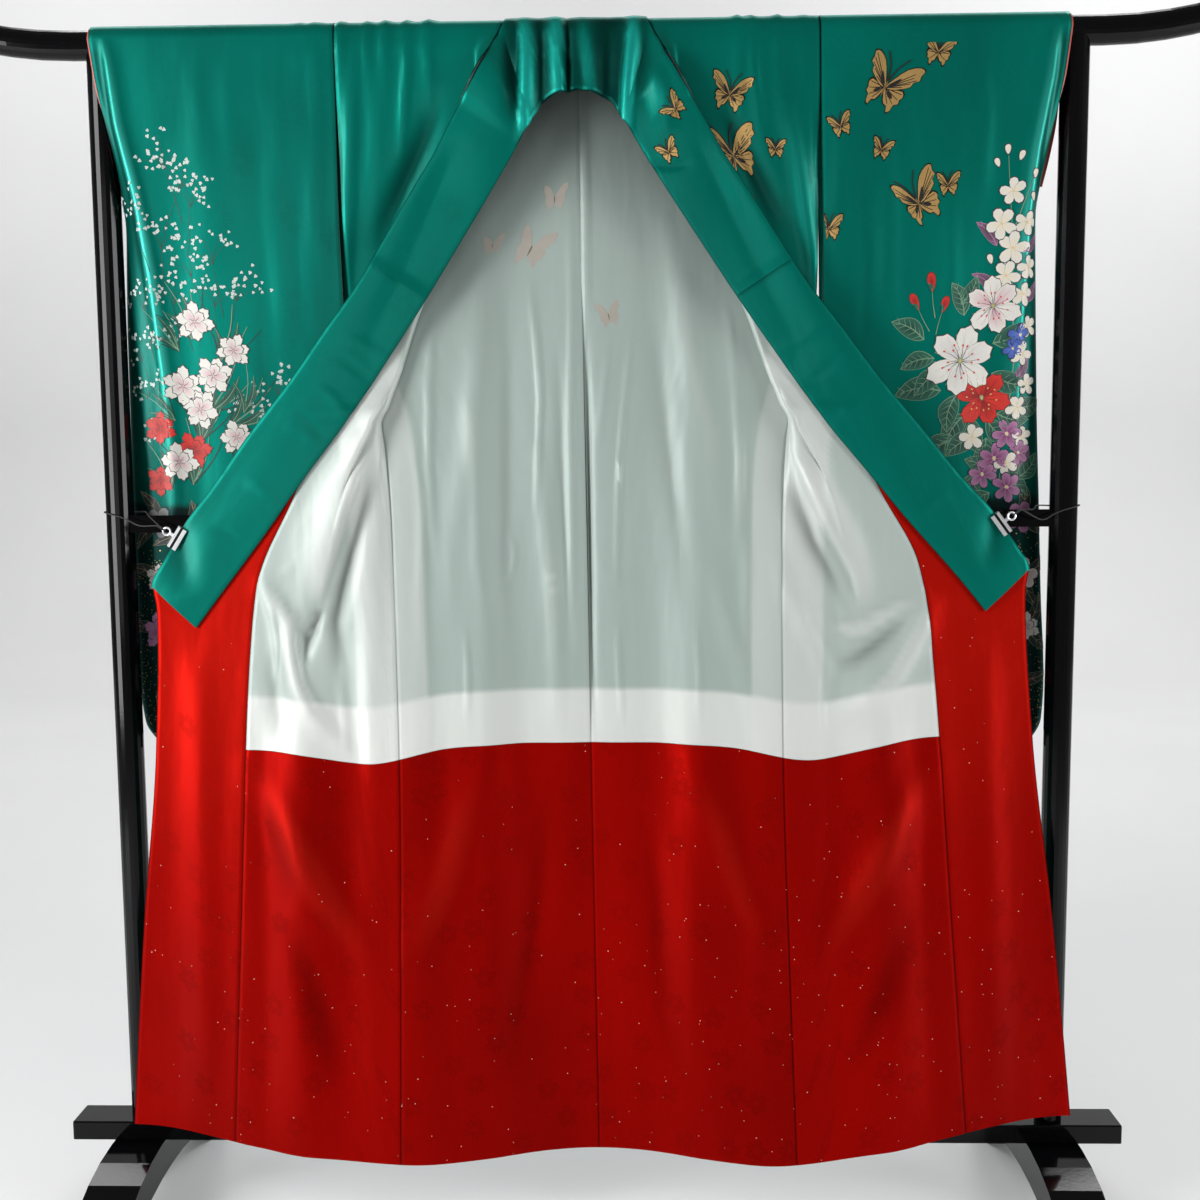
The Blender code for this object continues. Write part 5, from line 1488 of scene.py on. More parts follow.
# Each crease is (width, depth, path of (half, z)), in millimetres, as above.
COLLAR_CREASES = {
    -1: (
        (6, 1.6, ((262, 1225), (300, 1250), (330, 1262))),
        (3.8, -1.5, ((288, 1196), (318, 1222), (344, 1238))),
        (6, 1.8, ((322, 1150), (346, 1180), (366, 1196))),
        (3.4, -1.4, ((352, 1116), (376, 1148), (394, 1160))),
        (5.2, 1.4, ((360, 1106), (386, 1132), (410, 1140))),
        (7, 1.4, ((420, 1040), (450, 1060), (470, 1066))),
        (6, -1, ((470, 980), (500, 1000), (520, 1006))),
        (20, -4.6, ((580, 1030), (566, 990), (560, 955), (556, 915))),
        ((14, 6), 10, ((72, 1700), (68, 1640), (70, 1590), (74, 1500))),
        (9, -6, ((52, 1690), (48, 1640), (48, 1590), (50, 1530))),
        ((5, 12), 8.5, ((26, 1710), (24, 1640), (22, 1600), (20, 1530))),
        (5, -7, ((12, 1700), (12, 1640), (12, 1600), (14, 1530))),
        (9, -4, ((98, 1660), (90, 1600), (86, 1540))),
    ),
    1: (
        (19, -4.4, ((576, 1030), (562, 990), (556, 955), (550, 920))),
        (6, 1.5, ((262, 1235), (296, 1250), (326, 1270))),
        (3.6, -1.3, ((300, 1185), (330, 1210), (350, 1228))),
        (6, 1.6, ((340, 1130), (366, 1160), (386, 1176))),
        (5.2, -1, ((400, 1070), (430, 1090), (450, 1096))),
        (7, 1.3, ((450, 1000), (480, 1030), (500, 1036))),
        (8, 5.5, ((8, 1690), (14, 1640), (18, 1600), (22, 1540))),
        (12, -7, ((44, 1690), (42, 1640), (40, 1600), (38, 1530))),
        ((6, 11), 10.5, ((78, 1700), (74, 1640), (68, 1590), (62, 1500))),
        (12, 5, ((104, 1610), (112, 1570), (120, 1520))),
        (4.5, -3.5, ((90, 1486), (120, 1480), (152, 1482))),
    ),
}


def collar_panel():
    front = levels(COLLAR.stations[0], RAIL_Z, COLLAR_ROW_STEP)
    neck = levels(NECK.stations[0], NECK.stations[-1], NECK_ROW_DEGREES)[::-1]
    half_rows = [collar_front_row(level, COLLAR_COLUMNS) for level in front]
    half_rows += [collar_neck_row(angle, COLLAR_COLUMNS) for angle in neck]
    local = np.array(half_rows)
    parts, pushes = {}, {}
    for side, creases in COLLAR_CREASES.items():
        creased = local.copy()
        pushes[side] = crease_depth(creases, local[..., 0], local[..., 2])
        creased[..., 1] -= pushes[side]
        parts[side] = place(creased, side)
    both = np.concatenate([local, local[-2::-1]])
    panel = Panel(both, 1, np.concatenate([parts[-1], parts[1][-2::-1]]))
    panel.push = np.concatenate([pushes[-1], pushes[1][-2::-1]])
    panel.shade = NECK_SHADE * below(both[..., 0], NECK_SHADE_HALF) * above(both[..., 2], NECK_SHADE_LEVEL)
    return panel, front


OVER_COLLAR_LOOSE = 0.0036
OVER_COLLAR_LOOSE_REACH = 0.010
LOOSE_AT_EDGES = 0.55
collar_cloth, collar_levels = collar_panel()
collar = add_wall("collar_silk", collar_cloth, -COLLAR_CLOTH / 2, COLLAR_CLOTH / 2, collar_satin)
dress(collar, "green_silk", "collar")
first = row_at(collar_levels, OVER_COLLAR_LEVEL)
over_cloth = collar_cloth.part(first, len(collar_cloth.world) - 1 - first)
from_end = np.minimum(over_cloth.warp - over_cloth.warp[0], over_cloth.warp[-1] - over_cloth.warp)
bowed = np.sin(np.linspace(0.0, math.pi, len(COLLAR_COLUMNS)))
loose = OVER_COLLAR_LOOSE * np.exp(-(from_end / OVER_COLLAR_LOOSE_REACH) ** 2)
loose = loose * (LOOSE_AT_EDGES + (1 - LOOSE_AT_EDGES) * bowed)
over_cloth.world = over_cloth.world + over_cloth.normals * loose[..., None]
over = add_wall("over_collar_silk", over_cloth, OVER_COLLAR_OFFSET,
                OVER_COLLAR_OFFSET + OVER_COLLAR_CLOTH, collar_satin)
dress(over, "green_silk", "over_collar")
print("collar length", round(float(collar_cloth.warp[-1, 0]), 3), "rows", len(collar_cloth.world))

# %% [markdown]
# ## The sleeves
# A furisode sleeve is a long flat bag, nearly a metre deep. It lies over the rail beside the body and its
# front turns away softly at the outer edge. Its lower part is dyed black under the flowers.

# %% Sleeve panels
SLEEVE_FLAT_COLUMNS = 46
SLEEVE_TURN_COLUMNS = 14
SLEEVE_LEVELS = np.concatenate([levels(0.715, 1.640, ROW_STEP)[::-1], levels(0.672, 0.715, 0.0055)[-2::-1]])
SLEEVE_FRONT_ROW = len(SLEEVE_LEVELS) + len(WRAP_ANGLES)
DARK_GROUND_LEVEL = 1.035
DARK_GROUND_BLEND = 0.10
BACK_CREASE_SHARE = 0.3
TURNED_SHADE_FROM = (0.003, 0.010)
sleeve_panels = {}


def sleeve_panel(side):
    columns = (SLEEVE_FLAT_COLUMNS, SLEEVE_TURN_COLUMNS)
    top = sleeve_row(RAIL_Z, side, True, *columns)
    rows = [sleeve_row(level, side, False, *columns) for level in SLEEVE_LEVELS[::-1]]
    for angle in WRAP_ANGLES:
        row = top.copy()
        row[:, 1] = WRAP_RADIUS * math.cos(math.radians(angle))
        row[:, 2] = RAIL_Z + WRAP_RADIUS * math.sin(math.radians(angle))
        rows.append(row)
    rows += [sleeve_row(level, side, True, *columns) for level in SLEEVE_LEVELS]
    local = np.array(rows)
    half, z = local[..., 0], local[..., 2]
    front = np.arange(len(local))[:, None] >= SLEEVE_FRONT_ROW
    back = np.arange(len(local))[:, None] < len(SLEEVE_LEVELS)
    creases = crease_depth(SLEEVE_CREASES[side], half, z)
    local[..., 1] -= np.where(front, creases, np.where(back, BACK_CREASE_SHARE * creases, 0.0))
    lift = gathers_at(np.minimum(z, RAIL_Z)) * gather_height(side, half)
    local[..., 1] += np.where(front, -1.0, np.where(back, 1.0, 0.0)) * lift
    local[..., 2] += np.where(front | back, 0.0, 1.0) * lift
    panel = Panel(local, side, place(local, side, False))
    panel.push = np.where(front, creases, 0.0)
    return panel


for side, suffix in SIDES:
    panel = sleeve_panel(side)
    sleeve_panels[side] = panel
    sleeve = add_wall("sleeve_silk_" + suffix, panel, -OUTER_CLOTH / 2, OUTER_CLOTH / 2, sleeve_satin)
    paint(sleeve, "dark_ground", smooth((DARK_GROUND_LEVEL - panel.local[..., 2]) / DARK_GROUND_BLEND + 0.5))
    # Past the ridge the sleeve's front turns back, and that strip gets painted shade.
    past_ridge = panel.local[..., 0] - panel.local[:, SLEEVE_FLAT_COLUMNS:SLEEVE_FLAT_COLUMNS + 1, 0]
    past_ridge[:SLEEVE_FRONT_ROW] = 0.0
    paint(sleeve, "turned", above(past_ridge, TURNED_SHADE_FROM))
    dress(sleeve, "green_silk", "sleeve_" + suffix)
    above_cuff = SLEEVE_LEVELS[SLEEVE_LEVELS >= CUFF_OPENING_LEVEL - 0.001]
    first = len(SLEEVE_LEVELS) - len(above_cuff)
    last = len(panel.world) - 1 - first
    hem = panel.world[first:last + 1, -SLEEVE_TURN_COLUMNS:]
    beyond = hem[:, -1] - hem[:, -2]
    beyond = beyond * CUFF_LINING_SHOWS / np.linalg.norm(beyond, axis=1, keepdims=True)
    world = np.concatenate([hem, (hem[:, -1] + beyond)[:, None]], axis=1)
    edge_columns = list(range(-SLEEVE_TURN_COLUMNS, 0)) + [-1]
    strip = Panel(world, side, world, panel.normals[first:last + 1][:, edge_columns])
    edge = add_wall("sleeve_edge_lining_" + suffix, strip, LINING_INNER, LINING_OUTER, pink)
    dress(edge, "pink_edge_silk", "sleeve_lining_edge_" + suffix)
    print("sleeve", suffix, "rows", len(panel.world), "length", round(float(panel.warp[-1, 0]), 3))

# %% [markdown]
# ## Dye and gold on the silk
# The flowers and butterflies are painted on the cloth with paste-resist dye and gold leaf. Here each
# petal, leaf and wing is a thin patch that lies on the silk and follows its folds. A drawing works in
# flat metres, x to the right and y up, and finds its place on the cloth by arc length, as a dyer would.

# %% A drawing on cloth
DYE_LIFT = 0.00040
DYE_STEP = 0.00004
STROKE_STEP = 0.12
RING_SPACING = 0.0060
RESIST_LINE = 0.0014
WING_LINE = 0.0024
FINE_LINE = 0.0011


def spin(degrees):
    angle = math.radians(degrees)
    return np.array([[math.cos(angle), math.sin(angle)], [-math.sin(angle), math.cos(angle)]])


class Drawing:
    """Patches of dye on one side of a panel, gathered into one mesh. face is -1 for the green side."""

    def __init__(self, panel, first, last, face, wall):
        part = panel.part(first, last)
        self.world, self.weft, self.warp = part.world, part.weft, part.warp
        self.normals = part.normals * face
        self.half, self.z = part.local[..., 0], part.local[..., 2]
        self.wall = wall
        self.points, self.faces, self.colours, self.golds, self.buds = [], [], [], [], []

    def go(self, half, z, size, turn, layer=0.0):
        """Move to a place, in millimetres. Lengths are then in units of size, turned by turn degrees."""
        half, z, size = half / 1000, z / 1000, size / 1000
        nearest = np.argmin((self.half - half) ** 2 + (self.z - z) ** 2)
        row, column = np.unravel_index(nearest, self.half.shape)
        row = min(max(row, 1), self.half.shape[0] - 2)
        column = min(max(column, 1), self.half.shape[1] - 2)
        across = self.world[row, column + 1, 0] - self.world[row, column - 1, 0]
        down = self.world[row + 1, column, 2] - self.world[row - 1, column, 2]
        outwards = np.sign(self.half[row, column + 1] - self.half[row, column - 1])
        self.signs = np.sign([across, down])
        self.start = np.array([self.weft[row, column] + outwards * (half - self.half[row, column]),
                               self.warp[row, column] + self.signs[1] * (z - self.z[row, column])])
        self.row, self.column, self.size, self.layer = row, column, size, layer
        self.frame = size * spin(turn)

    def lay(self, flat, lift):
        """Flat points laid on the cloth, with the cloth's own direction outwards."""
        metres = self.start + (np.asarray(flat, dtype=float) @ self.frame) * self.signs
        rows = np.interp(metres[:, 1], self.warp[:, self.column], np.arange(self.warp.shape[0]))
        columns = np.interp(metres[:, 0], self.weft[self.row], np.arange(self.weft.shape[1]))
        r = np.minimum(rows.astype(int), self.warp.shape[0] - 2)
        c = np.minimum(columns.astype(int), self.weft.shape[1] - 2)
        u, v = (rows - r)[:, None], (columns - c)[:, None]
        shares = (((1 - u) * (1 - v), 0, 0), ((1 - u) * v, 0, 1), (u * (1 - v), 1, 0), (u * v, 1, 1))
        point = sum(share * self.world[r + i, c + j] for share, i, j in shares)
        normal = sum(share * self.normals[r + i, c + j] for share, i, j in shares)
        normal /= np.linalg.norm(normal, axis=1, keepdims=True)
        return point + normal * lift, normal

    def add(self, flat, faces, colours, gold, step):
        points, normals = self.lay(flat, self.wall + DYE_LIFT + DYE_STEP * self.layer)
        self.layer += step
        a, b, c = (points[i] for i in faces[0][:3])
        if np.dot(np.cross(b - a, c - a), normals[faces[0][0]]) < 0:
            faces = [face[::-1] for face in faces]
        base = sum(len(block) for block in self.points)
        self.points.append(points)
        self.faces += [tuple(base + i for i in face) for face in faces]
        self.colours.append(np.broadcast_to(colours, (len(points), 3)))
        self.golds.append(np.full(len(points), gold))

    def patch(self, outline, rim, middle=None, line=None, gold=0.0, heart=None, edge=RESIST_LINE):
        """A filled shape: its colour runs from its heart to its rim, and a line of resist goes round it."""
        outline = np.asarray(outline, dtype=float)
        heart = outline.mean(axis=0) if heart is None else np.array(heart)
        rim = np.array(rim)
        middle = rim if middle is None else np.array(middle)
        reach = np.linalg.norm(outline - heart, axis=1).max() * self.size
        count, rings = len(outline), int(np.clip(math.ceil(reach / RING_SPACING), 1, 4))
        stops = [(ring / rings, middle + (rim - middle) * ring / rings) for ring in range(1, rings + 1)]
        if line is not None:
            stops += [(1.0, np.array(line)), (1.0 + edge / reach, np.array(line))]
        flat = [heart[None]] + [heart + (outline - heart) * share for share, _ in stops]
        colours = [middle[None]] + [np.tile(colour, (count, 1)) for _, colour in stops]
        faces = [(0, 1 + i, 1 + (i + 1) % count) for i in range(count)]
        for ring in range(1, len(stops)):
            if ring != rings:
                low, high = 1 + (ring - 1) * count, 1 + ring * count
                faces += [(low + i, high + i, high + (i + 1) % count, low + (i + 1) % count)
                          for i in range(count)]
        self.add(np.concatenate(flat), faces, np.concatenate(colours), gold, 1.0)

    def stroke(self, path, width, colour, taper=0.35):
        """A brush line through a few points, thinner at its end."""
        path = curved(path)
        steps = np.gradient(path, axis=0)
        sideways = np.stack([-steps[:, 1], steps[:, 0]], -1) / np.linalg.norm(steps, axis=1, keepdims=True)
        widths = width / 2 * (1 - (1 - taper) * np.linspace(0, 1, len(path)))[:, None]
        count = len(path)
        faces = [(i, i + 1, count + i + 1, count + i) for i in range(count - 1)]
        flat = np.concatenate([path + sideways * widths, path - sideways * widths])
        self.add(flat, faces, colour, 0.0, STROKE_STEP)

    def bud(self, x, y, size, turn):
        """A place for one tiny blossom, which Geometry Nodes fills in later."""
        points, normals = self.lay([(x, y)], self.wall + DYE_LIFT)
        self.buds.append((points[0], normals[0], size, turn))

    def build(self, name, material, slot):
        mesh = bpy.data.meshes.new(name)
        mesh.from_pydata(np.concatenate(self.points), [], self.faces)
        rgba = np.ones((len(mesh.vertices), 4), dtype=np.float32)
        rgba[:, :3] = np.concatenate(self.colours)
        mesh.color_attributes.new("dye", "FLOAT_COLOR", "POINT").data.foreach_set("color", rgba.ravel())
        number_on(mesh, "gold", np.concatenate(self.golds))
        mesh.shade_smooth()
        mesh.materials.append(material)
        return dress(new_object(name, mesh), slot)


def curved(path, closed=False, steps=3):
    """More points on a smooth line through a few."""
    points = np.asarray(path, dtype=float)
    if closed:
        ends = np.concatenate([points[-1:], points, points[:2]])
    else:
        ends = np.concatenate([2 * points[:1] - points[1:2], points, 2 * points[-1:] - points[-2:-1]])
    fours = zip(ends, ends[1:], ends[2:], ends[3:])
    line = [between(*four, t) for four in fours for t in np.arange(steps) / steps]
    return np.array(line if closed else line + [points[-1]])


def turned(points, degrees):
    return np.asarray(points, dtype=float) @ spin(degrees)


# %% Dyes
WHITE_DYE = (0.70, 0.69, 0.64)
CREAM = (0.74, 0.66, 0.50)
BLUSH = (0.62, 0.38, 0.42)
VERMILION = (0.60, 0.030, 0.020)
DEEP_RED = (0.26, 0.008, 0.010)
OUTLINE = (0.060, 0.032, 0.036)
PLUM = (0.20, 0.035, 0.13)
LILAC = (0.42, 0.20, 0.36)
INDIGO = (0.04, 0.09, 0.36)
GREY_DYE = (0.27, 0.28, 0.28)
YELLOW = (0.66, 0.46, 0.14)
LEAF_DARK = (0.004, 0.048, 0.034)
LEAF_MID = (0.020, 0.125, 0.080)
LEAF_PALE = (0.17, 0.31, 0.20)
TWIG = (0.055, 0.060, 0.052)
INK = (0.012, 0.010, 0.009)
GOLD = (0.66, 0.43, 0.16)
DYE_SETS = ((WHITE_DYE, BLUSH, OUTLINE), (GREY_DYE, (0.12, 0.12, 0.13), INK), (VERMILION, DEEP_RED, DEEP_RED),
            (LILAC, PLUM, INK), (WHITE_DYE, GREY_DYE, INK))
print("sets of dyes for a blossom:", len(DYE_SETS))


def dye_material():
    tree = Tree("dye and gold on silk", 0.45, Specular_IOR_Level=0.45)
    place_on = tree.place()
    gold = tree.attribute("gold")
    mottle = tree.noise(place_on, 700.0, detail=2.0)
    dyed = tree.mix(tree.noise(place_on, 60.0) * 0.3, tree.attribute("dye", "Color"), (0.05, 0.05, 0.05),
                    "SOFT_LIGHT")
    colour = tree.mix((mottle - 0.62).smoothstep(0.0, 0.1) * gold * 0.5, dyed, (0.25, 0.13, 0.04))
    threads = tree.noise(tree.place((1500.0, 1500.0, 300.0)), 1.0, detail=1.0)
    return tree.finish(colour, gold * -0.10 + mottle * 0.10 + 0.42, tree.bump(threads, 0.25, 0.0002),
                       metallic=gold * 0.65)


dyes = dye_material()

# %% [markdown]
# ## Motifs
# These are common motifs of dyed silk: ruffled blossoms, broad open blossoms with stamens, small ones on a
# tall stem, leaves, sprays and butterflies. Each is drawn from a few petals by rule, with a thin dark
# line round each petal, where the resist paste kept the dye out.

# %% Petals and blossoms
def petal(length, width, count=12, ruffle=0.0, start=0.0):
    """A petal that grows up from the flower's heart. ruffle makes its tip wavy."""
    angle = np.linspace(0.0, 2 * math.pi, count, endpoint=False)
    tip = np.exp(-((angle - math.pi) / 1.1) ** 2)
    x = width / 2 * np.sin(angle) * (0.72 - 0.28 * np.cos(angle))
    y = start + length * (1 - np.cos(angle)) / 2 + length * ruffle * tip * np.cos(count / 2 * angle)
    return np.stack([x, y], axis=-1)


def whorl(drawing, petals, length, width, dyes_used, count=12, ruffle=0.0, skew=0.0, uneven=0.08):
    """Petals round a heart, uneven in length and direction."""
    rim, middle, line = dyes_used
    for i in range(petals):
        lean = 360.0 / petals * i + skew + 7.0 * math.sin(2.3 * i + 5.0 * length)
        reach = length * (1.0 + uneven * math.sin(3.1 * i + 4.0 * width))
        drawing.patch(turned(petal(reach, width, count, ruffle), lean), rim, middle, line,
                      heart=turned([(0.0, 0.12 * length)], lean)[0])


def heart_of(drawing, size, colour, rim):
    drawing.patch(petal(size, size, 8, start=-size / 2), rim, colour)


def ruffled_blossom(drawing, dyes_used=DYE_SETS[0], count=16):
    """Notched petals of uneven length, with a few dark stamens."""
    rim, middle, line = dyes_used
    whorl(drawing, 6, 1.0, 0.76, (rim, rim, line), count, 0.060, 0.0, 0.20)
    whorl(drawing, 4, 0.68, 0.66, (rim, middle, line), count, 0.070, 34.0, 0.20)
    for i in range(6):
        drawing.stroke(turned([(0.0, 0.05), (0.04, 0.22), (0.02, 0.36)], 61.0 * i), 0.030, line)


def open_blossom(drawing, dyes_used=DYE_SETS[0], tips=VERMILION):
    """Six broad petals with fine veins, and stamens with coloured tips."""
    rim, middle, line = dyes_used
    whorl(drawing, 3, 1.0, 0.80, (rim, rim, line), 16, 0.05, 0.0, 0.10)
    whorl(drawing, 3, 0.94, 0.78, (rim, middle, line), 16, 0.05, 60.0, 0.10)
    for i in range(18):
        drawing.stroke(turned([(0.0, 0.30), (0.0, 0.55), (0.01, 0.78)], 20.0 * i), 0.016, middle)
    for i in range(15):
        lean = 24.0 * i + 8.0 * math.sin(1.9 * i)
        reach = 0.40 + 0.10 * math.sin(2.7 * i)
        drawing.stroke(turned([(0.0, 0.02), (0.02, reach * 0.6), (0.0, reach)], lean), 0.018, line)
    drawing.layer += 1.0
    for i in range(15):
        lean = 24.0 * i + 8.0 * math.sin(1.9 * i)
        start = 0.40 + 0.10 * math.sin(2.7 * i)
        drawing.patch(turned(petal(0.08, 0.07, 6, start=start), lean), tips)
        drawing.layer -= 1.0
    drawing.layer += 1.0
    heart_of(drawing, 0.20, YELLOW, LEAF_PALE)


def small_blossom(drawing, dyes_used=(WHITE_DYE, CREAM, OUTLINE), petals=5, slim=0.86):
    whorl(drawing, petals, 1.0, slim, dyes_used, 10)
    heart_of(drawing, 0.30, YELLOW, CREAM)


def leaf(drawing, length, width, dyes_used, lean=0.0, veins=0):
    """A pointed leaf that bends a little, with a midrib and, where asked, side veins."""
    rim, middle, vein = dyes_used
    t = np.linspace(0.0, 1.0, 9)
    bend = 0.10 * length * np.sin(math.pi * t)
    reach = width / 2 * np.sin(math.pi * t) ** 0.8 * (1.15 - 0.4 * t)
    right = np.stack([bend + reach, length * t], -1)
    left = np.stack([bend - reach, length * t], -1)[-2:0:-1]
    drawing.patch(turned(np.concatenate([right, left]), lean), rim, middle, vein if veins else None)
    drawing.stroke(turned(np.stack([bend, length * t], -1)[::2], lean), 0.04 * width + 0.016, vein)
    for i in range(veins):
        low = 0.12 + 0.66 * i / max(veins - 1, 1)
        root = (0.10 * length * math.sin(math.pi * low), length * low)
        for hand in (-1, 1):
            aside = hand * width * 0.36 * math.sin(math.pi * (low * 0.7 + 0.25))
            tip = (root[0] + aside, root[1] + 0.16 * length)
            drawing.stroke(turned([root, tip], lean), 0.020, vein)


# %% Butterflies and sprays
FORE_WING = ((0.02, 0.04), (0.16, 0.34), (0.40, 0.70), (0.70, 0.88), (0.86, 0.84), (0.82, 0.68),
             (0.84, 0.54), (0.70, 0.44), (0.68, 0.30), (0.44, 0.14), (0.20, 0.02))
HIND_WING = ((0.02, 0.00), (0.28, 0.04), (0.54, 0.10), (0.62, -0.04), (0.56, -0.14), (0.58, -0.26),
             (0.46, -0.34), (0.44, -0.52), (0.34, -0.60), (0.28, -0.44), (0.16, -0.40), (0.06, -0.20))
WING_MARKS = (((0.05, 0.08), (0.18, 0.26), (0.34, 0.42), (0.30, 0.24), (0.16, 0.10)),
              ((0.10, -0.05), (0.26, -0.08), (0.34, -0.20), (0.20, -0.20)))
FORE_VEINS = ((0.78, 0.80), (0.78, 0.66), (0.76, 0.52), (0.64, 0.38), (0.46, 0.20))
HIND_VEINS = ((0.56, 0.02), (0.52, -0.16), (0.42, -0.32), (0.28, -0.38))
WING_CENTRE = np.array((0.0, 0.14))


def butterfly(drawing, detail=True, colour=GOLD, line=INK, gold=1.0, far_wing=0.72):
    fine = max(0.030, FINE_LINE / drawing.size)
    for hand in (1.0, -far_wing):
        flip = np.array([hand, 1.0])
        for wing, veins in ((HIND_WING, HIND_VEINS), (FORE_WING, FORE_VEINS)):
            shape = curved((np.array(wing) - WING_CENTRE) * flip, closed=True, steps=2)
            drawing.patch(shape, colour, colour, line, gold, edge=WING_LINE)
            for vein in veins if detail else veins[::2] if line != colour else ():
                path = np.array(((0.04, 0.02), np.array(vein) * 0.5, vein)) - WING_CENTRE
                drawing.stroke(path * flip, fine, line, 0.7)
            drawing.layer += 0.5
        for mark in WING_MARKS if detail else ():
            drawing.patch(curved((np.array(mark) - WING_CENTRE) * flip, True, 2), line)
    drawing.patch(petal(0.46, 0.09, 8, start=-0.40), tuple(0.4 * c for c in colour), gold=0.6 * gold)
    for hand in (-1, 1) if line != colour else ():
        drawing.stroke(((0.01 * hand, 0.06), (0.12 * hand, 0.48), (0.34 * hand, 0.84)), 1.4 * fine, line, 0.8)


def spray(drawing, seed):
    """A twig that forks into four, with places for tiny blossoms round each end."""
    chance = np.random.default_rng(seed)
    for twig in range(4):
        lean = -48.0 + 32.0 * twig + chance.uniform(-9, 9)
        tip = turned([(0.0, chance.uniform(0.45, 1.55))], lean)[0]
        drawing.stroke([(0.0, 0.0), turned([(0.06, 0.55)], lean * 0.6)[0], tip], 0.018, TWIG)
        for _ in range(6):
            swing, out = chance.uniform(0, 6.28), chance.uniform(0.12, 0.50)
            drawing.bud(tip[0] + out * math.cos(swing), tip[1] + out * math.sin(swing),
                        chance.uniform(0.0024, 0.0035), chance.uniform(0, 6.28))


def draw_all(drawing, places, draw, layer=0.0, rise=0.0, **how):
    """The same motif at each (half, z, size, turn), in millimetres and degrees, each a little higher."""
    for i, (half, z, size, turn) in enumerate(places):
        drawing.go(half, z, size, turn, layer + rise * i)
        draw(drawing, **how)


# %% [markdown]
# ## The left sleeve, as seen
# White sprays climb the outer edge of the sleeve, and ruffled blossoms stand below them with narrow
# leaves. Red blossoms and dark leaves lead down into the black ground.

# %% Draw on the left sleeve
# Each motif is (half, z, size, turn), in millimetres and degrees, here and below.
LEFT_SPRAYS = (
    (565, 1488, 30, 8), (548, 1462, 26, -30), (534, 1438, 28, -12), (610, 1422, 30, 10),
    (579, 1384, 27, -6), (508, 1362, 30, 4), (540, 1346, 27, 16), (480, 1312, 30, -18), (510, 1304, 28, -4),
    (610, 1302, 29, 4), (566, 1310, 28, 14), (594, 1246, 29, -8), (620, 1232, 26, 16), (616, 1180, 28, 0),
    (430, 1184, 28, 12), (410, 1166, 26, -18), (466, 1146, 29, 6), (444, 1128, 26, -14),
    (606, 1120, 26, 10),
)
LEFT_LEAVES = (
    (546, 1262, 62, 8), (508, 1232, 60, -30), (566, 1246, 55, 28), (530, 1160, 70, -44),
    (504, 1140, 64, -62), (480, 1160, 55, -20), (578, 1150, 50, 40), (545, 1120, 70, -20),
    (500, 1078, 65, -40), (560, 1060, 70, -10), (590, 1052, 60, 14), (470, 1070, 50, -50),
)
LEFT_BLOSSOMS = (
    (540, 1286, 26.5, 10), (488, 1246, 22.5, -20), (519, 1212, 26.5, 40), (564, 1198, 27, 0),
    (541, 1166, 26.5, 75), (492, 1126, 23.5, 25), (577, 1092, 26.5, 15),
)
LEFT_RED = ((600, 1140, 22, 0), (556, 1108, 25, 30), (606, 1066, 20, 60))
LEAF_DYES = (LEAF_MID, LEAF_DARK, LEAF_PALE)


def pair_of_leaves(drawing):
    for lean, reach, dye in ((-24.0, 1.25, LEAF_DARK), (-10.0, 1.05, LEAF_PALE), (14.0, 1.35, LEAF_PALE),
                             (50.0, 1.05, LEAF_DARK)):
        drawing.stroke(turned([(0.0, 0.0), (0.10, 0.55 * reach), (0.04, reach)], lean), 0.034, dye)
    leaf(drawing, 1.0, 0.17, LEAF_DYES)
    leaf(drawing, 0.8, 0.14, LEAF_DYES, lean=34.0)


def draw_left_flowers(drawing):
    draw_all(drawing, LEFT_SPRAYS, lambda d: d.stroke([(0.1, -2.4), (0.06, -1.1), (0.0, 0.0)], 0.024, TWIG))
    for seed, spot in enumerate(LEFT_SPRAYS):
        drawing.go(*spot)
        spray(drawing, seed)
    draw_all(drawing, LEFT_LEAVES, pair_of_leaves, 1.0)
    draw_all(drawing, LEFT_BLOSSOMS, ruffled_blossom, 4.0, 1.5)
    draw_all(drawing, LEFT_RED, ruffled_blossom, 5.0, 1.5, dyes_used=DYE_SETS[2])


DARK_SPOTS = (
    (612, 1006), (572, 985), (520, 1000), (462, 985), (400, 1005), (360, 960), (616, 926), (560, 910),
    (500, 930), (440, 905), (385, 900), (620, 850), (572, 842), (520, 850), (460, 830), (400, 830),
    (606, 775), (550, 770), (485, 765), (420, 760), (365, 790),
)
GREY_LEAF = ((0.020, 0.040, 0.032), (0.010, 0.018, 0.015), (0.30, 0.27, 0.17))


def draw_dark_ground(drawing, seed, spots):
    """Grey, white, red and purple blossoms on the black lower part, over leaves outlined in gold."""
    chance = np.random.default_rng(seed)
    for half, z in spots:
        drawing.go(half, z, 52, chance.uniform(0, 360))
        for lean in (0.0, 110.0, 215.0):
            leaf(drawing, 1.0, 0.34, GREY_LEAF, lean=lean, veins=3)
        drawing.go(half, z, 1000 * chance.uniform(0.017, 0.026), chance.uniform(0, 360), 5.0)
        used = DYE_SETS[int(chance.integers(len(DYE_SETS)))]
        (ruffled_blossom if chance.uniform() < 0.6 else small_blossom)(drawing, used)


def sleeve_sides(side):
    """Drawings for the front and the back of one sleeve."""
    panel = sleeve_panels[side]
    return (Drawing(panel, SLEEVE_FRONT_ROW, len(panel.world) - 1, -1, OUTER_CLOTH / 2),
            Drawing(panel, 0, len(SLEEVE_LEVELS) - 1, -1, OUTER_CLOTH / 2))


drawings = {}
for face, drawing in zip(("front", "back"), sleeve_sides(-1)):
    draw_left_flowers(drawing)
    draw_dark_ground(drawing, 21, DARK_SPOTS)
    drawings["sleeve_" + face + "_L"] = drawing
print("left sleeve patches:", sum(len(d.points) for d in drawings.values()))

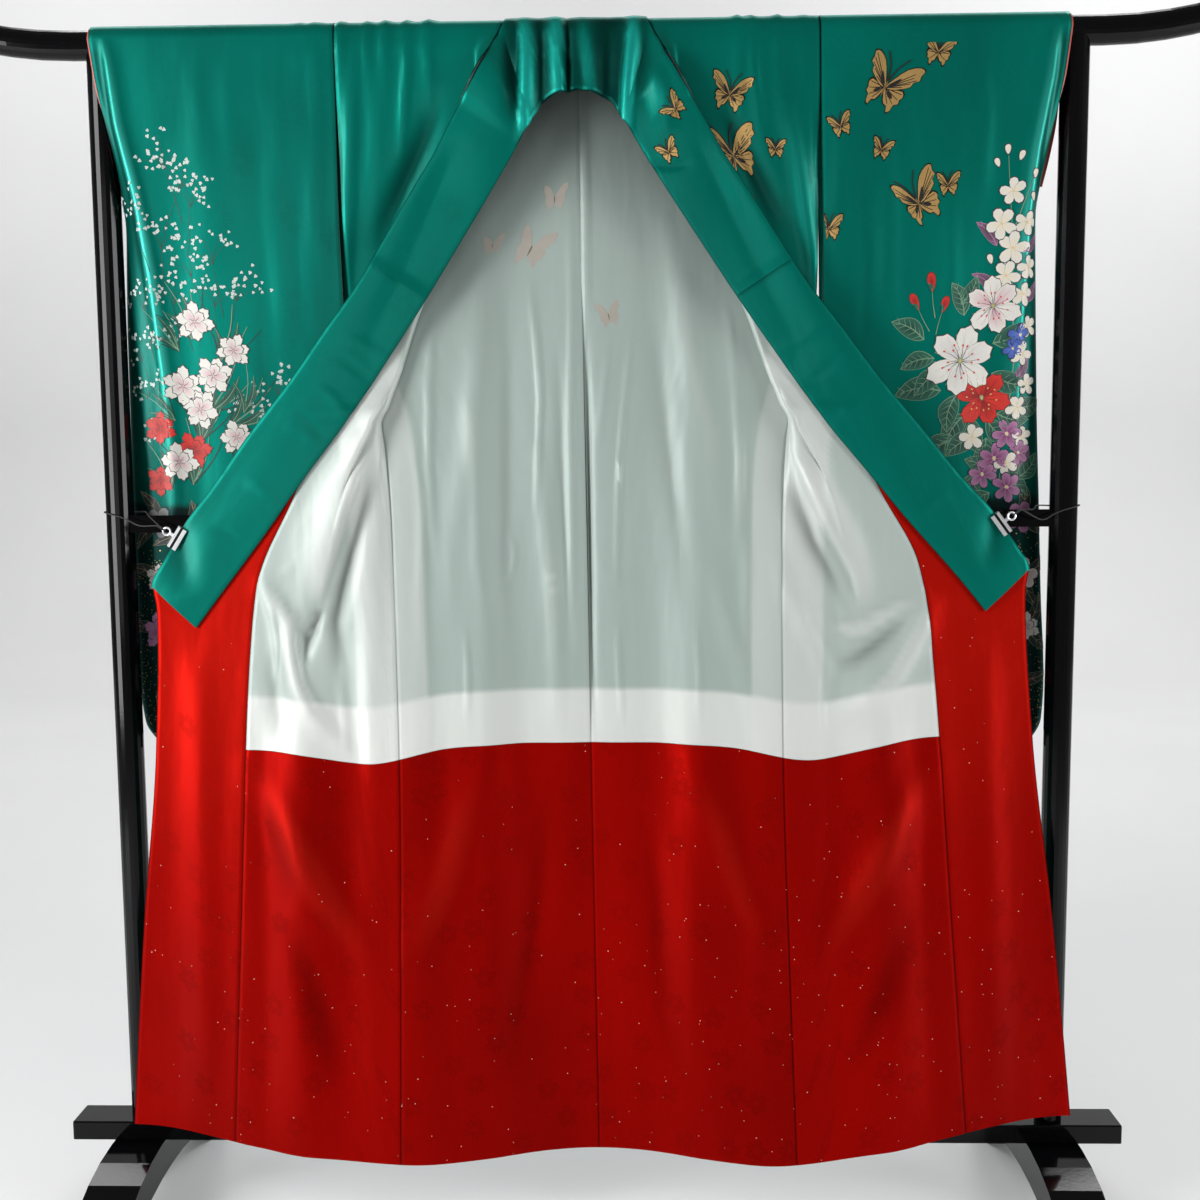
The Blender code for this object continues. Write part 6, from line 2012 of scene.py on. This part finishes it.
# %% [markdown]
# ## The right sleeve, as seen
# Gold butterflies fly over the shoulder. Below them stand tall stems of small white blossoms, broad
# blossoms with red stamens, and red, blue and purple ones among pale-veined leaves.

# %% Draw on the right sleeve
# Each butterfly is (half, z, half its span, turn), and then how broad its far wing looks.
SLEEVE_BUTTERFLIES = (
    (484, 1630, 26, -8, 0.9), (415, 1588, 46, -24, 0.8), (352, 1534, 20, 18, 0.8),
    (408, 1503, 18, -14, 0.85), (456, 1436, 44, 30, 0.6), (497, 1456, 20, 4, 0.8), (338, 1402, 22, 0, 0.3),
)
WHITE_STEM = (
    (586, 1446, 18.5, 8), (572, 1404, 21.5, 30), (604, 1404, 16.5, -20), (588, 1372, 22.5, 60),
    (608, 1346, 16.5, 12), (580, 1336, 20, 44), (602, 1310, 16.5, -8), (612, 1268, 15, 20),
    (604, 1232, 17, 50), (612, 1190, 15, 5), (600, 1158, 16.5, 33), (540, 1118, 18.5, 12),
    (608, 1118, 15, 0), (588, 1082, 17, 26),
)
PURPLE_LEAVES = (
    (566, 1376, 46, 44), (600, 1366, 40, -46), (566, 1316, 44, 56), (606, 1300, 40, -36),
    (594, 1196, 46, -30), (604, 1074, 44, -20),
)
BROAD_LEAVES = (
    (470, 1252, 50, 62), (484, 1226, 46, 108), (524, 1284, 46, 24), (520, 1300, 40, -30),
    (566, 1246, 60, -62), (566, 1205, 55, -108), (494, 1182, 62, 96), (530, 1150, 56, 150),
    (560, 1116, 60, 190), (592, 1160, 52, -80), (586, 1086, 60, 214), (520, 1116, 58, 122),
    (498, 1096, 56, 150), (548, 1070, 56, 170), (498, 1208, 50, 130), (516, 1176, 52, 168),
    (540, 1142, 50, 196), (560, 1142, 50, 232), (548, 1118, 52, 120), (574, 1150, 46, -100),
    (574, 1062, 50, 60), (566, 1040, 50, 130), (604, 1060, 46, -40),
)
RED_BUDS = ((480, 1316, 26, 6), (462, 1292, 24, 26), (494, 1288, 22, -16))
WHITE_BUDS = (
    (578, 1494, 13, 8), (594, 1486, 13, -16), (566, 1478, 12, 26), (612, 1462, 12, -10), (612, 1432, 12, 6),
    (560, 1352, 13, 18), (574, 1346, 12, -14),
)
PURPLE_BLOSSOMS = (
    (588, 1122, 21, 30), (572, 1088, 22, 0), (604, 1096, 18, 50), (556, 1066, 20, 15), (590, 1048, 21, 70),
)


def red_bud(drawing):
    drawing.stroke([(0.06, -1.4), (0.0, -0.6), (0.0, 0.1)], 0.06, LEAF_PALE)
    drawing.patch(petal(0.95, 0.55), VERMILION, DEEP_RED, DEEP_RED)
    leaf(drawing, 0.50, 0.24, LEAF_DYES, lean=24.0)


def draw_right_flowers(drawing):
    drawing.go(590, 1420, 100, 0)
    drawing.stroke([(0.06, -3.0), (0.10, -2.0), (0.02, -1.2), (-0.02, -0.4), (-0.14, 0.72)], 0.022, LEAF_PALE)
    drawing.stroke([(0.0, -0.2), (0.14, 0.2), (0.22, 0.46)], 0.016, LEAF_PALE)
    draw_all(drawing, WHITE_BUDS, lambda d: d.patch(petal(1.0, 0.8), WHITE_DYE, CREAM, OUTLINE), 1.0)
    draw_all(drawing, PURPLE_LEAVES, leaf, 1.0, length=0.9, width=0.34, veins=2,
             dyes_used=((0.16, 0.085, 0.14), (0.10, 0.05, 0.09), LILAC))
    draw_all(drawing, BROAD_LEAVES, leaf, 2.0, 0.3, length=1.0, width=0.54, veins=5, dyes_used=LEAF_DYES)
    draw_all(drawing, RED_BUDS, red_bud, 6.0)
    draw_all(drawing, WHITE_STEM, small_blossom, 6.0, 0.4)
    draw_all(drawing, PURPLE_BLOSSOMS, small_blossom, 8.0, 1.0, dyes_used=DYE_SETS[3], petals=6, slim=0.72)
    draw_all(drawing, ((600, 1256, 16, 0), (592, 1238, 14, 30)), small_blossom, 9.0, 1.0,
             dyes_used=(INDIGO, (0.10, 0.18, 0.55), INK))
    draw_all(drawing, ((564, 1296, 39, 12),), open_blossom, 10.0, dyes_used=DYE_SETS[0])
    draw_all(drawing, ((552, 1172, 39, 20),), open_blossom, 10.0, dyes_used=DYE_SETS[2], tips=YELLOW)
    draw_all(drawing, ((520, 1222, 48, -8),), open_blossom, 13.0,
             dyes_used=(WHITE_DYE, (0.60, 0.58, 0.56), OUTLINE))


DETAILED_FROM = 30


def draw_butterflies(drawing, places):
    for half, z, size, turn, far_wing in places:
        drawing.go(half, z, size, turn, 1.0)
        butterfly(drawing, size > DETAILED_FROM, far_wing=far_wing)


for face, drawing in zip(("front", "back"), sleeve_sides(1)):
    draw_right_flowers(drawing)
    draw_butterflies(drawing, SLEEVE_BUTTERFLIES)
    draw_dark_ground(drawing, 23, DARK_SPOTS)
    drawings["sleeve_" + face + "_R"] = drawing

# %% [markdown]
# ## The body, inside and out
# More butterflies fly over the right shoulder and the collar beside it. A few behind the white lining
# show through it as faint warm shapes. The hidden back carries the same flowers, low down.

# %% Draw on the body
SHOULDER_BUTTERFLIES = ((206, 1580, 32, -14, 0.95), (206, 1502, 46, 8, 0.45), (266, 1506, 16, -6, 0.9))
COLLAR_BUTTERFLIES = ((128, 1552, 20, 24, 0.8), (121, 1498, 18, 2, 0.8))
BACK_BUTTERFLIES = (
    (90, 1500, 48, -20, 0.9), (170, 1560, 30, 24, 0.7), (240, 1470, 46, -8, 0.8), (140, 1400, 26, 30, 0.6),
    (215, 1360, 40, 12, 0.9), (80, 1300, 28, -30, 0.7),
)
GHOSTS = {
    -1: ((36, 1452, 22, 8), (68, 1384, 34, -14), (124, 1388, 18, 16)),
    1: ((36, 1290, 20, 10),),
}
GHOST = (0.40, 0.37, 0.325)
BLOSSOM_SPOTS = {
    -1: ((60, 470), (125, 510), (190, 440), (95, 400), (160, 365)),
    1: ((60, 560), (120, 635), (195, 700), (235, 610), (155, 555), (245, 500), (90, 480)),
}
BACK_SPOTS = {
    -1: (
        (235, 390), (210, 320), (130, 310), (50, 335), (255, 255), (175, 245), (100, 235), (35, 250),
        (225, 170), (145, 155), (70, 145),
    ),
    1: (
        (180, 440), (255, 415), (55, 400), (125, 385), (205, 350), (262, 325), (35, 310), (150, 290),
        (230, 260), (90, 245), (180, 205), (35, 190), (252, 170), (120, 150), (200, 130),
    ),
}
SHOULDER_ROWS = 60
paintings = {}
for side, suffix in SIDES:
    panel = body_panels[side]
    back = Drawing(panel, 0, len(BACK_LEVELS) - 1, -1, OUTER_CLOTH / 2)
    for i, (half, z) in enumerate(BLOSSOM_SPOTS[side]):
        back.go(half, z, 62, 70 * i)
        for lean in (0.0, 130.0, 240.0):
            leaf(back, 1.0, 0.46, LEAF_DYES, lean=lean, veins=4)
        back.go(half, z, 38, 25 * i, 4.0)
        (open_blossom if i % 2 else ruffled_blossom)(back)
    draw_dark_ground(back, 30 + side, BACK_SPOTS[side])
    drawings["back_" + suffix] = back
    ghosts = Drawing(panel, 0, len(BACK_LEVELS) - 1, 1, LINING_OUTER - DYE_LIFT * 0.6)
    for half, z, size, turn in GHOSTS[side]:
        ghosts.go(half, z, size, turn)
        butterfly(ghosts, False, GHOST, GHOST, 0.0, 0.85)
    shown = ghosts.build("show_through_" + suffix, dyes, "white_lining_silk")
    paintings["show_through_" + suffix] = [shown]
draw_butterflies(back, BACK_BUTTERFLIES)
shoulder = Drawing(panel, BODY_FRONT_ROW, BODY_FRONT_ROW + SHOULDER_ROWS, -1, OUTER_CLOTH / 2)
draw_butterflies(shoulder, SHOULDER_BUTTERFLIES)
drawings["shoulder_R"] = shoulder
half_rows = len(over_cloth.world) // 2
on_collar = Drawing(over_cloth, half_rows + 1, len(over_cloth.world) - 1, 1,
                    OVER_COLLAR_OFFSET + OVER_COLLAR_CLOTH)
draw_butterflies(on_collar, COLLAR_BUTTERFLIES)
drawings["collar_R"] = on_collar

for name, drawing in drawings.items():
    paintings[name] = [drawing.build("painting_" + name, dyes, "green_silk")]
    print(name, len(paintings[name][0].data.polygons), "faces,", len(drawing.buds), "buds")

# %% [markdown]
# ## Geometry Nodes for what is small and many
# Tiny blossoms, flakes of gold and specks of light thread number in the thousands. A small node tree puts
# one flat disc on every point. Another first scatters the points over a stretch of cloth. Their results
# are made plain meshes, so nothing is left to evaluate.

# %% Node trees
class Nodes:
    """A Geometry Nodes tree with named inputs, built step by step."""

    def __init__(self, name, **inputs):
        self.group = bpy.data.node_groups.new(name, "GeometryNodeTree")
        self.group.interface.new_socket("Geometry", in_out="INPUT", socket_type="NodeSocketGeometry")
        self.group.interface.new_socket("Geometry", in_out="OUTPUT", socket_type="NodeSocketGeometry")
        self.names = {}
        for label, (kind, value) in inputs.items():
            socket = self.group.interface.new_socket(label, in_out="INPUT", socket_type="NodeSocket" + kind)
            socket.default_value = value
            self.names[label] = socket.identifier
        self.entry = self.add("NodeGroupInput")
        self.exit = self.add("NodeGroupOutput")

    def add(self, kind, **settings):
        node = self.group.nodes.new(kind)
        for name, value in settings.items():
            if name in node.inputs:
                node.inputs[name].default_value = value
            else:
                setattr(node, name, value)
        return node

    def link(self, source, output, target, entry):
        self.group.links.new(source.outputs[output], target.inputs[entry])

    def named(self, name, kind="FLOAT"):
        return self.add("GeometryNodeInputNamedAttribute", data_type=kind, Name=name)

    def discs(self, points, output, corners, rotation, turn_output, scale, scale_output, material):
        """A disc on every point, made real and given its material."""
        disc = self.add("GeometryNodeMeshCircle", fill_type="TRIANGLE_FAN", Vertices=corners, Radius=1.0)
        put = self.add("GeometryNodeInstanceOnPoints")
        self.link(points, output, put, "Points")
        self.link(disc, "Mesh", put, "Instance")
        self.link(rotation, turn_output, put, "Rotation")
        self.link(scale, scale_output, put, "Scale")
        real = self.add("GeometryNodeRealizeInstances")
        coat = self.add("GeometryNodeSetMaterial", Material=material)
        self.link(put, 0, real, 0)
        self.link(real, 0, coat, 0)
        self.link(coat, 0, self.exit, 0)
        return self


def run_nodes(name, mesh, nodes, slot, **values):
    """Evaluate a tree on a mesh and keep the result as a plain mesh."""
    source = new_object(name + "_source", mesh)
    modifier = source.modifiers.new("nodes", "NODES")
    modifier.node_group = nodes.group
    for label, value in values.items():
        modifier[nodes.names[label]] = value
    result = bpy.data.meshes.new_from_object(source.evaluated_get(bpy.context.evaluated_depsgraph_get()))
    result.name = name
    source.modifiers.clear()
    bpy.data.objects.remove(source)
    print(name, len(result.polygons), "faces")
    return dress(new_object(name, result), slot)


def speck_material(name, light, dark, metallic=0.0):
    tree = Tree(name, 0.4, Metallic=metallic)
    cloud = tree.noise(tree.place(), 400.0)
    return tree.finish(tree.mix(cloud, light, dark), cloud * 0.15 + 0.34)


# %% Tiny blossoms on the sprays
def blossom_nodes(material):
    nodes = Nodes("tiny blossoms", Petal=("Float", 1.0))
    align = nodes.add("FunctionNodeAlignRotationToVector", axis="Z")
    nodes.link(nodes.named("outward", "FLOAT_VECTOR"), 0, align, "Vector")
    scale = nodes.add("ShaderNodeMath", operation="MULTIPLY")
    nodes.link(nodes.named("size"), 0, scale, 0)
    nodes.link(nodes.entry, "Petal", scale, 1)
    points = nodes.add("GeometryNodeMeshToPoints")
    nodes.link(nodes.entry, "Geometry", points, "Mesh")
    return nodes.discs(points, 0, 7, align, 0, scale, 0, material)


PETALS_EACH = 3
PETAL_OUT = 0.40
PETAL_SIZE = 0.46
tiny = blossom_nodes(speck_material("white resist on silk", (0.62, 0.70, 0.66), (0.42, 0.52, 0.48)))
for name, drawing in drawings.items():
    if not drawing.buds:
        continue
    centres, outwards, sizes = [], [], []
    for point, normal, size, turn in drawing.buds:
        sideways = np.cross(normal, (0.0, 0.0, 1.0))
        sideways /= np.linalg.norm(sideways)
        upwards = np.cross(sideways, normal)
        for i in range(PETALS_EACH):
            angle = turn + 2 * math.pi * i / PETALS_EACH
            direction = sideways * math.cos(angle) + upwards * math.sin(angle)
            centres.append(point + direction * PETAL_OUT * size)
            outwards.append(normal)
            sizes.append(size * PETAL_SIZE)
    dots = bpy.data.meshes.new("buds_" + name)
    dots.from_pydata(centres, [], [])
    dots.attributes.new("outward", "FLOAT_VECTOR", "POINT").data.foreach_set("vector", np.ravel(outwards))
    number_on(dots, "size", sizes)
    paintings[name].append(run_nodes("tiny_blossoms_" + name, dots, tiny, "green_silk", Petal=1.0))


# %% Flakes of gold leaf and specks of light thread
def flake_nodes(name, material):
    """Discs scattered over a mesh, where its attribute 'where' allows them."""
    nodes = Nodes(name, PerMetre=("Float", 1000.0), Seed=("Int", 1), Smallest=("Float", 0.0004),
                  Largest=("Float", 0.0012))
    dense = nodes.add("ShaderNodeMath", operation="MULTIPLY")
    nodes.link(nodes.named("where"), 0, dense, 0)
    nodes.link(nodes.entry, "PerMetre", dense, 1)
    scatter = nodes.add("GeometryNodeDistributePointsOnFaces")
    nodes.link(nodes.entry, "Geometry", scatter, "Mesh")
    nodes.link(dense, 0, scatter, "Density")
    nodes.link(nodes.entry, "Seed", scatter, "Seed")
    chance = nodes.add("FunctionNodeRandomValue", data_type="FLOAT")
    nodes.link(nodes.entry, "Smallest", chance, "Min")
    nodes.link(nodes.entry, "Largest", chance, "Max")
    return nodes.discs(scatter, "Points", 5, scatter, "Rotation", chance, 1, material)


def cloth_patch(name, panel, first, last, face, lift, where):
    """The bare surface of a stretch of cloth, with a mask of where flakes may lie."""
    part = panel.part(first, last)
    points = part.world + part.normals * face * lift
    _, corners = grid_faces(*points.shape[:2])
    a, b, c = points.reshape(-1, 3)[corners[0, :3]]
    if np.dot(np.cross(b - a, c - a), part.normals[0, 0] * face) < 0:
        corners = corners[:, ::-1]
    mesh = bpy.data.meshes.new(name)
    mesh.from_pydata(points.reshape(-1, 3), [], corners.tolist())
    number_on(mesh, "where", where(part.local[..., 0], part.local[..., 2]))
    return mesh


# %% Where flakes and specks may lie
FLAKES_FROM = (DARK_GROUND_LEVEL - 0.02, 0.12)
FEWEST_FLAKES = 0.35
SPECKS_MOST_FROM = (0.62, 0.3)
FEWEST_SPECKS = 0.4
FLAKES_PER_METRE = 26000.0
SPECKS_PER_METRE = 600.0
SMALLEST_FLAKE = 0.0004
LARGEST_FLAKE = 0.0012
LARGEST_SPECK = 0.0010
OKUMI_SPECKS_ROW = 40


def on_dark_ground(half, z):
    """Gold flakes drift in slow waves over the black ground."""
    drift = 0.5 + 0.5 * np.sin(half * 34.0 + z * 9.0) * np.cos(z * 23.0 - half * 12.0)
    return below(z, FLAKES_FROM) * (FEWEST_FLAKES + (1 - FEWEST_FLAKES) * drift)


def on_red_lining(_, z):
    """Specks of light thread lie closer together towards the hem."""
    return FEWEST_SPECKS + (1 - FEWEST_SPECKS) * below(z, SPECKS_MOST_FROM)


flakes = flake_nodes("gold flakes", speck_material("gold leaf", (0.80, 0.56, 0.22), (0.50, 0.30, 0.09), 0.9))
specks = flake_nodes("thread specks", speck_material("pale thread", (0.80, 0.42, 0.36), (0.62, 0.20, 0.16)))
for side, suffix in SIDES:
    sleeve_front = (SLEEVE_FRONT_ROW, len(sleeve_panels[side].world) - 1)
    for part, rows, seed in (("front", sleeve_front, 5), ("back", (0, len(SLEEVE_LEVELS) - 1), 6)):
        mesh = cloth_patch("flakes", sleeve_panels[side], *rows, -1, OUTER_CLOTH / 2 + 0.0002, on_dark_ground)
        dust = run_nodes("gold_dust_" + part + "_" + suffix, mesh, flakes, "green_silk",
                         PerMetre=FLAKES_PER_METRE, Seed=seed + side, Smallest=SMALLEST_FLAKE,
                         Largest=LARGEST_FLAKE)
        paintings["sleeve_" + part + "_" + suffix].append(dust)
    stretches = (("back", body_panels[side], 0, BACK_SEAM_ROW),
                 ("front", body_panels[side], FRONT_SEAM_ROW, len(body_panels[side].world) - 1),
                 ("okumi", okumi_panels[side], OKUMI_SPECKS_ROW, len(okumi_panels[side].world) - 1))
    for part, cloth, low, high in stretches:
        mesh = cloth_patch("specks", cloth, low, high, 1, LINING_OUTER + 0.0001, on_red_lining)
        dots = run_nodes("thread_specks_" + part + "_" + suffix, mesh, specks, "red_lining_silk",
                         PerMetre=SPECKS_PER_METRE, Seed=9 + side, Smallest=SMALLEST_FLAKE,
                         Largest=LARGEST_SPECK)
        paintings["specks_" + part + "_" + suffix] = [dots]

# %% [markdown]
# ## The flat cuts
# Every piece here was cut flat from a bolt about 38 cm wide. Each is listed with the flat size of the
# stretch that shows, without its seam allowances, and printed beside the area measured on its wall.
# The size was measured along the warp and the weft of the hung cloth, and rounded.

# %% List each sheet
# Each cut is (piece, width, length, flat area where it isn't a rectangle, what lies on it).
CUTS = (
    ("body_silk_", 0.330, 3.200, 0.840, ("back_", "shoulder_")),
    ("white_lining_", 0.330, 2.000, 0.530, ("show_through_",)),
    ("red_lining_back_", 0.280, 0.590, None, ("specks_back_",)),
    ("red_lining_front_", 0.230, 0.590, None, ("specks_front_",)),
    ("okumi_silk_", 0.157, 1.360, 0.155, ()),
    ("okumi_red_lining_", 0.157, 1.360, 0.155, ("specks_okumi_",)),
    ("sleeve_silk_", 0.333, 2.050, None, ("sleeve_front_", "sleeve_back_")),
    ("sleeve_edge_lining_", 0.026, 0.420, None, ()),
)
COLLAR_CUTS = (("collar_silk", 0.105, 2.060, 0.195), ("over_collar_silk", 0.095, 0.990, None))
for name, width, length, area, on_it in CUTS:
    for suffix in ("L", "R"):
        cloth = bpy.data.objects[name + suffix]
        own = [piece for start in on_it for piece in paintings.get(start + suffix, ())]
        measured = sum(face.area for face in cloth.data.polygons) / 2
        print(cloth.name, "cut", round(area or width * length, 3), "measured", round(measured, 3))
for name, width, length, area in COLLAR_CUTS:
    own = paintings["collar_R"] if name == "over_collar_silk" else []

# %% [markdown]
# ## The rack and the clips
# The rack keeps its solids, because a turned and lacquered rack is as smooth as they are. It takes a deep
# black lacquer, glossy, with the faint unevenness of a brushed coat and a little dust. The clips stay
# too, in polished chrome, with painted shade in the groove between their two bars.

# %% Rack and clips
RACK_PARTS = ("rail", "post_L", "post_R", "mid_rail", "base_board", "foot_L", "foot_R")
for node in RACK_PARTS:
    refinish(node, black)
for side, suffix in SIDES:
    refinish("clip_" + suffix, chrome("polished chrome " + suffix, side))
print("refinished solids:", len(RACK_PARTS) + len(SIDES))

# %% [markdown]
# ## Studio floor and light
# A pale floor runs back and curves up behind the rack, so no horizon shows. Two tall soft lights stand
# at the front left and right, and give the satin its vertical sheen and the lacquer its long highlights.
# A weak one in front opens the shade. Two high ones light the backdrop, and one the floor behind.

# %% Floor that curves up behind
FLOOR_FRONT = -5.0
FLOOR_BACK = 4.6
SWEEP_RADIUS = 1.4
SWEEP_TOP = 6.0
FLOOR_HALF = 6.0
FLOOR_GAP = 0.0002


def floor_material():
    tree = Tree("pale studio paper", 0.75)
    cloud = tree.noise(tree.place(), 1.5, detail=3.0)
    return tree.finish(tree.mix(cloud, (0.80, 0.80, 0.80), (0.75, 0.75, 0.76)), cloud * 0.1 + 0.7)


profile = [(FLOOR_FRONT, 0.0), (FLOOR_BACK, 0.0)]
for angle in np.linspace(0.0, math.pi / 2, 24)[1:]:
    profile.append((FLOOR_BACK + SWEEP_RADIUS * math.sin(angle), SWEEP_RADIUS * (1 - math.cos(angle))))
profile.append((FLOOR_BACK + SWEEP_RADIUS, SWEEP_TOP))
corners = [(x, y, z - FLOOR_GAP) for y, z in profile for x in (-FLOOR_HALF, FLOOR_HALF)]
strips = [(2 * i, 2 * i + 1, 2 * i + 3, 2 * i + 2) for i in range(len(profile) - 1)]
paper_mesh = bpy.data.meshes.new("studio_paper")
paper_mesh.from_pydata(corners, [], strips)
paper_mesh.shade_smooth()
paper_mesh.materials.append(floor_material())
new_object("studio_paper", paper_mesh)
print("paper strips:", len(strips))

# %% Soft lights
# Each is (name, place, width and height, watts, the point it looks at).
LIGHTS = (
    ("left_softbox", (-2.2, -1.5, 1.4), (0.8, 2.2), 68.0, (0.0, 0.0, 0.95)),
    ("right_softbox", (2.5, -1.2, 1.4), (0.7, 2.2), 42.0, (0.0, 0.0, 0.95)),
    ("front_fill", (-0.6, -3.2, 1.3), (1.2, 1.6), 7.0, (0.0, 0.0, 0.95)),
    ("left_backdrop_light", (-3.4, 2.8, 5.0), (2.6, 1.6), 124.0, (-2.2, 5.6, 0.4)),
    ("right_backdrop_light", (3.4, 2.8, 5.0), (2.6, 1.6), 150.0, (2.2, 5.6, 0.4)),
    ("floor_light", (0.0, 1.5, 3.6), (3.2, 0.8), 24.0, (0.0, 1.3, 0.0)),
)
for name, spot, size, power, target in LIGHTS:
    light = bpy.data.lights.new(name, "AREA")
    light.shape = "RECTANGLE"
    light.size, light.size_y = size
    light.energy = power
    lamp = new_object(name, light)
    lamp.location = spot
    lamp.rotation_euler = (Vector(target) - Vector(spot)).to_track_quat("-Z", "Y").to_euler()

# %% World
WORLD_STRENGTH = 0.16
world = bpy.data.worlds.new("studio")
world.use_nodes = True
background = world.node_tree.nodes["Background"]
background.inputs["Color"].default_value = (1.0, 1.0, 1.0, 1.0)
background.inputs["Strength"].default_value = WORLD_STRENGTH
bpy.context.scene.world = world
bpy.context.scene.view_settings.view_transform = "Standard"
print("lights:", len(LIGHTS))
